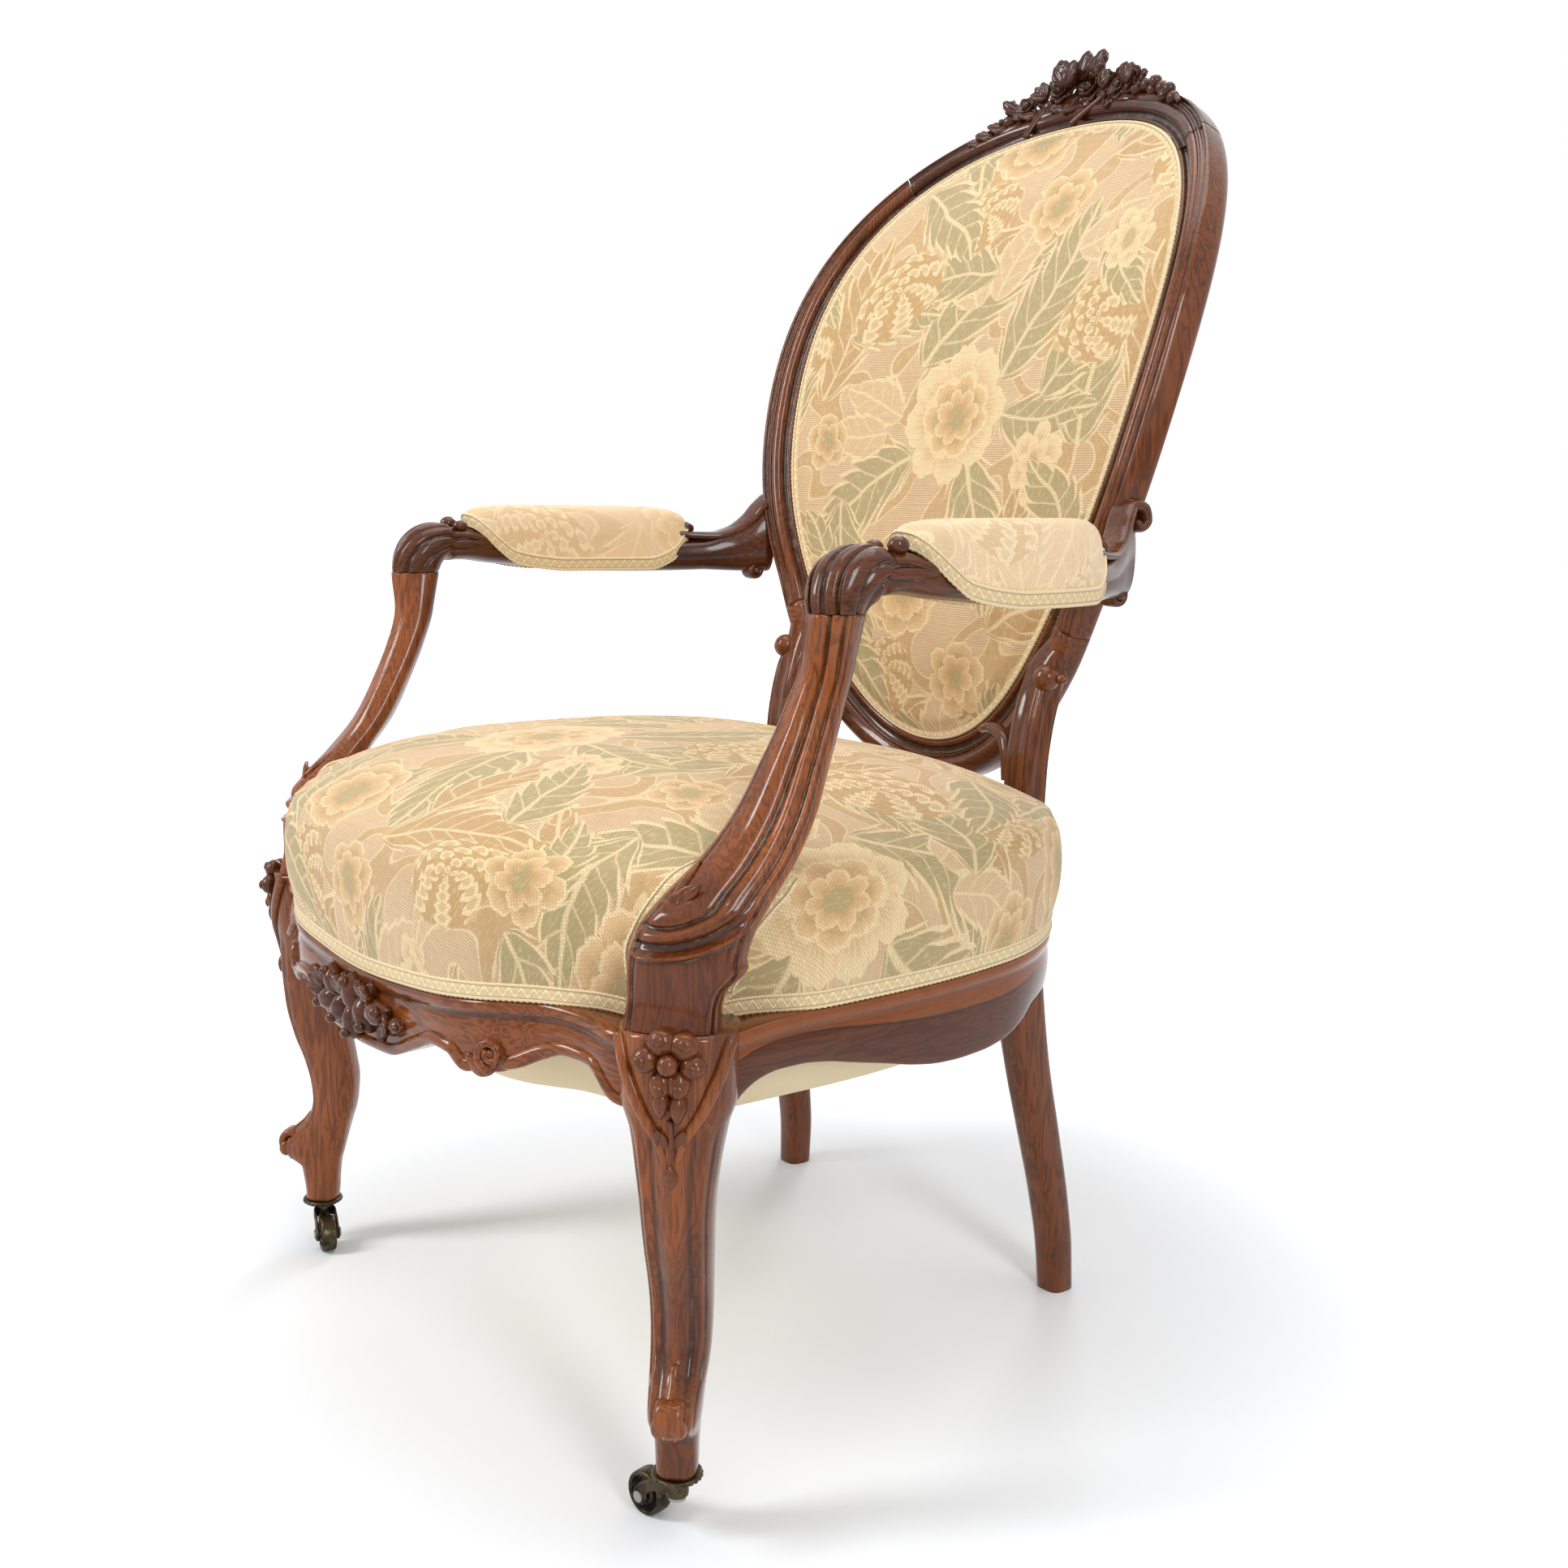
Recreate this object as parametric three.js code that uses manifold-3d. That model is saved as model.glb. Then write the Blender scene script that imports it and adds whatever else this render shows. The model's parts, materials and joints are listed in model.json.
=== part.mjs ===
import * as THREE from "three";
import { mergeVertices } from "three/addons/utils/BufferGeometryUtils.js";
import Module from "manifold-3d";

// A carved and upholstered open armchair (fauteuil) with an oval back and front casters.
// Lengths are millimetres, +Z is up, the sitter faces -Y and the sitter's left hand is at +X.
// Shapes are drawn about the chair's middle plane X = 0, then the whole chair is centred.

// Clearances
const fitGap = 0.3;
const softGap = 0.6;
const cutOverrun = 2;

// Seat plan and levels
const seatHalfWidth = 313;
const seatFrontY = -347.5;
const seatBackY = 169.5;
const seatMiddleY = -90;
const seatRailTop = 347;
const seatBackRise = 5;
const frontRailDip = 13;
const railThickness = 26;
const apronDrop = 71;
const railLipRadius = 4;
const railLipReach = 2;

// Front legs: cabriole, set on the diagonal of each front corner
const frontLegInset = 28;
const frontLegSetback = 85.5;
const frontLegX = seatHalfWidth - frontLegInset;
const frontLegY = seatFrontY + frontLegSetback;
const frontLegFoot = 41;
const kneeReach = 31;
const kneeBack = 38;
const kneeHalfWidth = 38;

// Back legs and posts
const stileSideShare = 0.5176;
const ovalOverhang = 83;
const stileX = seatHalfWidth * stileSideShare;
const ovalRadius = stileX + ovalOverhang;
const stileY = 168;
const stileWidth = 34;
const stileDepth = 38;
const backFootSplay = 21;
const backFootX = stileX + backFootSplay;
const backFootSetback = 41;
const backFootWidth = 27;
const postWidth = 31;
const postDepth = 30;

// Oval back: its outline follows a short cosine series about its centre height
const backCentreZ = 736.5;
const ovalEgg = 20.6;
const ovalLength = 33.4;
const ovalShoulder = -12.4;
const ovalFlat = -4.7;
const backFaceY = 259.5;
const backRake = 16.75;
const backSweepRadius = 1157;
const backHollowRadius = 500;
const frameWidth = 30;
const bottomRailExtra = 7;
const frameDepth = 28;
const crestJointAngle = 35;
const postJointAngle = 134;
const crestRise = 20;

// Carvings on the crest and on the apron
const carvingUnit = 72;
const carvingProud = 7;

// Arms
const armSideInset = 13;
const armSetback = 197.5;
const armX = seatHalfWidth - armSideInset;
const armFrontY = seatFrontY + armSetback;
const supportHeight = 258.5;
const supportFootWidth = 76;
const supportFootDepth = 40;
const supportRun = 130;
const supportInset = 12;
const armRailWidth = 46;
const armRailHeight = 30;
const armRailRise = 24;
const elbowBend = 26;
const armEndAngle = 105;

// Seat upholstery
const cushionSide = 92;
const cushionCrown = 50;
const cushionBulge = 9;
const cushionCornerInset = 32;
const cushionCornerReach = 72;
const braidWidth = 12;
const braidThickness = 2.5;
const springWellInset = 46;
const springWellDepth = 58;
const hessianThickness = 1.5;
const webWidth = 48;
const webThickness = 2;
const webLevel = 31;
const webSpacing = 118;
const springWire = 3.2;
const springEndRadius = 34;
const springWaistRadius = 22;
const springTurns = 4;
const springReach = 108;
const bottomClothLevel = 50;
const bottomClothSag = 30;
const bottomClothThickness = 2;

// Back upholstery
const backPadDepth = 12;
const backPadBulge = 30;
const backHessianDepth = 15;
const backCoverDepth = 26;
const backCoverThickness = 2.5;

// Arm pads
const padHalfWidth = 29;
const padLength = 226;
const padFrontSetback = 52;
const padCrown = 61;

// Corner blocks and their screws
const blockLeg = 62;
const blockHeight = 21;
const blockDrop = 3;
const screwRadius = 2.5;
const screwHeadRadius = 4.6;
const screwHeadHeight = 3;
const screwLength = 38;

// Casters
const casterPlateRadius = 17.5;
const casterPlateHeight = 6.5;
const casterBeadRadius = 2.2;
const wheelRadius = 15.5;
const wheelWidth = 13;
const wheelEdge = 3;
const casterTrail = 26;
const wheelClearance = 1.2;
const forkBossRadius = 8;
const forkBossHeight = 11;
const forkArmThickness = 3;
const forkAxleBossRadius = 6.5;
const pintleRadius = 4;
const pintleReach = 24;
const pintleHeadRadius = 6.2;
const pintleHeadHeight = 2;
const axleRadius = 2.4;
const axleHeadRadius = 4;
const axleHeadHeight = 1.6;
const leftCasterAngle = 190;
const rightCasterAngle = -16;

// Counts that set how finely the faceted solids are built
const outlineSteps = 52;
const ovalSteps = 36;
const roundSides = 16;
const frontRailSteps = 30;
const sideRailSteps = 16;
const backRailSteps = 10;

const degrees = Math.PI / 180;
const armJointZ = seatRailTop + supportHeight;
const legDiagonal = new THREE.Vector3(1, -1, 0).normalize();
const legAcross = new THREE.Vector3(1, 1, 0).normalize();
const worldUp = new THREE.Vector3(0, 0, 1);
const rearward = new THREE.Vector3(0, 1, 0);

const wasm = await Module();
wasm.setup();

// Finishes
const woodFinish = { color: 0x6a2a15, roughness: 0.32, metalness: 0 };
const darkWoodFinish = { color: 0x3f170c, roughness: 0.35, metalness: 0 };
const fabricFinish = { color: 0xd9bd8e, roughness: 0.9, metalness: 0 };
const braidFinish = { color: 0xe8cf9f, roughness: 0.85, metalness: 0 };
const hessianFinish = { color: 0xb3935f, roughness: 0.95, metalness: 0 };
const webFinish = { color: 0x9d8458, roughness: 0.95, metalness: 0 };
const clothFinish = { color: 0xcdb07a, roughness: 0.95, metalness: 0 };
const blockFinish = { color: 0xb08a58, roughness: 0.7, metalness: 0 };
const brassFinish = { color: 0x7a6440, roughness: 0.45, metalness: 0.9 };
const steelFinish = { color: 0x8a8a88, roughness: 0.4, metalness: 0.9 };

// Straight-line reading of a table of [place, value, ...] rows at one place
function readTable(rows, place) {
  if (place <= rows[0][0]) {
    return rows[0].slice(1);
  }
  for (let i = 1; i < rows.length; i += 1) {
    const [before, after] = [rows[i - 1], rows[i]];
    if (place <= after[0]) {
      const share = (place - before[0]) / (after[0] - before[0]);
      return after.slice(1).map((value, k) => THREE.MathUtils.lerp(before[k + 1], value, share));
    }
  }
  return rows[rows.length - 1].slice(1);
}

// Turns every triangle outward by the sign of the enclosed volume
function outwardGeometry(points, faces) {
  let volume = 0;
  const cross = new THREE.Vector3();
  faces.forEach(([a, b, c]) => {
    volume += points[a].dot(cross.crossVectors(points[b], points[c]));
  });
  const turned = volume < 0 ? faces.map(([a, b, c]) => [a, c, b]) : faces;
  const geometry = new THREE.BufferGeometry();
  const positions = new Float32Array(points.flatMap((p) => [p.x, p.y, p.z]));
  geometry.setAttribute("position", new THREE.BufferAttribute(positions, 3));
  geometry.setIndex(turned.flat());
  return geometry;
}

// One closed solid through a row of rings; a ring of one point closes an end, and so does a cap
function solidThroughRings(rings, joinEnds = false) {
  const points = [];
  const faces = [];
  const starts = rings.map((ring) => points.push(...ring) - ring.length);
  const stitch = (i, j) => {
    const [near, far] = [rings[i].length, rings[j].length];
    const sides = Math.max(near, far);
    for (let k = 0; k < sides; k += 1) {
      const next = (k + 1) % sides;
      const [a, b] = [starts[i] + (k % near), starts[i] + (next % near)];
      const [c, d] = [starts[j] + (k % far), starts[j] + (next % far)];
      if (near > 1) {
        faces.push([a, b, c]);
      }
      if (far > 1) {
        faces.push([b, d, c]);
      }
    }
  };
  const cap = (i, turn) => {
    const ring = rings[i];
    if (ring.length > 1) {
      const middle = new THREE.Vector3();
      ring.forEach((p) => middle.addScaledVector(p, 1 / ring.length));
      const hub = points.push(middle) - 1;
      ring.forEach((_, k) => {
        const [a, b] = [starts[i] + k, starts[i] + ((k + 1) % ring.length)];
        faces.push(turn ? [b, a, hub] : [a, b, hub]);
      });
    }
  };
  for (let i = 1; i < rings.length; i += 1) {
    stitch(i - 1, i);
  }
  if (joinEnds) {
    stitch(rings.length - 1, 0);
  } else {
    cap(0, true);
    cap(rings.length - 1, false);
  }
  return outwardGeometry(points, faces);
}

// Points round a rounded rectangle of the given half sizes, from a superellipse
function roundedSection(halfA, halfB, sides, squareness = 2.6) {
  return Array.from({ length: sides }, (_, k) => {
    const turn = (2 * Math.PI * (k + 0.5)) / sides;
    const [c, s] = [Math.cos(turn), Math.sin(turn)];
    const power = 2 / squareness;
    return [
      halfA * Math.sign(c) * Math.abs(c) ** power,
      halfB * Math.sign(s) * Math.abs(s) ** power,
    ];
  });
}

// A ring of section points set across a path: first axis along sideDir, second along faceDir
function placeSection(centre, sideDir, faceDir, section) {
  return section.map(([a, b]) => centre.clone().addScaledVector(sideDir, a).addScaledVector(faceDir, b));
}

// Sweeps a section along stations of { centre, face, section }, square to the path
function sweep(stations, joinEnds = false) {
  const last = stations.length - 1;
  const rings = stations.map(({ centre, face, section }, i) => {
    const before = stations[joinEnds ? (i + last) % (last + 1) : Math.max(i - 1, 0)].centre;
    const after = stations[joinEnds ? (i + 1) % (last + 1) : Math.min(i + 1, last)].centre;
    const along = after.clone().sub(before).normalize();
    const across = new THREE.Vector3().crossVectors(face, along).normalize();
    const square = new THREE.Vector3().crossVectors(along, across);
    return placeSection(centre, across, square, section);
  });
  return solidThroughRings(rings, joinEnds);
}

// The same geometry with its shared vertices merged
function mergedGeometry(geometry) {
  const bare = geometry.clone();
  bare.deleteAttribute("normal");
  bare.deleteAttribute("uv");
  return mergeVertices(bare, fitGap / 100);
}

// Rebuilds a geometry with every point scaled along X, its faces turned outward again
function rebuilt(geometry, scaleX) {
  const merged = mergedGeometry(geometry);
  const position = merged.getAttribute("position");
  const index = merged.getIndex();
  const points = Array.from({ length: position.count }, (_, i) => {
    return new THREE.Vector3(scaleX * position.getX(i), position.getY(i), position.getZ(i));
  });
  const faces = Array.from({ length: index.count / 3 }, (_, i) => {
    return [index.getX(3 * i), index.getX(3 * i + 1), index.getX(3 * i + 2)];
  });
  return outwardGeometry(points, faces.filter(([a, b, c]) => a !== b && b !== c && c !== a));
}

const mirrored = (geometry) => rebuilt(geometry, -1);

function toSolid(geometry) {
  const merged = mergedGeometry(geometry);
  return new wasm.Manifold(new wasm.Mesh({
    numProp: 3,
    vertProperties: new Float32Array(merged.getAttribute("position").array),
    triVerts: new Uint32Array(merged.getIndex().array),
  }));
}

function toGeometry(solid) {
  const mesh = solid.getMesh();
  const geometry = new THREE.BufferGeometry();
  geometry.setAttribute("position", new THREE.BufferAttribute(new Float32Array(mesh.vertProperties), 3));
  geometry.setIndex(Array.from(mesh.triVerts));
  return geometry;
}

function cut(geometry, ...tools) {
  return toGeometry(tools.reduce((solid, tool) => solid.subtract(toSolid(tool)), toSolid(geometry)));
}

function join(geometry, ...others) {
  return toGeometry(others.reduce((solid, other) => solid.add(toSolid(other)), toSolid(geometry)));
}

// A round bar between two points
function roundBar(from, to, radius, sides = 12) {
  const along = to.clone().sub(from);
  const bar = new THREE.CylinderGeometry(radius, radius, along.length(), sides);
  const turn = new THREE.Quaternion().setFromUnitVectors(rearward, along.clone().normalize());
  bar.applyQuaternion(turn);
  return bar.translate(...from.clone().add(to).multiplyScalar(1 / 2).toArray());
}

// An ellipsoid boss for carved work, its half sizes along across, up and out of the surface
function boss(centre, halfSizes, across, up) {
  const ball = new THREE.SphereGeometry(1, 8, 6);
  const out = new THREE.Vector3().crossVectors(across, up);
  const basis = new THREE.Matrix4().makeBasis(
    across.clone().multiplyScalar(halfSizes[0]),
    up.clone().multiplyScalar(halfSizes[1]),
    out.multiplyScalar(halfSizes[2]),
  );
  return ball.applyMatrix4(basis.setPosition(centre));
}

// Seat plan: shares of the half width and of the depth, front centre round to back centre
const seatPlanShares = [
  [0, 0], [0.19, 0.004], [0.367, 0.01], [0.479, 0.029], [0.55, 0.054], [0.623, 0.081], [0.719, 0.097],
  [0.837, 0.104], [0.946, 0.145], [0.984, 0.228], [0.997, 0.373], [1, 0.518], [0.984, 0.634],
  [0.949, 0.737], [0.869, 0.834], [0.757, 0.911], [0.629, 0.965], [0.447, 0.996], [0.224, 1], [0, 1],
];
const depthShare = (y) => (y - seatFrontY) / (seatBackY - seatFrontY);
const planKnots = seatPlanShares.length - 1;
const seatPlanPoints = seatPlanShares
  .concat(seatPlanShares.slice(1, -1).reverse().map(([x, y]) => [-x, y]))
  .map(([x, y]) => new THREE.Vector3(x * seatHalfWidth, THREE.MathUtils.lerp(seatFrontY, seatBackY, y), 0));
const seatPlan = new THREE.CatmullRomCurve3(seatPlanPoints, true, "catmullrom");

// A place on the seat plan at a knot number, with its outward normal and the rail's top there
function planStation(knot) {
  const u = THREE.MathUtils.euclideanModulo(knot / (2 * planKnots), 1);
  const point = seatPlan.getPoint(u);
  const tangent = seatPlan.getTangent(u);
  const outward = new THREE.Vector3(tangent.y, -tangent.x, 0).normalize();
  const dipReach = 0.6 * seatHalfWidth;
  const nearness = Math.min(Math.abs(point.x) / dipReach, 1);
  const dip = point.y < seatMiddleY ? (frontRailDip * (1 + Math.cos(Math.PI * nearness))) / 2 : 0;
  const rise = seatBackRise * depthShare(point.y);
  return { point, outward, top: seatRailTop + rise - dip };
}

// How far the cushion draws in behind an arm support's foot
function cornerInset(point) {
  const away = Math.hypot(Math.abs(point.x) - frontLegX, point.y - frontLegY) / cushionCornerReach;
  return cushionCornerInset * Math.exp(-(away ** 4));
}

function planPoint(station, outset, z) {
  return station.point.clone().addScaledVector(station.outward, outset).setZ(z);
}

// Lower edges of the rails: places as shares of the half width or depth, drops as shares of apronDrop
const frontDropShares = [
  [0, 1], [0.137, 0.96], [0.256, 0.76], [0.345, 0.62], [0.4, 0.65], [0.444, 0.78], [0.52, 0.75],
  [0.56, 0.67], [0.607, 0.55], [0.67, 0.46], [0.75, 0.48], [0.839, 0.743],
];
const sideDropShares = [
  [0.1, 1], [0.2, 0.9], [0.23, 0.67], [0.256, 0.553], [0.285, 0.502], [0.319, 0.495], [0.361, 0.526],
  [0.403, 0.591], [0.467, 0.69], [0.507, 0.759], [0.564, 0.821], [0.61, 0.837], [0.65, 0.834],
  [0.694, 0.801], [0.745, 0.697], [0.79, 0.56], [0.9, 0.52], [1, 0.5],
];

function railBottom(station, rows, place) {
  return Math.min(station.top - railLipRadius * 4, seatRailTop - apronDrop * readTable(rows, place)[0]);
}

// A seat rail between two knots; its ring runs down the moulded outer face and up the inner face
function railSolid(fromKnot, toKnot, steps, dropOf, grow = 0) {
  const rings = Array.from({ length: steps + 1 }, (_, i) => {
    const station = planStation(THREE.MathUtils.lerp(fromKnot, toKnot, i / steps));
    const bottom = dropOf(station) - grow;
    const top = station.top + grow;
    const middle = (top + bottom) / 2;
    return [
      planPoint(station, grow - railLipRadius, top),
      planPoint(station, grow + railLipReach, top - railLipRadius),
      planPoint(station, grow + railLipReach, top - 2 * railLipRadius),
      planPoint(station, grow, top - 3 * railLipRadius),
      planPoint(station, grow, middle),
      planPoint(station, grow, bottom + railLipReach),
      planPoint(station, grow - railLipReach, bottom),
      planPoint(station, -railThickness - grow, bottom),
      planPoint(station, -railThickness - grow, middle),
      planPoint(station, -railThickness - grow, top),
    ];
  });
  return solidThroughRings(rings);
}

const widthShareOf = (x) => Math.abs(x) / seatHalfWidth;
const frontDrop = (station) => railBottom(station, frontDropShares, widthShareOf(station.point.x));
const sideDrop = (station) => railBottom(station, sideDropShares, depthShare(station.point.y));
const frontRailEndShare = 7.3;
const sideRailEndShares = [8.75, 16.4];
const backRailEndShare = 16.5;
const backRailEndShares = [backRailEndShare, 2 * planKnots - backRailEndShare];
const frontRailBlank = (grow) => {
  return railSolid(-frontRailEndShare, frontRailEndShare, frontRailSteps, frontDrop, grow);
};
const sideRailBlank = (grow) => railSolid(...sideRailEndShares, sideRailSteps, sideDrop, grow);
const backRailBlank = (grow) => railSolid(...backRailEndShares, backRailSteps, sideDrop, grow);

// Front leg: rows of height share, outer reach share, back reach share and half width share
const frontLegShares = [
  [0, 0.44, 0.38, 0.36], [0.018, 0.44, 0.4, 0.37], [0.068, 0.53, 0.44, 0.38], [0.108, 0.58, 0.47, 0.4],
  [0.124, 0.92, 0.5, 0.42], [0.149, 1.1, 0.56, 0.45], [0.168, 1.06, 0.6, 0.46], [0.204, 0.77, 0.68, 0.48],
  [0.24, 0.39, 0.76, 0.51], [0.28, 0.16, 0.86, 0.53], [0.322, 0.1, 0.92, 0.54], [0.375, 0.16, 0.95, 0.55],
  [0.441, 0.33, 0.88, 0.57], [0.514, 0.61, 0.78, 0.6], [0.613, 0.84, 0.68, 0.64], [0.702, 0.9, 0.72, 0.72],
  [0.785, 0.92, 0.97, 0.83], [0.858, 0.95, 1, 1], [1, 0.98, 1, 1],
];
const legSides = 14;

function frontLegPoint(outward, across, z) {
  return new THREE.Vector3(frontLegX, frontLegY, z)
    .addScaledVector(legDiagonal, outward)
    .addScaledVector(legAcross, across);
}

function frontLegBlank(grow) {
  const height = seatRailTop - frontLegFoot;
  const rings = frontLegShares.map(([heightShare, outerShare, innerShare, widthShare], i) => {
    const outer = outerShare * kneeReach + grow;
    const inner = innerShare * kneeBack + grow;
    const lift = grow * (i === 0 ? -1 : Number(i === frontLegShares.length - 1));
    const z = frontLegFoot + heightShare * height + lift;
    const section = roundedSection((outer + inner) / 2, widthShare * kneeHalfWidth + grow, legSides);
    return section.map(([a, b]) => frontLegPoint((outer - inner) / 2 + a, b, z));
  });
  return solidThroughRings(rings);
}

// Oval back: a point at an angle from the top, set outward in its plane and back from its face
function ovalEdge(angle) {
  const r = ovalRadius + ovalEgg * Math.cos(angle) + ovalLength * Math.cos(2 * angle)
    + ovalShoulder * Math.cos(3 * angle) + ovalFlat * Math.cos(5 * angle);
  return new THREE.Vector2(r * Math.sin(angle), r * Math.cos(angle));
}

function backFace(x, z) {
  const rise = z - backCentreZ;
  return backFaceY + Math.tan(backRake * degrees) * rise + (rise * rise) / (2 * backSweepRadius)
    - (x * x) / (2 * backHollowRadius);
}

function backNormal(x, z) {
  const slope = Math.tan(backRake * degrees) + (z - backCentreZ) / backSweepRadius;
  return new THREE.Vector3(x / backHollowRadius, 1, -slope).normalize();
}

function backPlace(x, z, depth) {
  return new THREE.Vector3(x, backFace(x, z), z).addScaledVector(backNormal(x, z), depth);
}

function ovalPlace(angle, outset, depth) {
  const smallTurn = degrees;
  const edge = ovalEdge(angle);
  const along = ovalEdge(angle + smallTurn).sub(ovalEdge(angle - smallTurn)).normalize();
  const x = edge.x - along.y * outset;
  const z = backCentreZ + edge.y + along.x * outset;
  return backPlace(x, z, depth);
}

// Moulded section of the oval frame: outset shares of frameWidth, depth shares of frameDepth
const frameSectionShares = [
  [0, 0.12], [0.05, -0.02], [0.2, 0.1], [0.4, -0.08], [0.62, -0.06], [0.86, 0.04], [1, 0.2],
  [1, 0.55], [0.86, 0.85], [0.45, 1], [0.02, 0.97], [0, 0.6],
];

function frameRing(angle, grow = 0) {
  const lowness = ((1 - Math.cos(angle)) / 2) ** 4;
  const width = frameWidth + bottomRailExtra * lowness;
  return frameSectionShares.map(([outsetShare, depthShareHere]) => {
    const outset = fitGap + (width + 2 * grow) * outsetShare - grow;
    return ovalPlace(angle, outset, (frameDepth + 2 * grow) * depthShareHere - grow);
  });
}

function frameArc(fromAngle, toAngle, steps, grow = 0) {
  return Array.from({ length: steps + 1 }, (_, i) => {
    return frameRing(THREE.MathUtils.lerp(fromAngle, toAngle, i / steps) * degrees, grow);
  });
}

// Back leg, post and side of the oval are one length of wood
const backLegShares = [
  [0, 1], [0.107, 0.97], [0.24, 0.82], [0.417, 0.52], [0.588, 0.22], [0.7, 0.08], [0.85, 0], [1, 0],
];
const postShares = [[0.2, 0.04], [0.36, 0.06], [0.5, 0.1], [0.63, 0.22], [0.74, 0.4], [0.85, 0.68]];
const stileSides = frameSectionShares.length;

function plainStileRing(centre, width, depth, grow) {
  const section = frameSectionShares.map(([a, b]) => {
    const turn = Math.atan2(b - 0.5, a - 0.5);
    const power = 2 / 2.8;
    const [c, s] = [Math.cos(turn), Math.sin(turn)];
    return [
      (width / 2 + grow) * Math.sign(c) * Math.abs(c) ** power,
      (depth / 2 + grow) * Math.sign(s) * Math.abs(s) ** power,
    ];
  });
  return section.map(([a, b]) => centre.clone().add(new THREE.Vector3(a, b, 0)));
}

function stileBlank(grow) {
  const footRings = backLegShares.map(([heightShare, setbackShare], i) => {
    const centre = new THREE.Vector3(
      THREE.MathUtils.lerp(backFootX, stileX, heightShare),
      stileY + backFootSetback * setbackShare,
      seatRailTop * heightShare - (i === 0 ? grow : 0),
    );
    const width = THREE.MathUtils.lerp(backFootWidth, stileWidth, Math.min(1, heightShare / 0.7));
    const depth = THREE.MathUtils.lerp(backFootWidth, stileDepth, Math.min(1, heightShare / 0.7));
    return plainStileRing(centre, width, depth, grow);
  });
  const joint = frameRing(postJointAngle * degrees);
  const jointMiddle = new THREE.Vector3();
  joint.forEach((p) => jointMiddle.addScaledVector(p, 1 / stileSides));
  const postRings = postShares.map(([heightShare, setbackShare]) => {
    const centre = new THREE.Vector3(
      stileX,
      THREE.MathUtils.lerp(stileY, jointMiddle.y, setbackShare),
      THREE.MathUtils.lerp(seatRailTop, jointMiddle.z, heightShare),
    );
    return plainStileRing(centre, postWidth, postDepth, grow);
  });
  const sideRings = frameArc(postJointAngle, crestJointAngle, 16, grow);
  return solidThroughRings([...footRings, ...postRings, ...sideRings]);
}

// Arm support: rows of height share, forward share of the run, then inward, width and depth shares
const supportShares = [
  [0, 0.885, 1, 0.918, 1], [0.08, 0.852, 0.95, 0.963, 0.97], [0.16, 0.85, 0.798, 0.992, 0.938],
  [0.24, 0.809, 0.58, 0.994, 0.9], [0.32, 0.685, 0.391, 0.929, 0.854], [0.4, 0.518, 0.35, 0.821, 0.8],
  [0.51, 0.338, 0.5, 0.705, 0.74], [0.63, 0.212, 0.6, 0.602, 0.72], [0.75, 0.103, 0.62, 0.515, 0.72],
  [0.87, 0.023, 0.5, 0.464, 0.76], [1, 0, 0.1, 0.462, 1],
];
const supportSides = 12;

function supportBlank(grow) {
  const last = supportShares.length - 1;
  const floor = seatRailTop + fitGap;
  const rings = supportShares.map(([heightShare, runShare, insetShare, widthShare, depthShareHere], i) => {
    const lift = grow * (i === 0 ? -1 : Number(i === last));
    const centre = new THREE.Vector3(
      armX - supportInset * insetShare,
      armFrontY - supportRun * runShare,
      THREE.MathUtils.lerp(floor, armJointZ, heightShare) + lift,
    );
    const facing = THREE.MathUtils.lerp(45, 60, heightShare) * degrees;
    const outward = new THREE.Vector3(Math.cos(facing), -Math.sin(facing), 0);
    const across = new THREE.Vector3(Math.sin(facing), Math.cos(facing), 0);
    const width = supportFootWidth * widthShare;
    const depth = supportFootDepth * depthShareHere;
    const section = roundedSection(width / 2 + grow, depth / 2 + grow, supportSides);
    return placeSection(centre, across, outward, section);
  });
  return solidThroughRings(rings);
}

// Arm rail: rows of run share, inward share, underside rise, width share and height
const armEnd = ovalPlace(armEndAngle * degrees, frameWidth, frameDepth / 3);
const armRun = armEnd.y - armFrontY;
const armInset = armX - armEnd.x;
const armRailShares = [
  [0, 0, 0.2, 0.9, 1.05], [0.06, 0, 0.35, 0.9, 1], [0.12, 0, 0.44, 0.95, 0.97], [0.21, -0.03, 0.3, 1, 0.95],
  [0.3, -0.04, 0.18, 1, 0.95], [0.42, 0, 0, 1, 1], [0.54, 0.07, -0.08, 0.96, 1],
  [0.66, 0.2, -0.1, 0.88, 1], [0.74, 0.34, -0.08, 0.8, 1], [0.82, 0.52, -0.04, 0.72, 1],
  [0.89, 0.7, -0.06, 0.64, 1.32], [0.96, 0.9, -0.08, 0.6, 1.95], [1, 1, -0.08, 0.58, 2.2],
];
const elbowSteps = 4;
const armSides = 12;

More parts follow.
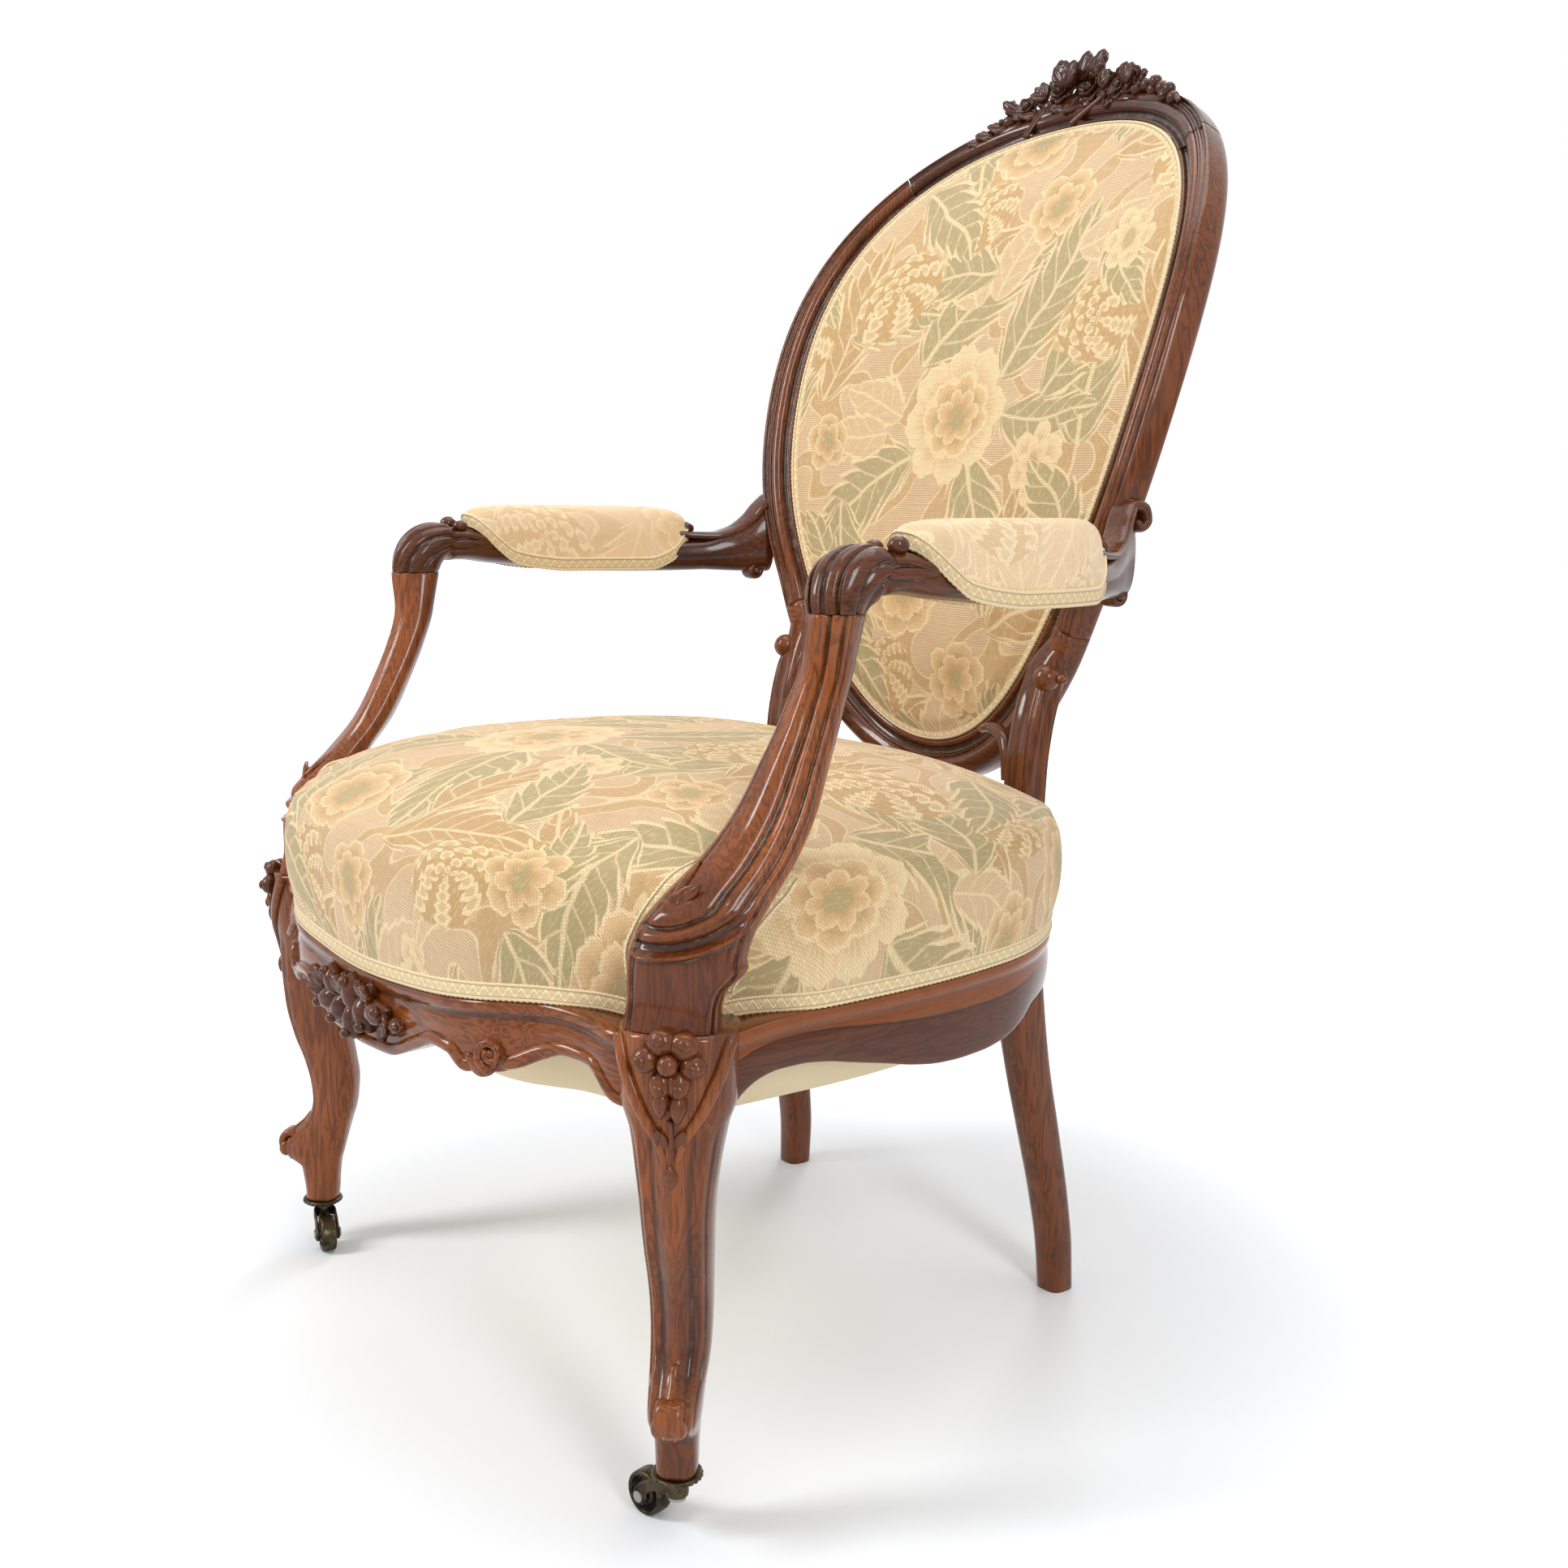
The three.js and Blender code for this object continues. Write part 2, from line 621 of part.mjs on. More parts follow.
// The elbow takes up the support's top section and bends it back, level, into the arm
function elbowRings(grow) {
  const [, , insetShare, widthShare, depthShareHere] = supportShares.at(-1);
  return Array.from({ length: elbowSteps + 1 }, (_, i) => {
    const share = i / elbowSteps;
    const bend = (Math.PI / 2) * share;
    const facing = THREE.MathUtils.lerp(60, 90, share) * degrees;
    const forward = new THREE.Vector3(Math.cos(facing), -Math.sin(facing), 0);
    const across = new THREE.Vector3(-Math.sin(facing), -Math.cos(facing), 0);
    const outer = forward.multiplyScalar(Math.cos(bend)).addScaledVector(worldUp, Math.sin(bend));
    const centre = new THREE.Vector3(
      armX - supportInset * insetShare * (1 - share),
      armFrontY + elbowBend * (1 - Math.cos(bend)),
      armJointZ + fitGap + elbowBend * Math.sin(bend) - (i === 0 ? grow : 0),
    );
    const width = THREE.MathUtils.lerp(supportFootWidth * widthShare, armRailWidth * armRailShares[1][3], share);
    const depth = THREE.MathUtils.lerp(supportFootDepth * depthShareHere, armRailHeight, share);
    return placeSection(centre, across, outer, roundedSection(width / 2 + grow, depth / 2 + grow, armSides));
  });
}

function armRailBlank(grow) {
  const railRings = armRailShares.slice(2).map((row) => {
    const [runShare, inwardShare, riseShare, widthShare, heightShare] = row;
    const height = armRailHeight * heightShare;
    const centre = new THREE.Vector3(
      armX - armInset * inwardShare,
      armFrontY + armRun * runShare,
      armJointZ + fitGap + armRailRise * riseShare + height / 2,
    );
    const section = roundedSection((armRailWidth * widthShare) / 2 + grow, height / 2 + grow, armSides, 2.8);
    return placeSection(centre, new THREE.Vector3(-1, 0, 0), worldUp, section);
  });
  return solidThroughRings([...elbowRings(grow), ...railRings]);
}

// Arm pad and its braid share one saddle shaped edge: rows of length share, width share and drop share
const padEdgeShares = [
  [0, 0.05, 0.24], [0.03, 0.3, 0.3], [0.1, 0.56, 0.5], [0.22, 0.82, 0.8], [0.4, 0.98, 0.96], [0.6, 1, 1],
  [0.78, 0.92, 1], [0.9, 0.7, 0.86], [0.97, 0.38, 0.6], [1, 0.05, 0.5],
];

function padCentreLine(lengthShare) {
  const y = armFrontY + padFrontSetback + padLength * lengthShare;
  const share = (y - armFrontY) / armRun;
  return new THREE.Vector3(armX - armInset * readTable(armRailShares, share)[0], y, 0);
}

function padEdgeLoop(outset, rise) {
  const sides = padEdgeShares.map((row) => ({ row, side: 1 }))
    .concat(padEdgeShares.slice(1, -1).reverse().map((row) => ({ row, side: -1 })));
  const flat = sides.map(({ row: [lengthShare, widthShare], side }) => {
    const end = lengthShare === 0 || lengthShare === 1;
    const sideways = end ? 0 : side * padHalfWidth * widthShare;
    return padCentreLine(lengthShare).add(new THREE.Vector3(sideways, 0, 0));
  });
  return flat.map((p, i) => {
    const before = flat[(i + flat.length - 1) % flat.length];
    const after = flat[(i + 1) % flat.length];
    const along = after.clone().sub(before).normalize();
    const outward = new THREE.Vector3(along.y, -along.x, 0);
    const edge = armJointZ + padCrown - padCrown * sides[i].row[2];
    return p.clone().addScaledVector(outward, outset).setZ(edge + rise);
  });
}

function padSolid() {
  const base = padEdgeLoop(0, 0);
  const wall = padEdgeLoop(0, braidWidth);
  const middle = padCentreLine(0.5).setZ(armJointZ + padCrown);
  const domeShares = [[0.93, 0.42], [0.8, 0.72], [0.56, 0.92], [0.28, 0.99]];
  const dome = domeShares.map(([spread, rise]) => wall.map((p) => {
    const spine = padCentreLine(THREE.MathUtils.clamp((p.y - base[0].y) / padLength, 0, 1));
    const flat = new THREE.Vector3(
      THREE.MathUtils.lerp(spine.x, p.x, spread),
      THREE.MathUtils.lerp(middle.y, p.y, THREE.MathUtils.lerp(1, spread, 0.6)),
      THREE.MathUtils.lerp(p.z, middle.z, rise),
    );
    return flat;
  }));
  const floorMiddle = padCentreLine(0.5).setZ(armJointZ + padCrown / 2);
  const floor = base.map((p) => p.clone().lerp(floorMiddle, 0.5));
  const body = solidThroughRings([[floorMiddle], floor, base, wall, ...dome, [middle]]);
  return cut(body, armRailBlank(softGap));
}

function ringStrip(inner, outer, rise) {
  const lift = (loop) => loop.map((p) => p.clone().add(rise));
  const rings = inner.map((_, i) => [inner[i], outer[i], lift(outer)[i], lift(inner)[i]]);
  return solidThroughRings(rings, true);
}

// Seat cushion: outset and rise rows up the side, then spread and rise rows over the crown
const cushionSideShares = [[0, 0], [0, 0.13], [0.5, 0.2], [0.95, 0.42], [1, 0.62], [0.7, 0.86], [0, 1]];
const cushionCrownShares = [[0.93, 0.2], [0.84, 0.42], [0.68, 0.7], [0.48, 0.88], [0.25, 0.97]];
const planStations = Array.from({ length: outlineSteps }, (_, i) => {
  return planStation((2 * planKnots * i) / outlineSteps);
});

function seatRing(outset, level, spread, tuck) {
  const centre = new THREE.Vector3(0, seatMiddleY, 0);
  return planStations.map((station) => {
    const flat = planPoint(station, outset - tuck * cornerInset(station.point), 0);
    return flat.sub(centre).multiplyScalar(spread).add(centre).setZ(level(station));
  });
}

const cushionRing = (outset, level, spread = 1) => seatRing(outset, level, spread, 1);

function cushionSolid(cutters) {
  const floor = (station) => station.top + fitGap;
  const ceiling = () => seatRailTop + springWellDepth;
  const wall = cushionSideShares.map(([outsetShare, riseShare]) => {
    const side = (station) => floor(station) + (seatRailTop + cushionSide - floor(station)) * riseShare;
    return cushionRing(cushionBulge * outsetShare, side);
  });
  const crown = cushionCrownShares.map(([spread, riseShare]) => {
    return cushionRing(0, () => seatRailTop + cushionSide + cushionCrown * riseShare, spread);
  });
  const top = [new THREE.Vector3(0, seatMiddleY, seatRailTop + cushionSide + cushionCrown)];
  const wellTop = [new THREE.Vector3(0, seatMiddleY, ceiling())];
  const wellSpread = 1 - springWellInset / seatHalfWidth;
  const well = [cushionRing(0, ceiling, wellSpread), cushionRing(0, floor, wellSpread)];
  return cut(solidThroughRings([wellTop, ...well, ...wall, ...crown, top]), ...cutters);
}

// A flat or sagging sheet inside the seat plan, with its two faces a thickness apart
function seatSheet(inset, level, sag, thickness, spreads, tuck) {
  const lower = spreads.map(([spread, sagShare]) => {
    return seatRing(-inset, () => level - sag * sagShare, spread, tuck);
  });
  const upper = spreads.map(([spread, sagShare]) => {
    return seatRing(-inset, () => level - sag * sagShare + thickness, spread, tuck);
  });
  const lowPole = [new THREE.Vector3(0, seatMiddleY, level - sag)];
  const highPole = [new THREE.Vector3(0, seatMiddleY, level - sag + thickness)];
  return solidThroughRings([lowPole, ...lower.reverse(), ...upper, highPole]);
}

// A strip of braid along the seat plan, just proud of the cushion's side and faceted as it is
function seatBraid(fromKnot, toKnot, cutters) {
  const nearest = (knot) => Math.round((knot * outlineSteps) / (2 * planKnots));
  const [first, last] = [nearest(fromKnot), nearest(toKnot)];
  const rings = Array.from({ length: last - first + 1 }, (_, i) => {
    const station = planStations[(first + i + outlineSteps) % outlineSteps];
    const [low, high] = [station.top + fitGap, station.top + braidWidth];
    const [inside, outside] = [softGap, softGap + braidThickness];
    return [
      planPoint(station, inside, low),
      planPoint(station, outside, low),
      planPoint(station, outside, high),
      planPoint(station, inside, high),
    ];
  });
  return cut(solidThroughRings(rings), ...cutters);
}

// A conical seat spring: an open helix, wide at both ends and narrow at its waist
function springSolid(x, y, low, high) {
  const stepsPerTurn = 7;
  const steps = springTurns * stepsPerTurn;
  const section = roundedSection(springWire / 2, springWire / 2, 4, 2);
  const stations = Array.from({ length: steps + 1 }, (_, i) => {
    const share = i / steps;
    const turn = (2 * Math.PI * i) / stepsPerTurn;
    const radius = THREE.MathUtils.lerp(springWaistRadius, springEndRadius, Math.cos(Math.PI * share) ** 2);
    const outward = new THREE.Vector3(Math.cos(turn), Math.sin(turn), 0);
    const level = THREE.MathUtils.lerp(low + springWire / 2, high - springWire / 2, share);
    const centre = new THREE.Vector3(x, y, level).addScaledVector(outward, radius);
    return { centre, face: outward, section };
  });
  return sweep(stations);
}

// Half width of the seat plan at a depth
function planHalfWidth(y) {
  const side = planStations.filter(({ point }) => point.x > seatHalfWidth / 2);
  return readTable(side.map(({ point }) => [point.y, point.x]), y)[0];
}

// Strap of webbing as a thin box
function webStrap(centreX, centreY, sizeX, sizeY, level) {
  const strap = new THREE.BoxGeometry(sizeX, sizeY, webThickness);
  return strap.translate(centreX, centreY, level + webThickness / 2);
}

// Back pad: flat rim under the braid, then a bulge toward the sitter
function ovalLoop(outset, depth) {
  const turn = (2 * Math.PI) / ovalSteps;
  return Array.from({ length: ovalSteps }, (_, i) => ovalPlace(turn * i, outset, depth));
}

function ovalSpread(spread, depth) {
  return ovalLoop(0, 0).map((p) => {
    return backPlace(p.x * spread, backCentreZ + (p.z - backCentreZ) * spread, depth);
  });
}

function backPadSolid() {
  const bulgeShares = [[0.9, 0.34], [0.78, 0.66], [0.55, 0.9], [0.28, 0.98]];
  const rim = braidWidth + softGap;
  const front = bulgeShares.map(([spread, share]) => ovalSpread(spread, -backPadBulge * share));
  return solidThroughRings([
    [backPlace(0, backCentreZ, backPadDepth)],
    ovalSpread(0.5, backPadDepth),
    ovalLoop(-softGap, backPadDepth),
    ovalLoop(-softGap, softGap),
    ovalLoop(-rim, softGap),
    ...front,
    [backPlace(0, backCentreZ, -backPadBulge)],
  ]);
}

function ovalSheet(depth, thickness) {
  return solidThroughRings([
    [backPlace(0, backCentreZ, depth)],
    ovalSpread(0.5, depth),
    ovalLoop(-softGap, depth),
    ovalLoop(-softGap, depth + thickness),
    ovalSpread(0.5, depth + thickness),
    [backPlace(0, backCentreZ, depth + thickness)],
  ]);
}

function backBraidSolid() {
  const corners = [
    [-braidWidth, 0], [-softGap, 0], [-softGap, -braidThickness], [-braidWidth, -braidThickness],
  ];
  const rings = Array.from({ length: ovalSteps }, (_, i) => {
    const angle = (2 * Math.PI * i) / ovalSteps;
    return corners.map(([outset, depth]) => ovalPlace(angle, outset, depth));
  });
  return solidThroughRings(rings, true);
}

// Crest rail with its carved flower and leaves, cut from the same wood
const crestCarvingShares = [
  [0, 0.98, 0.62, 0.55, 0.3], [-0.24, 1.52, 0.46, 0.56, 0.3], [-0.6, 1.15, 0.36, 0.42, 0.24],
  [0.3, 1.1, 0.4, 0.3, 0.24], [0.78, 0.95, 0.3, 0.3, 0.2],
  [-0.36, 0.8, 0.42, 0.36, 0.24], [0.36, 0.8, 0.42, 0.36, 0.24],
  [-0.78, 0.62, 0.5, 0.28, 0.2], [0.78, 0.62, 0.5, 0.28, 0.2], [-1.25, 0.5, 0.42, 0.22, 0.16],
  [1.25, 0.6, 0.42, 0.24, 0.16],
];

function crestRailSolid() {
  const arc = solidThroughRings(frameArc(-crestJointAngle + fitGap / 4, crestJointAngle - fitGap / 4, 16));
  const flowers = crestCarvingShares.map(([sideShare, riseShare, wideShare, highShare, deepShare]) => {
    const angle = (sideShare * carvingUnit) / (ovalRadius + frameWidth);
    const outset = frameWidth * riseShare * 0.8 + crestRise * riseShare * riseShare * 0.2;
    const centre = ovalPlace(angle, outset, 0);
    const across = ovalPlace(angle + degrees, outset, 0).sub(centre).normalize();
    const up = ovalPlace(angle, outset + cutOverrun, 0).sub(centre).normalize();
    const half = (carvingUnit / 2);
    return boss(centre, [half * wideShare, half * highShare, half * deepShare], across, up);
  });
  return join(arc, ...flowers);
}

// Front rail with the carved cluster at the middle of its apron
const apronCarvingShares = [
  [-0.2, 0.5, 0.3, 0.2], [-0.16, 0.75, 0.2, 0.2], [0, 0.45, 0.26, 0.24], [0.08, 0.7, 0.2, 0.2],
  [0.2, 0.4, 0.22, 0.18], [0.44, 0.62, 0.12, 0.12], [-0.44, 0.62, 0.12, 0.12],
];

function frontRailSolid(cutters) {
  const carvings = apronCarvingShares.map(([sideShare, dropShare, wideShare, highShare]) => {
    const knot = sideShare * 4;
    const station = planStation(knot);
    const z = station.top - (apronDrop - frontRailDip) * dropShare;
    const across = new THREE.Vector3(-station.outward.y, station.outward.x, 0);
    const sizes = [carvingUnit * wideShare, carvingUnit * highShare, carvingProud];
    return boss(planPoint(station, 0, z), sizes, across, worldUp);
  });
  return cut(join(frontRailBlank(0), ...carvings), ...cutters);
}

// Corner block: a triangular prism behind each corner of the seat rails
function cornerBlock(corner, directionX, directionY, cutters) {
  const shape = new THREE.Shape();
  shape.moveTo(corner.x, corner.y);
  shape.lineTo(corner.x + directionX * blockLeg, corner.y);
  shape.lineTo(corner.x, corner.y + directionY * blockLeg);
  const block = new THREE.ExtrudeGeometry(shape, { depth: blockHeight, bevelEnabled: false });
  return cut(block.translate(0, 0, seatRailTop - blockDrop - blockHeight), ...cutters);
}

// Wood screw: a shank with a round head, from its head's seat along a direction
function screwSolid(seat, direction, grow) {
  const top = seat.clone().addScaledVector(direction, -screwHeadHeight - grow);
  const seatPoint = seat.clone().addScaledVector(direction, -fitGap + grow);
  const tip = seat.clone().addScaledVector(direction, screwLength + grow);
  const head = roundBar(top, seatPoint, screwHeadRadius + grow, 10);
  const shankStart = seatPoint.clone().addScaledVector(direction, -screwHeadHeight / 2);
  const shank = roundBar(shankStart, tip, screwRadius + grow, 10);
  return join(head, shank);
}

function turned(profile, sides = roundSides) {
  const lathe = new THREE.LatheGeometry(profile.map(([r, z]) => new THREE.Vector2(r, z)), sides);
  return rebuilt(lathe.rotateX(Math.PI / 2), 1);
}

function closedProfile(rows) {
  return [...rows, rows[0]];
}

// Casters are drawn with their origin in the leg's underside and trail toward +X
const plateTop = -fitGap;
const plateBottom = plateTop - casterPlateHeight;
const bossTop = plateBottom - fitGap;
const bossBottom = bossTop - forkBossHeight;
const axleLevel = wheelRadius - frontLegFoot;
const forkInside = wheelWidth / 2 + fitGap;
const forkOutside = forkInside + forkArmThickness;
const pintleHole = pintleRadius + fitGap;

function casterPlate() {
  const rim = casterPlateRadius;
  const beadLevel = (plateTop + plateBottom) / 2;
  return turned(closedProfile([
    [pintleHole, plateTop], [rim - casterBeadRadius, plateTop], [rim, beadLevel + casterBeadRadius],
    [rim, beadLevel - casterBeadRadius], [rim - casterBeadRadius, plateBottom], [pintleHole, plateBottom],
  ]));
}

function casterFork() {
  const shape = new THREE.Shape();
  shape.moveTo(-forkBossRadius, bossTop);
  shape.lineTo(forkBossRadius, bossTop);
  shape.quadraticCurveTo(casterTrail, bossTop, casterTrail + forkAxleBossRadius, axleLevel);
  shape.absarc(casterTrail, axleLevel, forkAxleBossRadius, 0, -Math.PI, true);
  shape.quadraticCurveTo(forkBossRadius + forkAxleBossRadius, bossBottom, forkBossRadius, bossBottom);
  shape.lineTo(-forkBossRadius, bossBottom);
  const extrusion = { depth: 2 * forkOutside, bevelEnabled: false, curveSegments: 6 };
  const side = new THREE.ExtrudeGeometry(shape, extrusion);
  side.rotateX(Math.PI / 2).translate(0, forkOutside, 0);
  const slot = roundBar(
    new THREE.Vector3(casterTrail, -forkInside, axleLevel),
    new THREE.Vector3(casterTrail, forkInside, axleLevel),
    wheelRadius + wheelClearance,
    24,
  );
  const pintleBore = roundBar(
    new THREE.Vector3(0, 0, bossTop + cutOverrun),
    new THREE.Vector3(0, 0, bossBottom - cutOverrun),
    pintleHole,
    roundSides,
  );
  const axleBore = roundBar(
    new THREE.Vector3(casterTrail, -forkOutside - cutOverrun, axleLevel),
    new THREE.Vector3(casterTrail, forkOutside + cutOverrun, axleLevel),
    axleRadius + fitGap,
  );
  return cut(side, slot, pintleBore, axleBore);
}

function casterPintle() {
  const headTop = bossBottom - fitGap;
  return turned([
    [0, headTop - pintleHeadHeight], [pintleHeadRadius, headTop - pintleHeadHeight],
    [pintleHeadRadius, headTop], [pintleRadius, headTop], [pintleRadius, pintleReach], [0, pintleReach],
  ], 12);
}

function casterWheel() {
  const bore = axleRadius + fitGap;
  const half = wheelWidth / 2;
  const disc = turned(closedProfile([
    [bore, -half], [wheelRadius - wheelEdge, -half], [wheelRadius, wheelEdge - half],
    [wheelRadius, half - wheelEdge], [wheelRadius - wheelEdge, half], [bore, half],
  ]), 24);
  return disc.rotateX(Math.PI / 2);
}

function casterAxle() {
  const pin = turned([
    [0, -forkOutside - fitGap - axleHeadHeight], [axleHeadRadius, -forkOutside - fitGap - axleHeadHeight],
    [axleHeadRadius, -forkOutside - fitGap], [axleRadius, -forkOutside - fitGap],
    [axleRadius, forkOutside + fitGap], [axleHeadRadius, forkOutside + fitGap],
    [axleHeadRadius, forkOutside + fitGap + axleHeadHeight], [0, forkOutside + fitGap + axleHeadHeight],
  ], 10);
  return pin.rotateX(Math.PI / 2);
}

// The chair
const fauteuil = new THREE.Group();

function addPart(name, geometry, finish, parent = fauteuil) {
  const mesh = new THREE.Mesh(geometry, new THREE.MeshStandardMaterial(finish));
  mesh.name = name;
  parent.add(mesh);
  return mesh;
}

function addPair(name, geometry, finish) {
  addPart(`${name}_left`, geometry, finish);
  addPart(`${name}_right`, mirrored(geometry), finish);
}

const legBore = roundBar(
  new THREE.Vector3(frontLegX, frontLegY, frontLegFoot - cutOverrun),
  new THREE.Vector3(frontLegX, frontLegY, frontLegFoot + pintleReach + fitGap),
  pintleHole,
);
const frontScrewSeat = frontLegPoint(-kneeBack - blockLeg / 4, 0, seatRailTop - blockDrop - blockHeight / 2);
const frontScrew = screwSolid(frontScrewSeat, legDiagonal, 0);
const frontScrewHole = screwSolid(frontScrewSeat, legDiagonal, fitGap);
const frontLeg = cut(frontLegBlank(0), legBore, frontScrewHole);
addPair("front_leg", frontLeg, woodFinish);

const stile = stileBlank(0);
const grownStile = stileBlank(fitGap);
const grownLeg = frontLegBlank(fitGap);
const grownSupport = supportBlank(softGap);
addPair("back_stile", stile, woodFinish);

const frontRail = frontRailSolid([grownLeg, mirrored(grownLeg)]);
addPart("front_seat_rail", frontRail, woodFinish);
addPair("side_seat_rail", cut(sideRailBlank(0), grownLeg, grownStile), woodFinish);
addPart("back_seat_rail", cut(backRailBlank(0), grownStile, mirrored(grownStile)), woodFinish);

addPart("crest_rail", crestRailSolid(), darkWoodFinish);
const bottomRail = solidThroughRings(frameArc(postJointAngle + 2, 360 - postJointAngle - 2, 14));
const besidePost = new THREE.BoxGeometry(ovalRadius, 2 * ovalRadius, 2 * ovalRadius);
besidePost.translate(stileX - postWidth / 2 + fitGap + ovalRadius / 2, backFaceY, backCentreZ - ovalRadius);
const bottomRailCutters = [besidePost, grownStile].flatMap((tool) => [tool, mirrored(tool)]);
addPart("back_bottom_rail", cut(bottomRail, ...bottomRailCutters), woodFinish);

addPair("arm_support", cut(supportBlank(0), frontRailBlank(fitGap), sideRailBlank(fitGap)), woodFinish);
addPair("arm_rail", cut(armRailBlank(0), grownStile), darkWoodFinish);
addPair("arm_pad", padSolid(), fabricFinish);
const padBraid = ringStrip(
  padEdgeLoop(softGap, 0),
  padEdgeLoop(softGap + braidThickness, 0),
  new THREE.Vector3(0, 0, braidWidth),
);
addPair("arm_braid", cut(padBraid, armRailBlank(fitGap)), braidFinish);

const corner = frontLegPoint(-kneeBack / 2, 0, 0);
const frontBlockCutters = [grownLeg, frontRailBlank(fitGap), sideRailBlank(fitGap), frontScrewHole];
const frontBlock = cornerBlock(corner, -1, 1, frontBlockCutters);
addPair("front_corner_block", frontBlock, blockFinish);
addPair("front_block_screw", frontScrew, steelFinish);
const backCorner = new THREE.Vector3(stileX + stileWidth / 4, stileY - stileDepth / 4, 0);
const backBlockCutters = [grownStile, sideRailBlank(fitGap), backRailBlank(fitGap)];
addPair("back_corner_block", cornerBlock(backCorner, -1, -1, backBlockCutters), blockFinish);

// Seat inside
const webZ = seatRailTop - webLevel;
const webCutters = [
  frontRailBlank(fitGap), sideRailBlank(fitGap), mirrored(sideRailBlank(fitGap)), backRailBlank(fitGap),
  grownLeg, mirrored(grownLeg),
];
const deepLength = seatBackY - seatFrontY - railThickness;
const webNames = [["front", "middle", "rear"], ["left", "centre", "right"]];
[-1, 0, 1].forEach((step, i) => {
  const y = seatMiddleY + step * webSpacing;
  const edges = [y - webWidth / 2, y + webWidth / 2];
  const reach = Math.min(...edges.map(planHalfWidth)) - railThickness / 2;
  const strap = webStrap(0, y, 2 * reach, webWidth, webZ);
  addPart(`seat_web_${webNames[0][i]}`, cut(strap, ...webCutters), webFinish);
});
[1, 0, -1].forEach((step, i) => {
  const level = webZ + webThickness + fitGap;
  const strap = webStrap(step * webSpacing, (seatFrontY + seatBackY) / 2, webWidth, deepLength, level);
  addPart(`seat_web_${webNames[1][i]}`, cut(strap, ...webCutters), webFinish);
});
const springLow = webZ + 2 * webThickness + 2 * fitGap;
const hessianLow = seatRailTop + springWellDepth - hessianThickness - fitGap;
const springPlaces = [[0, 0], [1, -1], [1, 1], [-1, -1], [-1, 1]];
springPlaces.forEach(([sideX, sideY], i) => {
  const [x, y] = [sideX * springReach, seatMiddleY + sideY * springReach];
  const spring = springSolid(x, y, springLow, hessianLow - fitGap);
  addPart(`seat_spring_${i + 1}`, spring, steelFinish);
});
const sheetSpreads = [[1, 0], [0.93, 0.55], [0.82, 0.93], [0.5, 0.99]];
const flatSpreads = [[1 - (springWellInset + cutOverrun) / seatHalfWidth, 0]];
const hessian = seatSheet(0, hessianLow, 0, hessianThickness, flatSpreads, 1);
addPart("seat_hessian", hessian, hessianFinish);
const bottomCloth = seatSheet(
  railThickness + softGap,
  seatRailTop - bottomClothLevel,
  bottomClothSag,
  bottomClothThickness,
  sheetSpreads,
  0,
);
const clothCutters = [grownLeg, mirrored(grownLeg), grownStile, mirrored(grownStile)];
addPart("seat_bottom_cloth", cut(bottomCloth, ...clothCutters), clothFinish);

// Seat cover and its braid
const clearStile = stileBlank(softGap);
const cushionCutters = [grownSupport, mirrored(grownSupport), clearStile, mirrored(clearStile)];
addPart("seat_cushion", cushionSolid(cushionCutters), fabricFinish);
const supportCutters = [grownSupport, mirrored(grownSupport)];
addPart("seat_braid_front", seatBraid(-frontRailEndShare, frontRailEndShare, supportCutters), braidFinish);
addPair("seat_braid_side", seatBraid(...sideRailEndShares, [grownSupport, clearStile]), braidFinish);
const backBraid = seatBraid(...backRailEndShares, cushionCutters);
addPart("seat_braid_back", backBraid, braidFinish);

// Back cover
addPart("back_pad", backPadSolid(), fabricFinish);
addPart("back_hessian", ovalSheet(backHessianDepth, hessianThickness), hessianFinish);
addPart("back_outside_cover", ovalSheet(backCoverDepth, backCoverThickness), fabricFinish);
addPart("back_braid", backBraidSolid(), braidFinish);

// Casters under the front legs
[["left", 1, leftCasterAngle], ["right", -1, rightCasterAngle]].forEach(([side, mirror, angle]) => {
  const caster = new THREE.Group();
  caster.position.set(mirror * frontLegX, frontLegY, frontLegFoot);
  fauteuil.add(caster);
  addPart(`caster_plate_${side}`, casterPlate(), brassFinish, caster);
  addPart(`caster_pintle_${side}`, casterPintle(), steelFinish, caster);
  const swivel = new THREE.Group();
  swivel.rotation.z = angle * degrees;
  caster.add(swivel);
  addPart(`caster_fork_${side}`, casterFork(), brassFinish, swivel);
  const axle = new THREE.Group();
  axle.position.set(casterTrail, 0, axleLevel);
  swivel.add(axle);
  addPart(`caster_wheel_${side}`, casterWheel(), brassFinish, axle);
  addPart(`caster_axle_${side}`, casterAxle(), steelFinish, axle);
});

// Centre the chair over its origin, standing on the floor
const bounds = new THREE.Box3().setFromObject(fauteuil, true);
const middle = bounds.getCenter(new THREE.Vector3());
fauteuil.position.set(-middle.x, -middle.y, -bounds.min.z);
fauteuil.updateMatrixWorld(true);

export default fauteuil;
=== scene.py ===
"""Looks of a carved and upholstered open armchair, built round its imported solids.

Lengths are metres, +Z is up, the chair faces -Y and the sitter's left hand is at +X.
Shapes are drawn about the chair's middle plane and then set back by DRAWING_SHIFT.
"""

import json
import math
import bpy
import numpy as np
from mathutils import Matrix, Vector
from mathutils.bvhtree import BVHTree


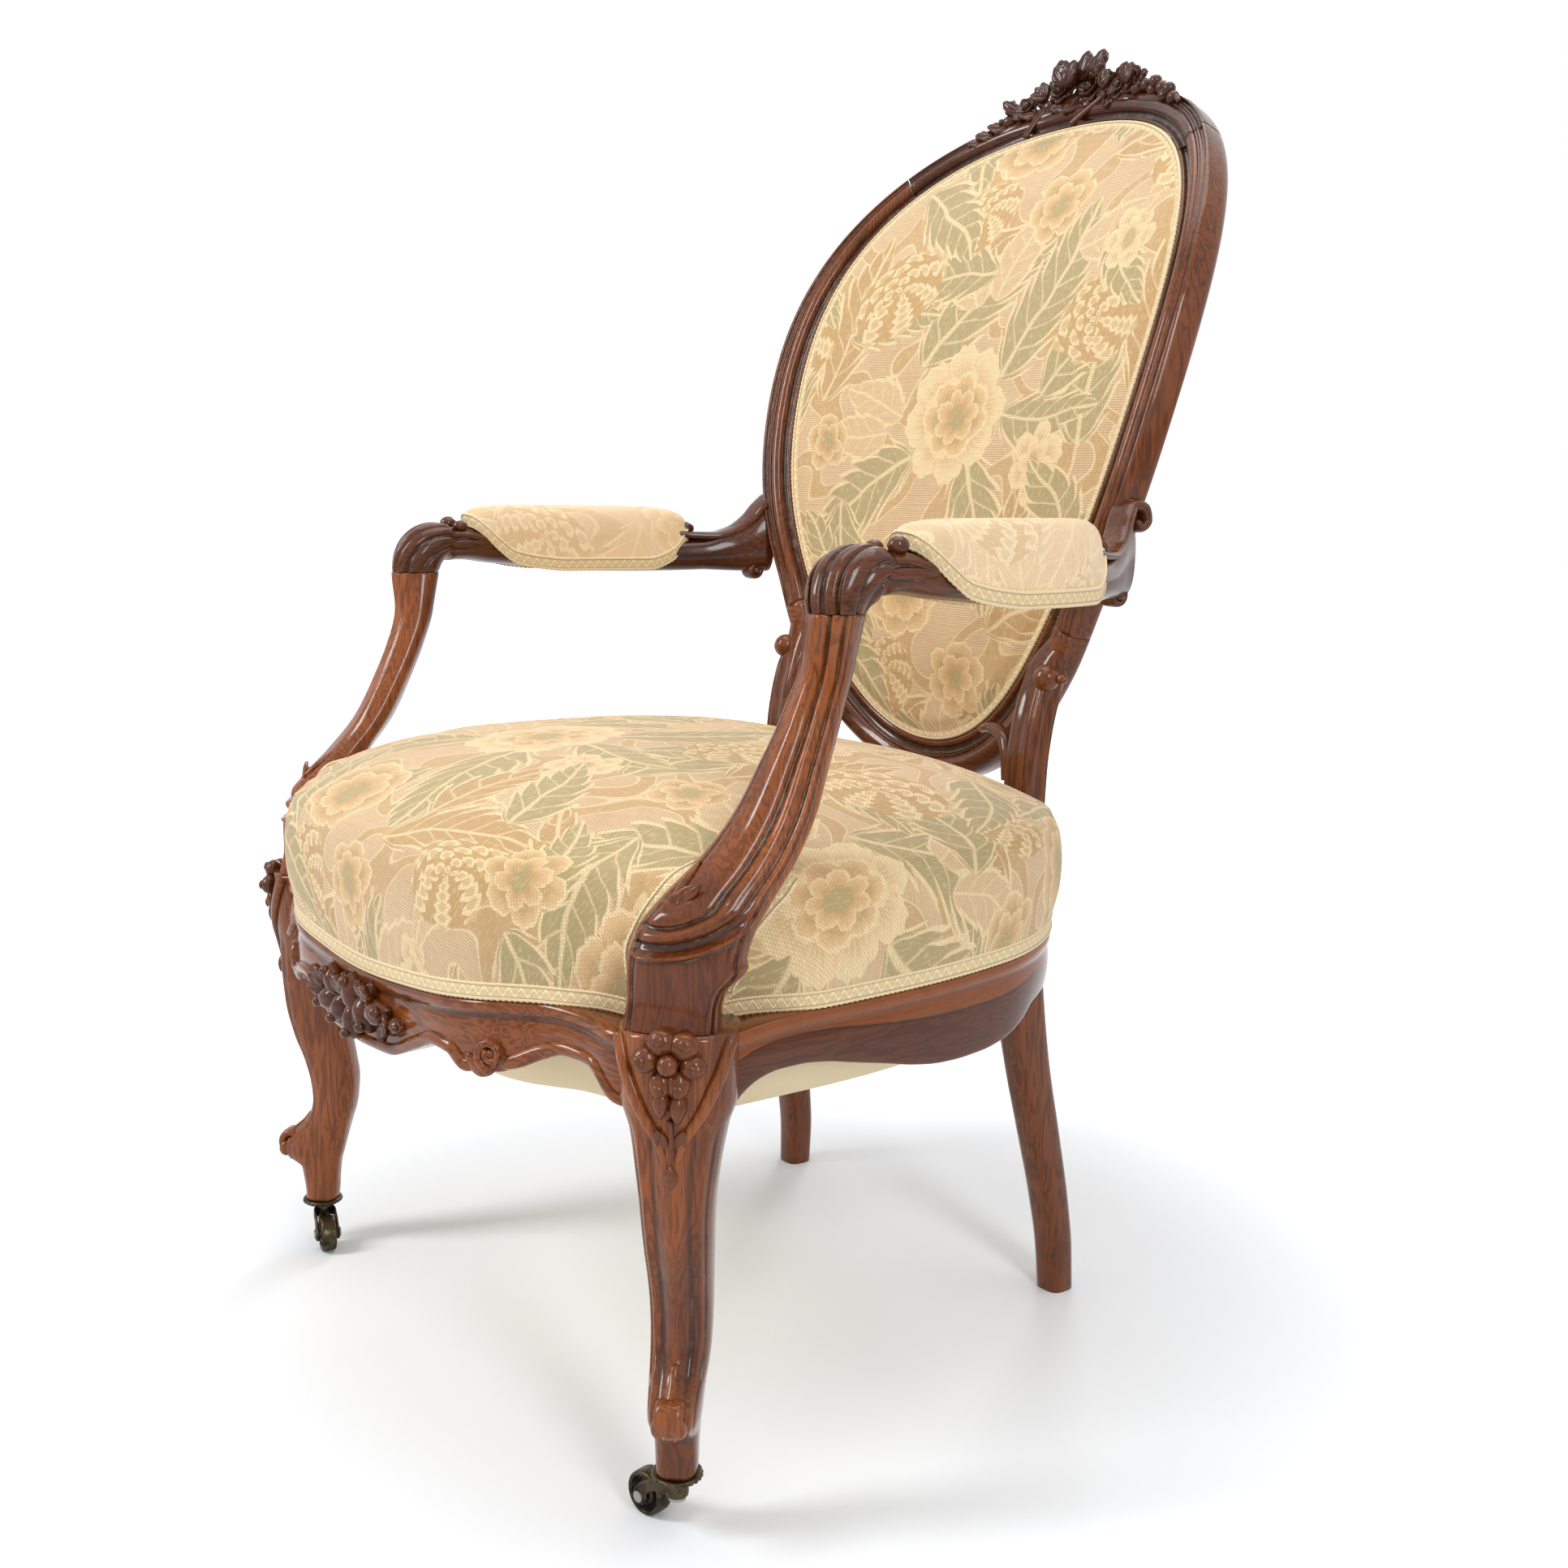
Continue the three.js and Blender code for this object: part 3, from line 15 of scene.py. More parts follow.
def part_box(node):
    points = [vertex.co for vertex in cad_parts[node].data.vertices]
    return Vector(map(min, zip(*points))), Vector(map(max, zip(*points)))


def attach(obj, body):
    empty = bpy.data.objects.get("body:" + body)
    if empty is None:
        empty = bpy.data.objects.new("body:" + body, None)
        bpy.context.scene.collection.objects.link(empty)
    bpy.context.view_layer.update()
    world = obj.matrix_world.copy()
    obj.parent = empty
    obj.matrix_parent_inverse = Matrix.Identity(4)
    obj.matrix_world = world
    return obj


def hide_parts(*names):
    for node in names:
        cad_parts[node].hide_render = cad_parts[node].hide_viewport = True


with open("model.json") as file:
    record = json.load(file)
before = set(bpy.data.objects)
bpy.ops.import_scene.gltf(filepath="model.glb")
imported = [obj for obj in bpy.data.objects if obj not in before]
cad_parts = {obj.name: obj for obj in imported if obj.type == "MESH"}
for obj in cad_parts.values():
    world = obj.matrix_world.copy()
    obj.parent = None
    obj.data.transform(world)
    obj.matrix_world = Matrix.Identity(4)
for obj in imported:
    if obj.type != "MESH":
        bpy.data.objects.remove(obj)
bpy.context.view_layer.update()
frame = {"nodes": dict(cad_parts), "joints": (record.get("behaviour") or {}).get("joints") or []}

bl_info = {
    "name": "Carved open armchair",
    "version": (1, 0, 0),
    "blender": (4, 5, 0),
    "location": "3D View > Sidebar > Armchair",
    "description": "Builds a carved and upholstered open armchair round its frame of solids",
    "category": "Add Mesh",
}

BODY = "chair"
SIDES = (("left", 1.0), ("right", -1.0))
FRONT_LEG = np.array([0.285, -0.262])
FRONT_LEG_FOOT = 0.041
plate_low, plate_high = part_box("caster_plate_left")
DRAWING_SHIFT = (plate_low.y + plate_high.y) / 2 - FRONT_LEG[1]

# Seat plan and levels
SEAT_HALF_WIDTH = 0.313
SEAT_FRONT = -0.3475
SEAT_BACK = 0.1695
SEAT_MIDDLE = -0.090
RAIL_TOP = 0.347
SEAT_BACK_RISE = 0.005
FRONT_DIP = 0.0135
RAIL_THICKNESS = 0.026
APRON_DROP = 0.071
BRAID_WIDTH = 0.012

# Oval back
BACK_CENTRE = 0.7365
BACK_FACE = 0.2595
BACK_SLOPE = math.tan(math.radians(16.75))
BACK_SWEEP = 1.157
BACK_HOLLOW = 0.500
FRAME_WIDTH = 0.030
FRAME_DEPTH = 0.028
BOTTOM_EXTRA = 0.007
CREST_JOINT = math.radians(35)
POST_JOINT = math.radians(134)
OVAL_SERIES = (0.245, 0.0206, 0.0334, -0.0124, 0.0, -0.0047)

# Stiles, legs and arms
STILE = np.array([0.162, 0.168])
BACK_FOOT = np.array([0.183, 0.209])
ARM_X = 0.300
ARM_FRONT = -0.150
SUPPORT_HEIGHT = 0.2585
ARM_JOINT = RAIL_TOP + SUPPORT_HEIGHT
PAD_CROWN = 0.061
PAD_LENGTH = 0.226
PAD_HALF_WIDTH = 0.029
PAD_START = ARM_FRONT + 0.052

# Seat upholstery
CUSHION_SIDE = 0.092
CUSHION_CROWN = 0.050
CUSHION_BULGE = 0.009
CORNER_INSET = 0.032
CORNER_REACH = 0.072
BACK_PAD_BULGE = 0.030
UP = np.array([0.0, 0.0, 1.0])


# ---------------------------------------------------------------- tables and curves


def smooth_table(rows, at):
    """Reads a table of [place, value, ...] rows at many places.

    Between rows it follows a cubic Hermite piece whose slopes are the harmonic means of the
    neighbouring chords, so the curve never overshoots the table's own values."""
    rows = np.asarray(rows, float)
    x, y = rows[:, 0], rows[:, 1:]
    step = np.diff(x)[:, None]
    chord = np.diff(y, axis=0) / step
    product = chord[:-1] * chord[1:]
    total = chord[:-1] + chord[1:]
    middle = np.where(product > 0, 2 * product / np.where(total == 0, 1, total), 0)
    slope = np.concatenate([chord[:1], middle, chord[-1:]])
    at = np.clip(np.asarray(at, float), x[0], x[-1])
    i = np.clip(np.searchsorted(x, at, side="right") - 1, 0, len(x) - 2)
    h = step[i]
    t = ((at - x[i])[:, None]) / h
    value = (
        (2 * t**3 - 3 * t**2 + 1) * y[i]
        + (t**3 - 2 * t**2 + t) * h * slope[i]
        + (3 * t**2 - 2 * t**3) * y[i + 1]
        + (t**3 - t**2) * h * slope[i + 1]
    )
    return value[:, 0] if value.shape[1] == 1 else value


def superellipse(half_a, half_b, count, squareness=2.6):
    """Section points a = A sgn(cos t)|cos t|^(2/q), b = B sgn(sin t)|sin t|^(2/q), t once round.

    half_a and half_b are arrays of one value a ring; the result has shape (rings, count, 2)."""
    turn = 2 * np.pi * (np.arange(count) + 0.5) / count
    c, s = np.cos(turn), np.sin(turn)
    power = 2 / squareness
    a = np.sign(c) * np.abs(c) ** power
    b = np.sign(s) * np.abs(s) ** power
    half_a, half_b = np.atleast_1d(half_a)[:, None], np.atleast_1d(half_b)[:, None]
    return np.stack([half_a * a, half_b * b], -1)


def unit(vectors):
    return vectors / np.maximum(np.linalg.norm(vectors, axis=-1, keepdims=True), 1e-12)


def place(centres, across, out, section):
    """Ring points: centre + a times across + b times out, for each section point (a, b)."""
    return (
        centres[:, None, :]
        + section[..., :1] * across[:, None, :]
        + section[..., 1:2] * out[:, None, :]
    )


def along_path(points, closed=False):
    """Unit tangents of a path by central differences."""
    if closed:
        return unit(np.roll(points, -1, 0) - np.roll(points, 1, 0))
    return unit(np.gradient(points, axis=0))


def bump(distance, width):
    """A smooth hump: exp(-(distance / width) squared)."""
    return np.exp(-((distance / width) ** 2))


# ---------------------------------------------------------------- meshes


def cavity(points, wrap, reach=(1, 2, 4)):
    """How deep each grid point lies below the mean of its neighbours, from -1 on edges to 1 in hollows.

    For each reach k the mean of the four points k cells away is compared with the point along the
    surface's normal, and divided by their distance."""
    rows = np.arange(len(points))
    if wrap:
        left = lambda k: np.roll(points, k, 1)
        right = lambda k: np.roll(points, -k, 1)
    else:
        columns = np.arange(points.shape[1])
        left = lambda k: points[:, np.clip(columns - k, 0, columns[-1])]
        right = lambda k: points[:, np.clip(columns + k, 0, columns[-1])]
    low = lambda k: points[np.clip(rows - k, 0, rows[-1])]
    high = lambda k: points[np.clip(rows + k, 0, rows[-1])]
    normal = unit(np.cross(right(1) - left(1), high(1) - low(1)))
    total = 0
    for k in reach:
        for first, second in ((left(k), right(k)), (low(k), high(k))):
            spread = np.linalg.norm(second - first, axis=-1) + 1e-5
            lift = (((first + second) / 2 - points) * normal).sum(-1)
            total = total + lift / spread
    return np.clip(total * 1.6, -1, 1)


def shell(points, wrap=True, caps=True, uv=None, tone=0.0, turn=None):
    """One grid of points with how it closes: wrap joins its last column to the first."""
    return {
        "points": np.asarray(points, float),
        "wrap": wrap,
        "caps": caps and wrap,
        "uv": uv,
        "tone": tone,
        "turn": turn,
    }


def mirror_shell(one):
    """The same shell on the other side of the middle plane."""
    other = dict(one)
    other["points"] = one["points"] * np.array([-1.0, 1.0, 1.0])
    if one["turn"] is not None:
        other["turn"] = not one["turn"]
    return other


def shell_faces(one, start):
    """Vertices, faces, face corners' UVs, relief and tone of one shell, its faces turned outward."""
    points = one["points"]
    rows, columns = points.shape[:2]
    index = start + np.arange(rows * columns).reshape(rows, columns)
    spans = columns if one["wrap"] else columns - 1
    j = np.arange(spans)
    k = (j + 1) % columns
    quads = np.stack(
        [index[:-1][:, j], index[:-1][:, k], index[1:][:, k], index[1:][:, j]], -1
    )
    uv = one["uv"]
    if uv is None:
        around = np.linspace(0, 1, spans + 1)[None, :].repeat(rows, 0)
        length = np.linspace(0, 1, rows)[:, None].repeat(spans + 1, 1)
        uv = np.stack([around, length], -1)
    corners = np.stack(
        [uv[:-1, :-1], uv[:-1, 1:], uv[1:, 1:], uv[1:, :-1]], 2
    )
    relief = cavity(points, one["wrap"])
    vertices = points.reshape(-1, 3)
    tone = np.broadcast_to(np.asarray(one["tone"], float), (rows, columns)).reshape(-1)
    quads, corners = quads.reshape(-1, 4), corners.reshape(-1, 4, 2)
    triangles, triangle_uv = np.zeros((0, 3), int), np.zeros((0, 3, 2))
    relief = relief.reshape(-1)
    if one["caps"]:
        hubs = points[[0, -1]].mean(1)
        first, last = start + len(vertices), start + len(vertices) + 1
        vertices = np.concatenate([vertices, hubs])
        ring, nxt = np.arange(columns), (np.arange(columns) + 1) % columns
        low = np.stack([index[0][nxt], index[0][ring], np.full(columns, first)], -1)
        high = np.stack([index[-1][ring], index[-1][nxt], np.full(columns, last)], -1)
        triangles = np.concatenate([low, high])
        triangle_uv = np.zeros((len(triangles), 3, 2))
        relief = np.concatenate([relief, [0.0, 0.0]])
        tone = np.concatenate([tone, tone[[0, -1]]])
    inside_out = one["turn"]
    if inside_out is None:
        a, b, c, d = (points.reshape(-1, 3)[quads[:, m] - start] for m in range(4))
        volume = (a * np.cross(b, c)).sum() + (a * np.cross(c, d)).sum()
        if one["caps"]:
            p, q, r = (vertices[triangles[:, m] - start] for m in range(3))
            volume += (p * np.cross(q, r)).sum()
        inside_out = volume < 0
    if inside_out:
        quads, corners = quads[:, ::-1], corners[:, ::-1]
        triangles, triangle_uv = triangles[:, ::-1], triangle_uv[:, ::-1]
        relief = -relief
    return vertices, quads, corners, triangles, triangle_uv, relief, tone


def build(name, shells, material, replaced=(), body=BODY, shift=True, smooth=True):
    """One object from its shells, at the origin, riding a body and standing for its CAD nodes."""
    vertices, polygons, uvs, reliefs, tones = [], [], [], [], []
    start = 0
    for one in shells:
        v, quads, corners, triangles, triangle_uv, relief, tone = shell_faces(one, start)
        vertices.append(v)
        polygons.append((quads, corners))
        if len(triangles):
            polygons.append((triangles, triangle_uv))
        reliefs.append(relief)
        tones.append(tone)
        start += len(v)
    co = np.concatenate(vertices)
    if shift:
        co = co + np.array([0, DRAWING_SHIFT, 0])
    mesh = bpy.data.meshes.new(name)
    mesh.vertices.add(len(co))
    mesh.vertices.foreach_set("co", co.astype(np.float32).ravel())
    sizes = np.concatenate([np.full(len(f), f.shape[1]) for f, _ in polygons])
    loops = np.concatenate([f.ravel() for f, _ in polygons])
    mesh.loops.add(len(loops))
    mesh.loops.foreach_set("vertex_index", loops.astype(np.int32))
    mesh.polygons.add(len(sizes))
    starts = np.concatenate([[0], np.cumsum(sizes)[:-1]])
    mesh.polygons.foreach_set("loop_start", starts.astype(np.int32))
    mesh.polygons.foreach_set("loop_total", sizes.astype(np.int32))
    mesh.polygons.foreach_set("use_smooth", np.full(len(sizes), smooth))
    layer = mesh.uv_layers.new(name="UVMap")
    flat = np.concatenate([c.reshape(-1, 2) for _, c in polygons])
    layer.data.foreach_set("uv", flat.astype(np.float32).ravel())
    for title, values in (("relief", reliefs), ("tone", tones)):
        data = mesh.attributes.new(title, "FLOAT", "POINT")
        data.data.foreach_set("value", np.concatenate(values).astype(np.float32))
    mesh.update()
    mesh.validate()
    piece = bpy.data.objects.new(name, mesh)
    bpy.context.scene.collection.objects.link(piece)
    mesh.materials.append(material)
    if replaced:
        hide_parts(*replaced)
    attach(piece, body)
    return piece


# ---------------------------------------------------------------- the chair's own curves

SEAT_PLAN = np.array([
    [0, 0], [0.19, 0.004], [0.367, 0.01], [0.479, 0.029], [0.55, 0.054], [0.623, 0.081],
    [0.719, 0.097], [0.837, 0.104], [0.946, 0.145], [0.984, 0.228], [0.997, 0.373], [1, 0.518],
    [0.984, 0.634], [0.949, 0.737], [0.869, 0.834], [0.757, 0.911], [0.629, 0.965],
    [0.447, 0.996], [0.224, 1], [0, 1],
])
PLAN_KNOTS = len(SEAT_PLAN) - 1


def seat_plan(knots):
    """Point, outward normal and rail top of the seat's outline at knot numbers.

    The outline is the uniform Catmull-Rom curve through the plan's points and their mirror images;
    the normal is its tangent turned a quarter; the rail's top dips by half a cosine at the front
    and by 11 mm exp(-(d / 45 mm)^2) at a distance d from a front leg."""
    half = SEAT_PLAN * [SEAT_HALF_WIDTH, SEAT_BACK - SEAT_FRONT] + [0, SEAT_FRONT]
    points = np.concatenate([half, half[-2:0:-1] * [-1, 1]])
    n = len(points)
    k = np.asarray(knots, float) % n
    i = np.floor(k).astype(int)
    u = (k - i)[:, None]
    p0, p1, p2, p3 = (points[(i + m) % n] for m in (-1, 0, 1, 2))
    spot = 0.5 * (
        2 * p1 + (p2 - p0) * u + (2 * p0 - 5 * p1 + 4 * p2 - p3) * u**2
        + (3 * p1 - p0 - 3 * p2 + p3) * u**3
    )
    way = unit(
        (p2 - p0) + 2 * (2 * p0 - 5 * p1 + 4 * p2 - p3) * u
        + 3 * (3 * p1 - p0 - 3 * p2 + p3) * u**2
    )
    outward = np.stack([way[:, 1], -way[:, 0]], -1)
    nearness = np.minimum(np.abs(spot[:, 0]) / (0.7 * SEAT_HALF_WIDTH), 1)
    dip = np.where(spot[:, 1] < SEAT_MIDDLE, FRONT_DIP * (1 + np.cos(np.pi * nearness)) / 2, 0)
    corner = np.hypot(np.abs(spot[:, 0]) - FRONT_LEG[0], spot[:, 1] - FRONT_LEG[1])
    dip = dip + 0.011 * np.exp(-((corner / 0.045) ** 2))
    rise = SEAT_BACK_RISE * depth_share(spot[:, 1])
    return spot, outward, RAIL_TOP + rise - dip


def depth_share(y):
    return (y - SEAT_FRONT) / (SEAT_BACK - SEAT_FRONT)


def plan_point(spot, outward, outset, z):
    flat = spot + outward * np.broadcast_to(outset, (len(spot),))[:, None]
    return np.column_stack([flat, np.broadcast_to(z, (len(spot),))])


def oval_edge(angle):
    """Polar outline r = sum of c_k cos(k angle), measured from the top: x = r sin, z = r cos."""
    r = sum(c * np.cos(k * angle) for k, c in enumerate(OVAL_SERIES))
    return r * np.sin(angle), r * np.cos(angle)


def back_place(x, z, depth):
    """Point of the back: y = face + slope rise + rise^2 / 2 sweep - x^2 / 2 hollow, moved along the normal."""
    rise = z - BACK_CENTRE
    y = BACK_FACE + BACK_SLOPE * rise + rise**2 / (2 * BACK_SWEEP) - x**2 / (2 * BACK_HOLLOW)
    slope = BACK_SLOPE + rise / BACK_SWEEP
    normal = unit(np.stack([x / BACK_HOLLOW, np.ones_like(x), -slope], -1))
    return np.stack([x, y, z], -1) + normal * np.asarray(depth)[..., None]


def oval_place(angle, outset, depth):
    """A point set outward from the oval's edge in its plane, and back from its face."""
    small = math.radians(1)
    x, z = oval_edge(angle)
    xa, za = oval_edge(angle + small)
    xb, zb = oval_edge(angle - small)
    along = unit(np.stack([xa - xb, za - zb], -1))
    x2 = x - along[..., 1] * outset
    z2 = BACK_CENTRE + z + along[..., 0] * outset
    return back_place(x2, z2, depth * np.ones_like(x2))


# Moulding of the oval frame in millimetres: distance round the section, outset, depth from the face
FRAME_FRONT = np.array([
    [0, 2.4], [0.1, 0.4], [0.9, -0.9], [2.1, -1.0], [2.9, 0.2], [3.6, 2.2], [5.4, 3.6], [7.4, 3.0],
    [8.8, 0.9], [9.4, -0.5], [9.9, 0.3], [10.4, -0.9], [12.2, -2.6], [14.6, -3.3], [17, -2.8],
    [18.9, -1.2], [19.6, 0.4], [20.1, -0.4], [20.9, -1.0], [21.7, -0.3], [22.1, 0.6], [22.7, -0.3],
    [23.4, -0.4], [24.0, 0.6], [24.9, 2.4], [26.2, 2.9], [27.2, 1.6], [28.3, 0.9], [29.5, 2.0],
    [30.1, 4.4],
])
FRAME_BOTTOM = np.array([
    [0, 2.4], [0.1, 0.6], [1.2, -0.8], [3.0, -1.2], [5.0, -0.4], [6.2, 1.4], [8.0, 2.9], [10.2, 3.2],
    [12.4, 2.4], [14.2, 0.6], [14.9, 0.2], [15.3, 1.4], [15.9, 0.4], [17.6, -1.8], [20.4, -3.2],
    [23.6, -4.0], [26.8, -4.1], [29.6, -3.5], [31.8, -2.5], [33.2, -1.4], [34.2, -0.4], [34.9, 0.5],
    [35.4, 1.3], [35.8, 2.1], [36.1, 3.0], [36.4, 4.0], [36.6, 5.0], [36.8, 6.0], [36.9, 7.2], [37, 8.4],
])
FRAME_REAR = np.array([
    [1.0, 0.32], [1.0, 0.55], [0.97, 0.74], [0.9, 0.87], [0.78, 0.95], [0.6, 1.0], [0.4, 1.0],
    [0.2, 0.99], [0.06, 0.95], [0.01, 0.86], [0, 0.6], [0, 0.3],
])


def frame_section(lowness):
    """Outsets and depths round the moulding, from the plain profile to the broad bottom one."""
    weight = np.clip(lowness, 0, 1)[:, None, None]
    steps = np.linspace(0, len(FRAME_FRONT) - 1, 88)
    knots = np.arange(len(FRAME_FRONT))[:, None]
    side = smooth_table(np.hstack([knots, FRAME_FRONT]), steps)
    low = smooth_table(np.hstack([knots, FRAME_BOTTOM]), steps)
    front = ((1 - weight) * side + weight * low) / 1000
    width = FRAME_WIDTH + BOTTOM_EXTRA * weight[..., 0]
    rear_steps = np.linspace(0, len(FRAME_REAR) - 1, 26)
    rear = smooth_table(np.hstack([np.arange(len(FRAME_REAR))[:, None], FRAME_REAR]), rear_steps)
    rear = np.stack([rear[None, :, 0] * width, rear[None, :, 1] * FRAME_DEPTH + 0 * width], -1)
    return np.concatenate([front, rear], 1)


def frame_arc(start, end, steps, thin=0.0):
    """The oval frame from one angle to another as one shell."""
    angle = np.linspace(start, end, steps)
    turned = np.abs(np.angle(np.exp(1j * angle)))
    lowness = smooth_table([[0, 0], [2.15, 0], [2.5, 1], [3.2, 1]], turned)
    section = frame_section(lowness)
    outset = 0.0003 + section[..., 0]
    points = oval_place(angle[:, None] + 0 * outset, outset, section[..., 1] + thin)
    return shell(points)


# ---------------------------------------------------------------- wood shells


def ellipsoid(centre, sizes, across, up, rings=14, sides=20, pinch=0.0):
    """A closed ellipsoid: latitude from pole to pole along out = across x up, longitude round it.

    pinch draws one side of it to a point, as on a bud or petal."""
    across, up = unit(np.asarray(across, float)), unit(np.asarray(up, float))
    out = np.cross(across, up)
    lat = np.linspace(0.02, np.pi - 0.02, rings)[:, None]
    lon = 2 * np.pi * np.arange(sides)[None, :] / sides
    x, y, z = np.sin(lat) * np.cos(lon), np.sin(lat) * np.sin(lon), np.cos(lat) + 0 * lon
    x = x * (1 - pinch * np.clip(y, 0, 1))
    points = (
        np.asarray(centre, float)
        + sizes[0] * x[..., None] * across
        + sizes[1] * y[..., None] * up
        + sizes[2] * z[..., None] * out
    )
    return shell(points)


def leaf(base, way, out, length, width, thickness, lobes=3, curl=0.3, cup=0.25, bend=0.0):
    """A carved leaf or petal as a closed shell.

    Along u in 0..1 the half width is width * sin(pi u^0.8)^0.7, notched by lobes cosines; the midrib
    lifts by curl * length * u^2, the edges by cup * width * v^2, and the tip swings sideways by bend."""
    way, out = unit(np.asarray(way, float)), np.asarray(out, float)
    side = unit(np.cross(way, out))
    out = np.cross(side, way)
    u = np.linspace(0.0, 1.0, 16)[:, None]
    v = np.linspace(-1, 1, 11)[None, :]
    notch = 1 - 0.24 * (0.5 + 0.5 * np.cos(2 * np.pi * lobes * u)) * (lobes > 0)
    half = width * np.maximum(np.sin(np.pi * np.clip(u, 0.03, 0.985) ** 0.8), 0.02) ** 0.7 * notch
    rib = 0.16 * thickness * np.cos(3 * np.pi * v)
    lift = curl * length * u**2 + cup * width * v**2 * np.sin(np.pi * u) + rib
    spine = bend * length * u**2
    upper = (
        np.asarray(base, float)
        + (length * u)[..., None] * way
        + (half * v + spine)[..., None] * side
        + (lift + thickness * (1 - v**2) * np.sin(np.pi * np.clip(u, 0.1, 1)) ** 0.5)[..., None] * out
    )
    lower = (
        np.asarray(base, float)
        + (length * u)[..., None] * way
        + (half * v * 0.98 + spine)[..., None] * side
        + (lift - thickness)[..., None] * out
    )
    return shell(np.concatenate([upper, lower[:, ::-1]], 1))


def tube(path, radius, face=None, flat=1.0, sides=12, closed=False, squareness=2.0):
    """A bar along a path: at each point a section of the given radius, squashed by flat along face."""
    path = np.asarray(path, float)
    radius = np.broadcast_to(np.asarray(radius, float), (len(path),))
    way = along_path(path, closed)
    if face is None:
        face = np.cross(way, UP)
        face = np.where(np.linalg.norm(face, axis=1, keepdims=True) < 0.1, [[1.0, 0, 0]], face)
    face = np.broadcast_to(np.asarray(face, float), path.shape)
    side = unit(np.cross(face, way))
    out = np.cross(way, side)
    section = superellipse(radius, radius * flat, sides, squareness)
    points = place(path, side, out, section)
    if closed:
        points = np.concatenate([points, points[:1]])
    return shell(points, caps=not closed)


def volute(centre, axis_u, axis_v, start_radius, end_radius, turns, thick, width, start=0.0, hand=1.0):
    """A carved scroll: the path r = r0 (r1 / r0)^t winds round the centre in the plane of u and v.

    Its section is wide along the plane's normal, and tapers with the radius toward the eye."""
    t = np.linspace(0, 1, int(26 * turns) + 8)
    turn = start + hand * 2 * np.pi * turns * t
    radius = start_radius * (end_radius / start_radius) ** t
    axis_u, axis_v = unit(np.asarray(axis_u, float)), unit(np.asarray(axis_v, float))
    path = (
        np.asarray(centre, float)
        + (radius * np.cos(turn))[:, None] * axis_u
        + (radius * np.sin(turn))[:, None] * axis_v
    )
    normal = np.cross(axis_u, axis_v)
    size = thick * (0.45 + 0.55 * radius / start_radius)
    way = along_path(path)
    side = unit(np.cross(way, normal))
    section = superellipse(size, np.full(len(t), width / 2), 14, 3.0)
    return shell(place(path, side, np.broadcast_to(normal, path.shape), section))


# ---------------------------------------------------------------- node helpers


class Wire:
    """A value in a node tree; arithmetic on it adds Math nodes."""

    def __init__(self, tree, value):
        self.tree = tree
        self.value = value

    def math(self, operation, *others, clamp=False):
        node = self.tree.nodes.new("ShaderNodeMath")
        node.operation = operation
        node.use_clamp = clamp
        for socket, item in zip(node.inputs, (self, *others)):
            connect(self.tree, item, socket)
        return Wire(self.tree, node.outputs[0])

    def __add__(self, other):
        return self.math("ADD", other)

    def __sub__(self, other):
        return self.math("SUBTRACT", other)

    def __mul__(self, other):
        return self.math("MULTIPLY", other)

    def __truediv__(self, other):
        return self.math("DIVIDE", other)

    __radd__ = __add__
    __rmul__ = __mul__

    def __rsub__(self, other):
        return Wire(self.tree, other).math("SUBTRACT", self)

    def sin(self):
        return self.math("SINE")

    def cos(self):
        return self.math("COSINE")

    def abs(self):
        return self.math("ABSOLUTE")

    def power(self, other):
        return self.math("POWER", other)

    def least(self, other):
        return self.math("MINIMUM", other)

    def most(self, other):
        return self.math("MAXIMUM", other)

    def clamp(self):
        return self.math("ADD", 0.0, clamp=True)

    def step(self, low, high):
        """0 below low, 1 above high, smooth between."""
        node = self.tree.nodes.new("ShaderNodeMapRange")
        node.interpolation_type = "SMOOTHSTEP"
        for name, item in (("Value", self), ("From Min", low), ("From Max", high)):
            connect(self.tree, item, node.inputs[name])
        return Wire(self.tree, node.outputs[0])


def connect(tree, item, socket):
    """Links a wire or socket, or sets a plain value."""
    if isinstance(item, Wire):
        item = item.value
    if isinstance(item, bpy.types.NodeSocket):
        tree.links.new(item, socket)
    else:
        socket.default_value = item


def add_node(tree, kind, inputs=(), **settings):
    node = tree.nodes.new(kind)
    for name, value in settings.items():
        setattr(node, name, value)
    for name, item in dict(inputs).items():
        connect(tree, item, node.inputs[name])
    return node


def mix(tree, share, first, second):
    """A colour between two, as share says."""
    node = tree.nodes.new("ShaderNodeMix")
    node.data_type = "RGBA"
    for socket, item in ((node.inputs[0], share), (node.inputs[6], first), (node.inputs[7], second)):
        connect(tree, item, socket)
    return node.outputs[2]


def new_group(name, inputs, outputs):
    """A shader node group with its sockets; inputs are (name, kind, default) rows."""
    group = bpy.data.node_groups.new(name, "ShaderNodeTree")
    for title, kind, default in inputs:
        socket = group.interface.new_socket(title, in_out="INPUT", socket_type="NodeSocket" + kind)
        if default is not None:
            socket.default_value = default
    for title, kind in outputs:
        group.interface.new_socket(title, in_out="OUTPUT", socket_type="NodeSocket" + kind)
    return group, group.nodes.new("NodeGroupInput"), group.nodes.new("NodeGroupOutput")


def use_group(tree, group, inputs=()):
    node = tree.nodes.new("ShaderNodeGroup")
    node.node_tree = group
    for name, item in dict(inputs).items():
        connect(tree, item, node.inputs[name])
    return node


def linear(colour):
    """An sRGB colour as the linear values that shaders use."""
    c = np.asarray(colour[:3], float)
    return (*np.where(c <= 0.04045, c / 12.92, ((c + 0.055) / 1.055) ** 2.4), 1.0)


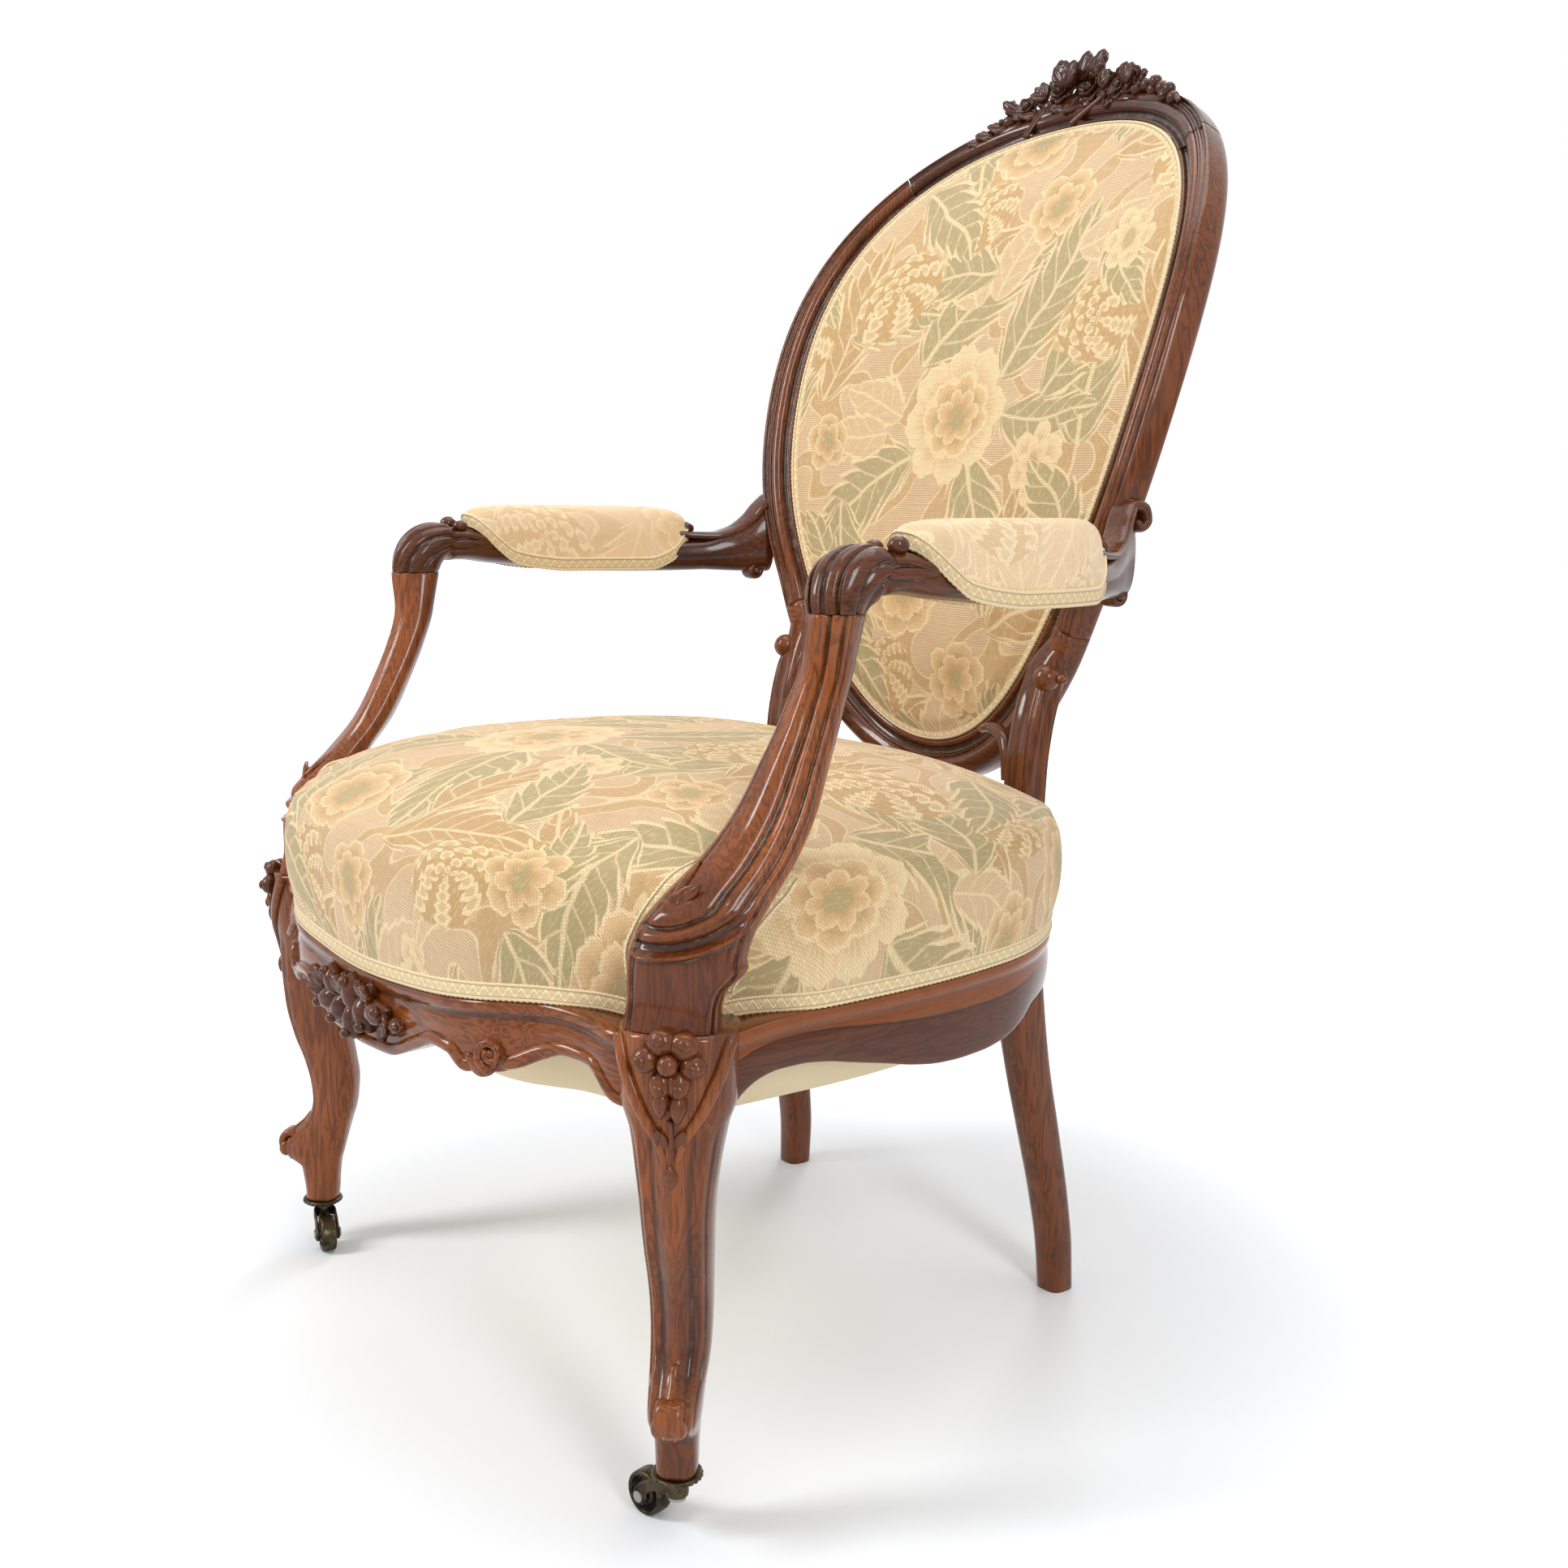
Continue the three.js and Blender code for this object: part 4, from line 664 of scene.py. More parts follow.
def new_material(name, **settings):
    """A node material with its Principled shader; settings are plain values of its sockets."""
    material = bpy.data.materials.new(name)
    material.use_nodes = True
    shader = material.node_tree.nodes["Principled BSDF"]
    for title, value in settings.items():
        shader.inputs[title.replace("_", " ")].default_value = value
    return material, material.node_tree, shader


# ---------------------------------------------------------------- finishes


def noise(tree, vector, scale, detail=2.0, roughness=0.5, distortion=0.0):
    node = add_node(
        tree, "ShaderNodeTexNoise",
        {"Vector": vector, "Scale": scale, "Detail": detail, "Roughness": roughness,
         "Distortion": distortion},
    )
    return Wire(tree, node.outputs["Fac"])


def make_wood_group():
    """Figure, pores, polish, worn edges and dusty hollows of old polished wood, with painted shade darkening its
    hollows.

    The figure is the sine of a stretched noise, so its lines follow the noise's contours."""
    group, source, sink = new_group(
        "polished_wood",
        [("Vector", "Vector", None), ("Light", "Color", None), ("Dark", "Color", None),
         ("Dust", "Color", None), ("Streaks", "Float", 0.6), ("Dust Amount", "Float", 0.5)],
        [("Color", "Color"), ("Roughness", "Float"), ("Height", "Float")],
    )
    t, vector = group, source.outputs["Vector"]
    broad = noise(t, vector, 6.0, 3.0, 0.55, 0.3)
    lines = (broad * 74.0).sin() * 0.5 + 0.5
    fine = noise(t, vector, 46.0, 4.0, 0.65)
    pores = noise(t, vector, 190.0, 1.0, 0.5).step(0.36, 0.30)
    share = (lines.step(0.2, 1.0) * source.outputs["Streaks"] * 0.8 + fine * 0.9 - 0.38).clamp()
    colour = mix(t, share, source.outputs["Light"], source.outputs["Dark"])
    blotch = noise(t, vector, 1.6, 2.0).step(0.42, 0.68) * 0.62
    colour = mix(t, blotch, colour, source.outputs["Dark"])
    colour = mix(t, pores * 0.5, colour, source.outputs["Dark"])
    relief = Wire(t, add_node(t, "ShaderNodeAttribute", attribute_name="relief").outputs["Fac"])
    place_of = add_node(t, "ShaderNodeTexCoord").outputs["Object"]
    patches = noise(t, place_of, 70.0, 3.0, 0.6)
    # painted shade: hollows and grooves are darkened toward near black, standing in for the shade that falls in them
    painted_hollow_shade = relief.step(0.05, 0.5)
    colour = mix(t, painted_hollow_shade * 0.72, colour, (0.016, 0.007, 0.004, 1.0))
    dust = relief.step(0.30, 0.9) * patches.step(0.44, 0.70) * source.outputs["Dust Amount"]
    colour = mix(t, dust, colour, source.outputs["Dust"])
    worn = (0.0 - relief).step(0.1, 0.6) * patches.step(0.3, 0.7) * 0.35
    colour = mix(t, worn, colour, source.outputs["Light"])
    connect(t, colour, sink.inputs["Color"])
    scuffs = noise(t, place_of, 24.0, 4.0, 0.6) * 0.14
    connect(t, (scuffs + dust * 0.5 + pores * 0.08 + 0.09).clamp(), sink.inputs["Roughness"])
    connect(t, fine * 0.5 - pores * 0.4 - dust * patches * 0.5, sink.inputs["Height"])
    return group


WOOD_STRETCH = {"x": (0.09, 1.0, 1.0), "y": (1.0, 0.09, 1.0), "z": (1.0, 1.0, 0.09)}


def wood_material(name, group, light, dark, dust, grain="z", streaks=0.6, dust_amount=0.5, offset=0.0,
                  rail=False):
    """Polished wood whose grain runs along one axis of the piece's board.

    A rail is darker where its tone passes a half, below a line that wanders with the noise; elsewhere
    tone above zero shows wood worn bare, and below zero carving dark with old polish."""
    material, t, shader = new_material(
        name, Coat_Weight=0.36, Coat_Roughness=0.06, IOR=1.5, Specular_IOR_Level=0.2
    )
    coordinates = add_node(t, "ShaderNodeTexCoord").outputs["Object"]
    mapping = add_node(t, "ShaderNodeMapping", {"Vector": coordinates})
    mapping.inputs["Scale"].default_value = tuple(8.0 * s for s in WOOD_STRETCH[grain])
    mapping.inputs["Location"].default_value = (offset, offset * 0.7, offset * 0.3)
    wood = use_group(t, group, {
        "Vector": mapping.outputs[0], "Light": linear(light), "Dark": linear(dark),
        "Dust": linear(dust), "Streaks": streaks, "Dust Amount": dust_amount,
    })
    height = add_node(t, "ShaderNodeBump", {"Height": wood.outputs["Height"]})
    height.inputs["Strength"].default_value = 0.25
    height.inputs["Distance"].default_value = 0.0008
    tone = Wire(t, add_node(t, "ShaderNodeAttribute", attribute_name="tone").outputs["Fac"])
    wander = noise(t, mapping.outputs[0], 1.6, 3.0, 0.6)
    colour = wood.outputs["Color"]
    if rail:
        below = tone + wander * 0.35 - 0.17
        colour = mix(t, (1.0 - below.step(0.40, 0.465)) * 0.5, colour, linear(light))
        colour = mix(t, below.step(0.435, 0.465) * 0.45, colour, linear(tuple(0.8 * c for c in dark)))
        line = 1.0 - (below - 0.45).abs().step(0.004, 0.022)
        colour = mix(t, line * 0.8, colour, (0.02, 0.010, 0.008, 1.0))
    else:
        bare = tone * noise(t, coordinates, 60.0, 3.0, 0.6).step(0.30, 0.62)
        colour = mix(t, bare * 0.7, colour, linear(light))
        colour = mix(t, (0.0 - tone).clamp() * 0.7, colour, linear(tuple(0.85 * c for c in dark)))
    connect(t, colour, shader.inputs["Base Color"])
    connect(t, wood.outputs["Roughness"], shader.inputs["Roughness"])
    connect(t, height.outputs[0], shader.inputs["Normal"])
    return material


def vector_of(tree, x, y, z=0.0):
    node = tree.nodes.new("ShaderNodeCombineXYZ")
    for socket, item in zip(node.inputs, (x, y, z)):
        connect(tree, item, socket)
    return node.outputs[0]


def parts_of(tree, vector):
    node = tree.nodes.new("ShaderNodeSeparateXYZ")
    connect(tree, vector, node.inputs[0])
    return [Wire(tree, s) for s in node.outputs]


def plain_material(name, colour, roughness, weave=0.0, **settings):
    """A plain cloth, cast metal or raw wood finish with mottling, painted shade in its hollows, and a weave where
    asked.
    """
    material, t, shader = new_material(name, **settings)
    position = add_node(t, "ShaderNodeTexCoord").outputs["Object"]
    mottle = noise(t, position, 60.0, 4.0, 0.6)
    dark = tuple(0.55 * c for c in linear(colour)[:3]) + (1.0,)
    x, y, z = parts_of(t, position)
    height = mottle * 0.4
    share = mottle.step(0.35, 0.75)
    if weave:
        threads = ((x * weave).sin() * (y * weave).sin() * 0.5 + (z * weave).sin() * 0.3)
        height = height + threads
        share = (share * 0.6 + threads.abs() * 0.5).clamp()
    relief = Wire(t, add_node(t, "ShaderNodeAttribute", attribute_name="relief").outputs["Fac"])
    colour_out = mix(t, share, linear(colour), dark)
    # painted shade: hollows and creases are darkened toward the dark colour
    colour_out = mix(t, relief.step(0.1, 0.6) * 0.5, colour_out, dark)
    connect(t, colour_out, shader.inputs["Base Color"])
    connect(t, (mottle * 0.25 + (roughness - 0.12)).clamp(), shader.inputs["Roughness"])
    lift = add_node(t, "ShaderNodeBump", {"Height": height})
    lift.inputs["Strength"].default_value = 0.4
    lift.inputs["Distance"].default_value = 0.0006
    connect(t, lift.outputs[0], shader.inputs["Normal"])
    return material


# ---------------------------------------------------------------- legs, stiles and rails

LEG_ROWS = np.array([
    [0, 0.44, 0.38, 0.36], [0.018, 0.44, 0.4, 0.37], [0.068, 0.5, 0.43, 0.38], [0.1, 0.56, 0.46, 0.4],
    [0.124, 0.86, 0.5, 0.42], [0.149, 1.06, 0.56, 0.45], [0.168, 1.04, 0.6, 0.46],
    [0.204, 0.77, 0.68, 0.48], [0.24, 0.39, 0.76, 0.51], [0.28, 0.16, 0.86, 0.53],
    [0.322, 0.1, 0.92, 0.54], [0.375, 0.16, 0.95, 0.55], [0.441, 0.33, 0.88, 0.57],
    [0.514, 0.61, 0.78, 0.6], [0.613, 0.84, 0.68, 0.64], [0.702, 0.9, 0.72, 0.72],
    [0.785, 0.92, 0.97, 0.83], [0.858, 0.95, 1, 1], [1, 0.98, 1, 1],
])
KNEE_REACH, KNEE_BACK, KNEE_HALF_WIDTH = 0.031, 0.038, 0.038
DIAGONAL = unit(np.array([1.0, -1.0, 0.0]))
ACROSS = unit(np.array([1.0, 1.0, 0.0]))
LEG_SQUARENESS = 2.6
SUPPORT_ROWS = np.array([
    [0, 0.885, 1, 0.918, 1], [0.08, 0.852, 0.95, 0.963, 0.97], [0.16, 0.85, 0.798, 0.992, 0.938],
    [0.24, 0.809, 0.58, 0.994, 0.9], [0.32, 0.685, 0.391, 0.929, 0.854], [0.4, 0.518, 0.35, 0.821, 0.8],
    [0.51, 0.338, 0.5, 0.705, 0.74], [0.63, 0.212, 0.6, 0.602, 0.72], [0.75, 0.103, 0.62, 0.515, 0.72],
    [0.87, 0.023, 0.5, 0.464, 0.76], [1, -0.006, 0.1, 0.462, 1],
])


def leg_frame(share):
    """Centre line, half depth and half width of the front leg at height shares."""
    outer, inner, wide = smooth_table(LEG_ROWS, share).T
    outer, inner, wide = outer * KNEE_REACH, inner * KNEE_BACK, wide * KNEE_HALF_WIDTH
    z = FRONT_LEG_FOOT + share * (RAIL_TOP - FRONT_LEG_FOOT)
    centre = np.column_stack([np.broadcast_to(FRONT_LEG, (len(share), 2)), z])
    centre = centre + ((outer - inner) / 2)[:, None] * DIAGONAL
    return centre, (outer + inner) / 2, wide


def support_frame(share):
    """Centre line, directions and half sizes of the arm support at height shares."""
    run, inset, wide, deep = smooth_table(SUPPORT_ROWS, share).T
    z = RAIL_TOP + 0.0003 + share * (SUPPORT_HEIGHT - 0.0003)
    centre = np.column_stack([ARM_X - 0.012 * inset, ARM_FRONT - 0.130 * run, z])
    facing = np.radians(45 + 15 * share)
    out = np.column_stack([np.cos(facing), -np.sin(facing), 0 * facing])
    across = np.column_stack([np.sin(facing), np.cos(facing), 0 * facing])
    return centre, across, out, 0.038 * wide, 0.020 * deep


def face_spots(centre, across, out, half_width, half_depth, side, lift, q=LEG_SQUARENESS):
    """Points on the outer face of a superellipse bar: out = D (1 - |s|^q)^(1/q), lifted off it."""
    side = np.clip(side, -0.999, 0.999)
    depth = (1 - np.abs(side) ** q) ** (1 / q)
    tilt = np.sign(side) * np.abs(side) ** (q - 1) / half_width
    rise = depth ** (q - 1) / half_depth
    normal = unit(tilt[:, None] * across + rise[:, None] * out)
    spot = centre + (side * half_width)[:, None] * across + (depth * half_depth)[:, None] * out
    return spot + normal * np.broadcast_to(lift, side.shape)[:, None], normal


def leg_spots(share, side, lift=0.0):
    share, side = np.broadcast_arrays(np.asarray(share, float), np.asarray(side, float))
    centre, deep, wide = leg_frame(share)
    across = np.broadcast_to(ACROSS, centre.shape)
    return face_spots(centre, across, np.broadcast_to(DIAGONAL, centre.shape), wide, deep, side, lift)


def support_spots(share, side, lift=0.0):
    share, side = np.broadcast_arrays(np.asarray(share, float), np.asarray(side, float))
    centre, across, out, wide, deep = support_frame(share)
    return face_spots(centre, across, out, wide, deep, side, lift)


def moulded(section, half_a, half_b, lifts, front=1):
    """Raises a section's outer face by lifts(side): side is a / half_a, and front picks +b or -b."""
    side = section[..., 0] / half_a[:, None]
    face = np.clip(front * section[..., 1] / half_b[:, None] * 1.6, 0, 1)
    raised = section.copy()
    raised[..., 1] += front * lifts(side) * face
    return raised


def front_leg_shells():
    """Cabriole front leg: a loft up the height, its face moulded, with its carved toe and knee."""
    share = np.concatenate([np.linspace(0, 0.2, 34)[:-1], np.linspace(0.2, 1, 96)])
    centre, deep, wide = leg_frame(share)
    weight = smooth_table([[0, 0], [0.1, 0], [0.15, 0.7], [0.22, 1], [0.76, 1], [0.84, 0], [1, 0]], share)
    weight = weight[:, None] / 1000

    def lifts(s):
        channel = -2.4 * bump(np.abs(s) - 0.46, 0.17)
        ridge = 2.2 * bump(s, 0.2)
        edges = 1.6 * bump(np.abs(s) - 0.76, 0.055) - 0.9 * bump(np.abs(s) - 0.855, 0.03)
        return weight * (channel + ridge + edges + 1.1 * bump(np.abs(s) - 0.92, 0.05))

    section = moulded(superellipse(wide, deep, 132, LEG_SQUARENESS), wide, deep, lifts)
    body = place(centre, np.broadcast_to(ACROSS, centre.shape), np.broadcast_to(DIAGONAL, centre.shape), section)
    shells = [shell(body)]
    toe = smooth_table(
        [[0, 0.118, 0.1], [0.4, 0.15, 0.1], [1, 0.26, 0.06]], np.linspace(0, 1, 20)
    )
    spots, normals = leg_spots(toe[:, 0], 0 * toe[:, 0], 0.0012)
    shells.append(tube(spots, np.linspace(0.0052, 0.0026, 20), normals, 0.6))
    spot, normal = leg_spots([0.176], [0.0], 0.0)
    curl = spot[0] - normal[0] * 0.0060
    shells.append(volute(curl, DIAGONAL, UP, 0.0125, 0.0035, 1.3, 0.0044, 0.0190, -2.2, 1))
    shells.append(ellipsoid(curl, (0.0125, 0.0048, 0.0048), ACROSS, UP, 10, 14))
    for side in (-0.42, 0.42):
        spot, _ = leg_spots([0.152], [side], -0.0010)
        shells.append(ellipsoid(spot[0], (0.0052, 0.0072, 0.0060), ACROSS, UP))
    for side in (-1, 1):
        path = np.linspace(0, 1, 40)
        edge = smooth_table(
            [[0, 0.99, 0.93], [0.3, 0.93, 0.8], [0.6, 0.84, 0.5], [0.85, 0.76, 0.2], [1, 0.7, 0.02]], path
        )
        spots, normals = leg_spots(edge[:, 0], side * edge[:, 1], 0.0008)
        size = smooth_table([[0, 0.0052], [0.5, 0.0046], [1, 0.0016]], path)
        shells.append(tube(spots, size, normals, 0.8))
    shells += knee_flower_shells()
    return shells


def darkened(shells, amount):
    """The same shells with their wood darkened by old polish."""
    return [dict(one, tone=-amount) for one in shells]


def knee_flower_shells():
    """Six round petals, a ball, two pods and a bud on a stem, at the middle of the knee."""
    shells = []
    middle, normal = leg_spots([0.955], [0.0], 0.004)
    up = unit(UP - normal[0] * (UP @ normal[0]))
    right = np.cross(up, normal[0])
    for turn, reach, wide, high in (
        (112, 0.0135, 0.0092, 0.0088), (176, 0.0150, 0.0090, 0.0086), (50, 0.0140, 0.0098, 0.0090),
        (352, 0.0150, 0.0086, 0.0080), (250, 0.0150, 0.0078, 0.0095), (292, 0.0150, 0.0080, 0.0095),
    ):
        a = math.radians(turn)
        spot = middle[0] + reach * (math.cos(a) * right + math.sin(a) * up)
        shells.append(ellipsoid(spot, (wide, high, 0.0072), right, up))
        dimple = spot + 0.0056 * normal[0] + 0.2 * (spot - middle[0])
        shells.append(ellipsoid(dimple, (wide * 0.5, high * 0.5, 0.0028), right, up, 8, 14))
    shells.append(ellipsoid(middle[0] + 0.0060 * normal[0], (0.0068, 0.0068, 0.0066), right, up))
    for side, share in ((-0.13, 0.868), (0.14, 0.858)):
        spot, _ = leg_spots([share], [side], 0.004)
        shells.append(ellipsoid(spot[0], (0.0062, 0.0105, 0.0068), right, -up, pinch=0.5))
    stem, normals = leg_spots(np.linspace(0.83, 0.69, 16), 0.04 * np.sin(np.linspace(0, 3, 16)), 0.002)
    shells.append(tube(stem, 0.0018, normals))
    bud, _ = leg_spots([0.71], [0.03], 0.003)
    shells.append(ellipsoid(bud[0], (0.0045, 0.0085, 0.0045), right, up, pinch=0.6))
    for side, turn in ((-0.16, 0.4), (0.2, -0.4)):
        spot, _ = leg_spots([0.76], [side * 0.6], 0.001)
        shells.append(leaf(spot[0], up + turn * right * -1, normal[0], 0.016, 0.0045, 0.0016, 0, 0.2))
    return darkened(shells, 0.75)


def stile_rings():
    """Heights, centres and half sizes of the back leg and post, up to inside the oval's side."""
    joint = oval_place(np.array([POST_JOINT]), np.array([0.017]), np.array([0.013]))[0]
    into = oval_place(np.array([POST_JOINT - 0.14]), np.array([0.016]), np.array([0.013]))[0]
    rows = []
    for h, setback in (
        (0, 1), (0.107, 0.97), (0.24, 0.82), (0.417, 0.52), (0.588, 0.22), (0.7, 0.08), (0.85, 0), (1, 0),
    ):
        share = min(1, h / 0.7)
        x = BACK_FOOT[0] + (STILE[0] - BACK_FOOT[0]) * h
        y = STILE[1] + (BACK_FOOT[1] - STILE[1]) * setback
        rows.append([RAIL_TOP * h, x, y, 0.0135 + 0.0035 * share, 0.0135 + 0.0055 * share])
    for h, setback in ((0.2, 0.04), (0.36, 0.06), (0.5, 0.1), (0.63, 0.22), (0.74, 0.4), (0.85, 0.68)):
        y = STILE[1] + (joint[1] - STILE[1]) * setback
        rows.append([RAIL_TOP + (joint[2] - RAIL_TOP) * h, STILE[0], y, 0.0155, 0.015])
    rows.append([joint[2], joint[0] + 0.002, joint[1], 0.0135, 0.012])
    rows.append([into[2], into[0], into[1], 0.011, 0.0095])
    return np.array(rows)


def back_stile_shells():
    """Back leg and post in one loft, the oval's side, the ball on the post and the web below it."""
    rows = stile_rings()
    z = np.linspace(0, rows[-1, 0], 150)
    x, y, wide, deep = smooth_table(rows, z).T
    weight = smooth_table([[0, 0], [0.39, 0], [0.42, 1], [0.515, 1], [0.535, 0], [0.7, 0]], z)[:, None] / 1000

    def lifts(s):
        return weight * (
            -2.2 * bump(s + 0.05, 0.40) + 0.9 * bump(s + 0.86, 0.1) + 0.9 * bump(s - 0.80, 0.1)
            - 1.0 * bump(s - 0.58, 0.05)
        )

    section = moulded(superellipse(wide, deep, 112, 2.9), wide, deep, lifts, -1)
    turned = section[..., ::-1]
    turned = moulded(turned, deep, wide, lambda s: lifts(s) * 0.8, 1)
    section = turned[..., ::-1]
    count = len(z)
    body = place(
        np.column_stack([x, y, z]), np.tile([1.0, 0, 0], (count, 1)), np.tile([0, 1.0, 0], (count, 1)), section
    )
    tone = smooth_table([[0, 1], [0.05, 0.55], [0.16, 0.0], [0.7, 0.0]], z)[:, None]
    shells = [shell(body, tone=tone), frame_arc(CREST_JOINT + 0.001, POST_JOINT - 0.002, 190)]
    ball = np.array([STILE[0] + 0.011, 0.1795, 0.5345])
    shells.append(ellipsoid(ball, (0.0115, 0.0115, 0.0115), (1, 0.2, 0), UP))
    shells.append(ellipsoid(ball + [0.013, 0.004, 0.0], (0.0045, 0.0045, 0.006), UP, (0, 1, 0), 8, 12))
    path = np.array([
        [STILE[0] - 0.013, 0.168, 0.448], [STILE[0] - 0.016, 0.168, 0.466], [0.136, 0.171, 0.482],
        [0.118, 0.176, 0.487], [0.100, 0.182, 0.484],
    ])
    spots = smooth_table(np.column_stack([np.arange(5), path]), np.linspace(0, 4, 26))
    shells.append(tube(spots, np.linspace(0.0072, 0.004, 26), (0, 1, 0), 1.3, squareness=2.6))
    return shells


FRONT_DROPS = np.array([
    [0, 1], [0.137, 0.96], [0.256, 0.76], [0.345, 0.62], [0.4, 0.65], [0.444, 0.78], [0.52, 0.75],
    [0.56, 0.67], [0.607, 0.55], [0.67, 0.46], [0.75, 0.48], [0.839, 0.743], [1, 0.8],
])
SIDE_DROPS = np.array([
    [0.1, 1], [0.2, 0.9], [0.212, 0.83], [0.23, 0.67], [0.256, 0.553], [0.285, 0.502], [0.319, 0.495],
    [0.361, 0.526], [0.403, 0.591], [0.467, 0.69], [0.507, 0.759], [0.564, 0.821], [0.61, 0.837],
    [0.65, 0.834], [0.694, 0.801], [0.745, 0.697], [0.79, 0.56], [0.9, 0.52], [1, 0.5],
])


def rail_levels(knots, front):
    """Plan spots, normals, top and bottom levels along a seat rail."""
    spot, outward, top = seat_plan(knots)
    if front:
        drop = smooth_table(FRONT_DROPS, np.abs(spot[:, 0]) / SEAT_HALF_WIDTH)
    else:
        drop = smooth_table(SIDE_DROPS, depth_share(spot[:, 1]))
    return spot, outward, top, np.minimum(top - 0.016, RAIL_TOP - APRON_DROP * drop)


RAIL_TOP_ROWS = ((-0.0240, 0.0), (-0.004, 0.0), (-0.001, -0.0002), (0.0012, -0.0012), (0.0021, -0.0035),
                 (0.0021, -0.0065), (0.0012, -0.0088), (0.0002, -0.0100), (-0.0002, -0.0125))
RAIL_FOOT_ROWS = ((0.0, 0.0035), (-0.0004, 0.0015), (-0.0018, 0.0004), (-0.0035, 0.0), (-0.0235, 0.0),
                  (-0.0255, 0.001), (-0.026, 0.003))


def rail_shell(first, last, steps, front):
    """A seat rail: its section runs over the moulded top, down the face and up the inside."""
    spot, outward, top, low = rail_levels(np.linspace(first, last, steps), front)
    ring = [plan_point(spot, outward, outset, top + level) for outset, level in RAIL_TOP_ROWS]
    for share in np.linspace(0.08, 0.92, 9):
        belly = 0.0012 * math.sin(math.pi * share)
        ring.append(plan_point(spot, outward, belly, (top - 0.0125) * (1 - share) + (low + 0.0035) * share))
    ring += [plan_point(spot, outward, outset, low + level) for outset, level in RAIL_FOOT_ROWS]
    ring.append(plan_point(spot, outward, -0.026, (top + low) / 2))
    ring.append(plan_point(spot, outward, -0.026, top - 0.002))
    points = np.stack(ring, 1)
    height = (top[:, None] - points[..., 2]) / (top - low)[:, None]
    return shell(points, tone=np.clip(height, 0, 1))


def rail_face(knots, level, lift, front=True):
    """Points on a rail's outer face; level 0 is its bottom edge and 1 its top."""
    spot, outward, top, low = rail_levels(knots, front)
    level = np.broadcast_to(np.asarray(level, float), (len(spot),))
    z = low + (top - low) * level
    return plan_point(spot, outward, lift, z), np.column_stack([outward, 0 * z])


def front_rail_shells():
    """Front rail with the bead along its wavy lower edge and the scroll on each side."""
    shells = [rail_shell(-7.32, 7.32, 190, True)]
    for hand in (1, -1):
        knots = hand * np.linspace(0.0, 3.05, 60)
        path, normals = rail_face(knots, 0.0, 0.0005)
        path[:, 2] += 0.0046
        size = smooth_table([[0, 0.0036], [0.55, 0.0050], [0.85, 0.0050], [1, 0.0024]], np.linspace(0, 1, 60))
        shells.append(tube(path, size, normals, 0.75))
        tongue = np.linspace(0, 1, 24)
        knots = hand * smooth_table([[0, 2.7], [0.35, 3.0], [0.7, 3.25], [1, 3.5]], tongue)
        path, normals = rail_face(knots, 0.0, 0.001)
        path[:, 2] += smooth_table([[0, 0.012], [0.4, 0.004], [0.75, 0.0035], [1, 0.0115]], tongue)
        shells.append(tube(path, smooth_table([[0, 0.003], [0.5, 0.0062], [1, 0.0032]], tongue), normals, 0.7))
        eye, normals = rail_face(np.array([hand * 3.42]), 0.0, 0.001)
        eye = eye[0] + [0.0, 0.0, 0.0145]
        normal = normals[0]
        side = unit(np.cross(UP, normal)) * hand
        shells.append(
            volute(eye, side, UP, 0.0115, 0.0035, 1.35, 0.0038, 0.011, start=math.radians(-95), hand=-1)
        )
        shells.append(ellipsoid(eye, (0.0042, 0.0042, 0.005), side, UP, 8, 12))
        knots = hand * np.linspace(3.45, 7.25, 70)
        path, normals = rail_face(knots, 0.0, 0.0006)
        path[:, 2] += smooth_table([[0, 0.018], [0.12, 0.006], [0.3, 0.0048], [1, 0.004]], np.linspace(0, 1, 70))
        size = smooth_table([[0, 0.004], [0.25, 0.0056], [0.7, 0.0042], [1, 0.0036]], np.linspace(0, 1, 70))
        shells.append(tube(path, size, normals, 0.8))
    return shells


# Apron flowers: side and level from the middle of the cluster, turn, length and kind
APRON_CARVINGS = (
    (-0.068, 0.028, 160, 0.022, "bud"), (-0.052, 0.016, 205, 0.024, "pod"), (-0.042, 0.033, 115, 0.022, "pod"),
    (-0.028, 0.014, 240, 0.024, "pod"), (-0.022, 0.034, 80, 0.022, "bud"), (-0.006, 0.010, 270, 0.024, "pod"),
    (-0.004, 0.032, 100, 0.026, "pod"), (0.014, 0.020, 300, 0.025, "pod"), (0.020, 0.037, 60, 0.022, "bud"),
    (0.034, 0.026, 20, 0.026, "pod"), (0.048, 0.018, 335, 0.020, "bud"), (0.060, 0.022, 5, 0.016, "pod"),
)


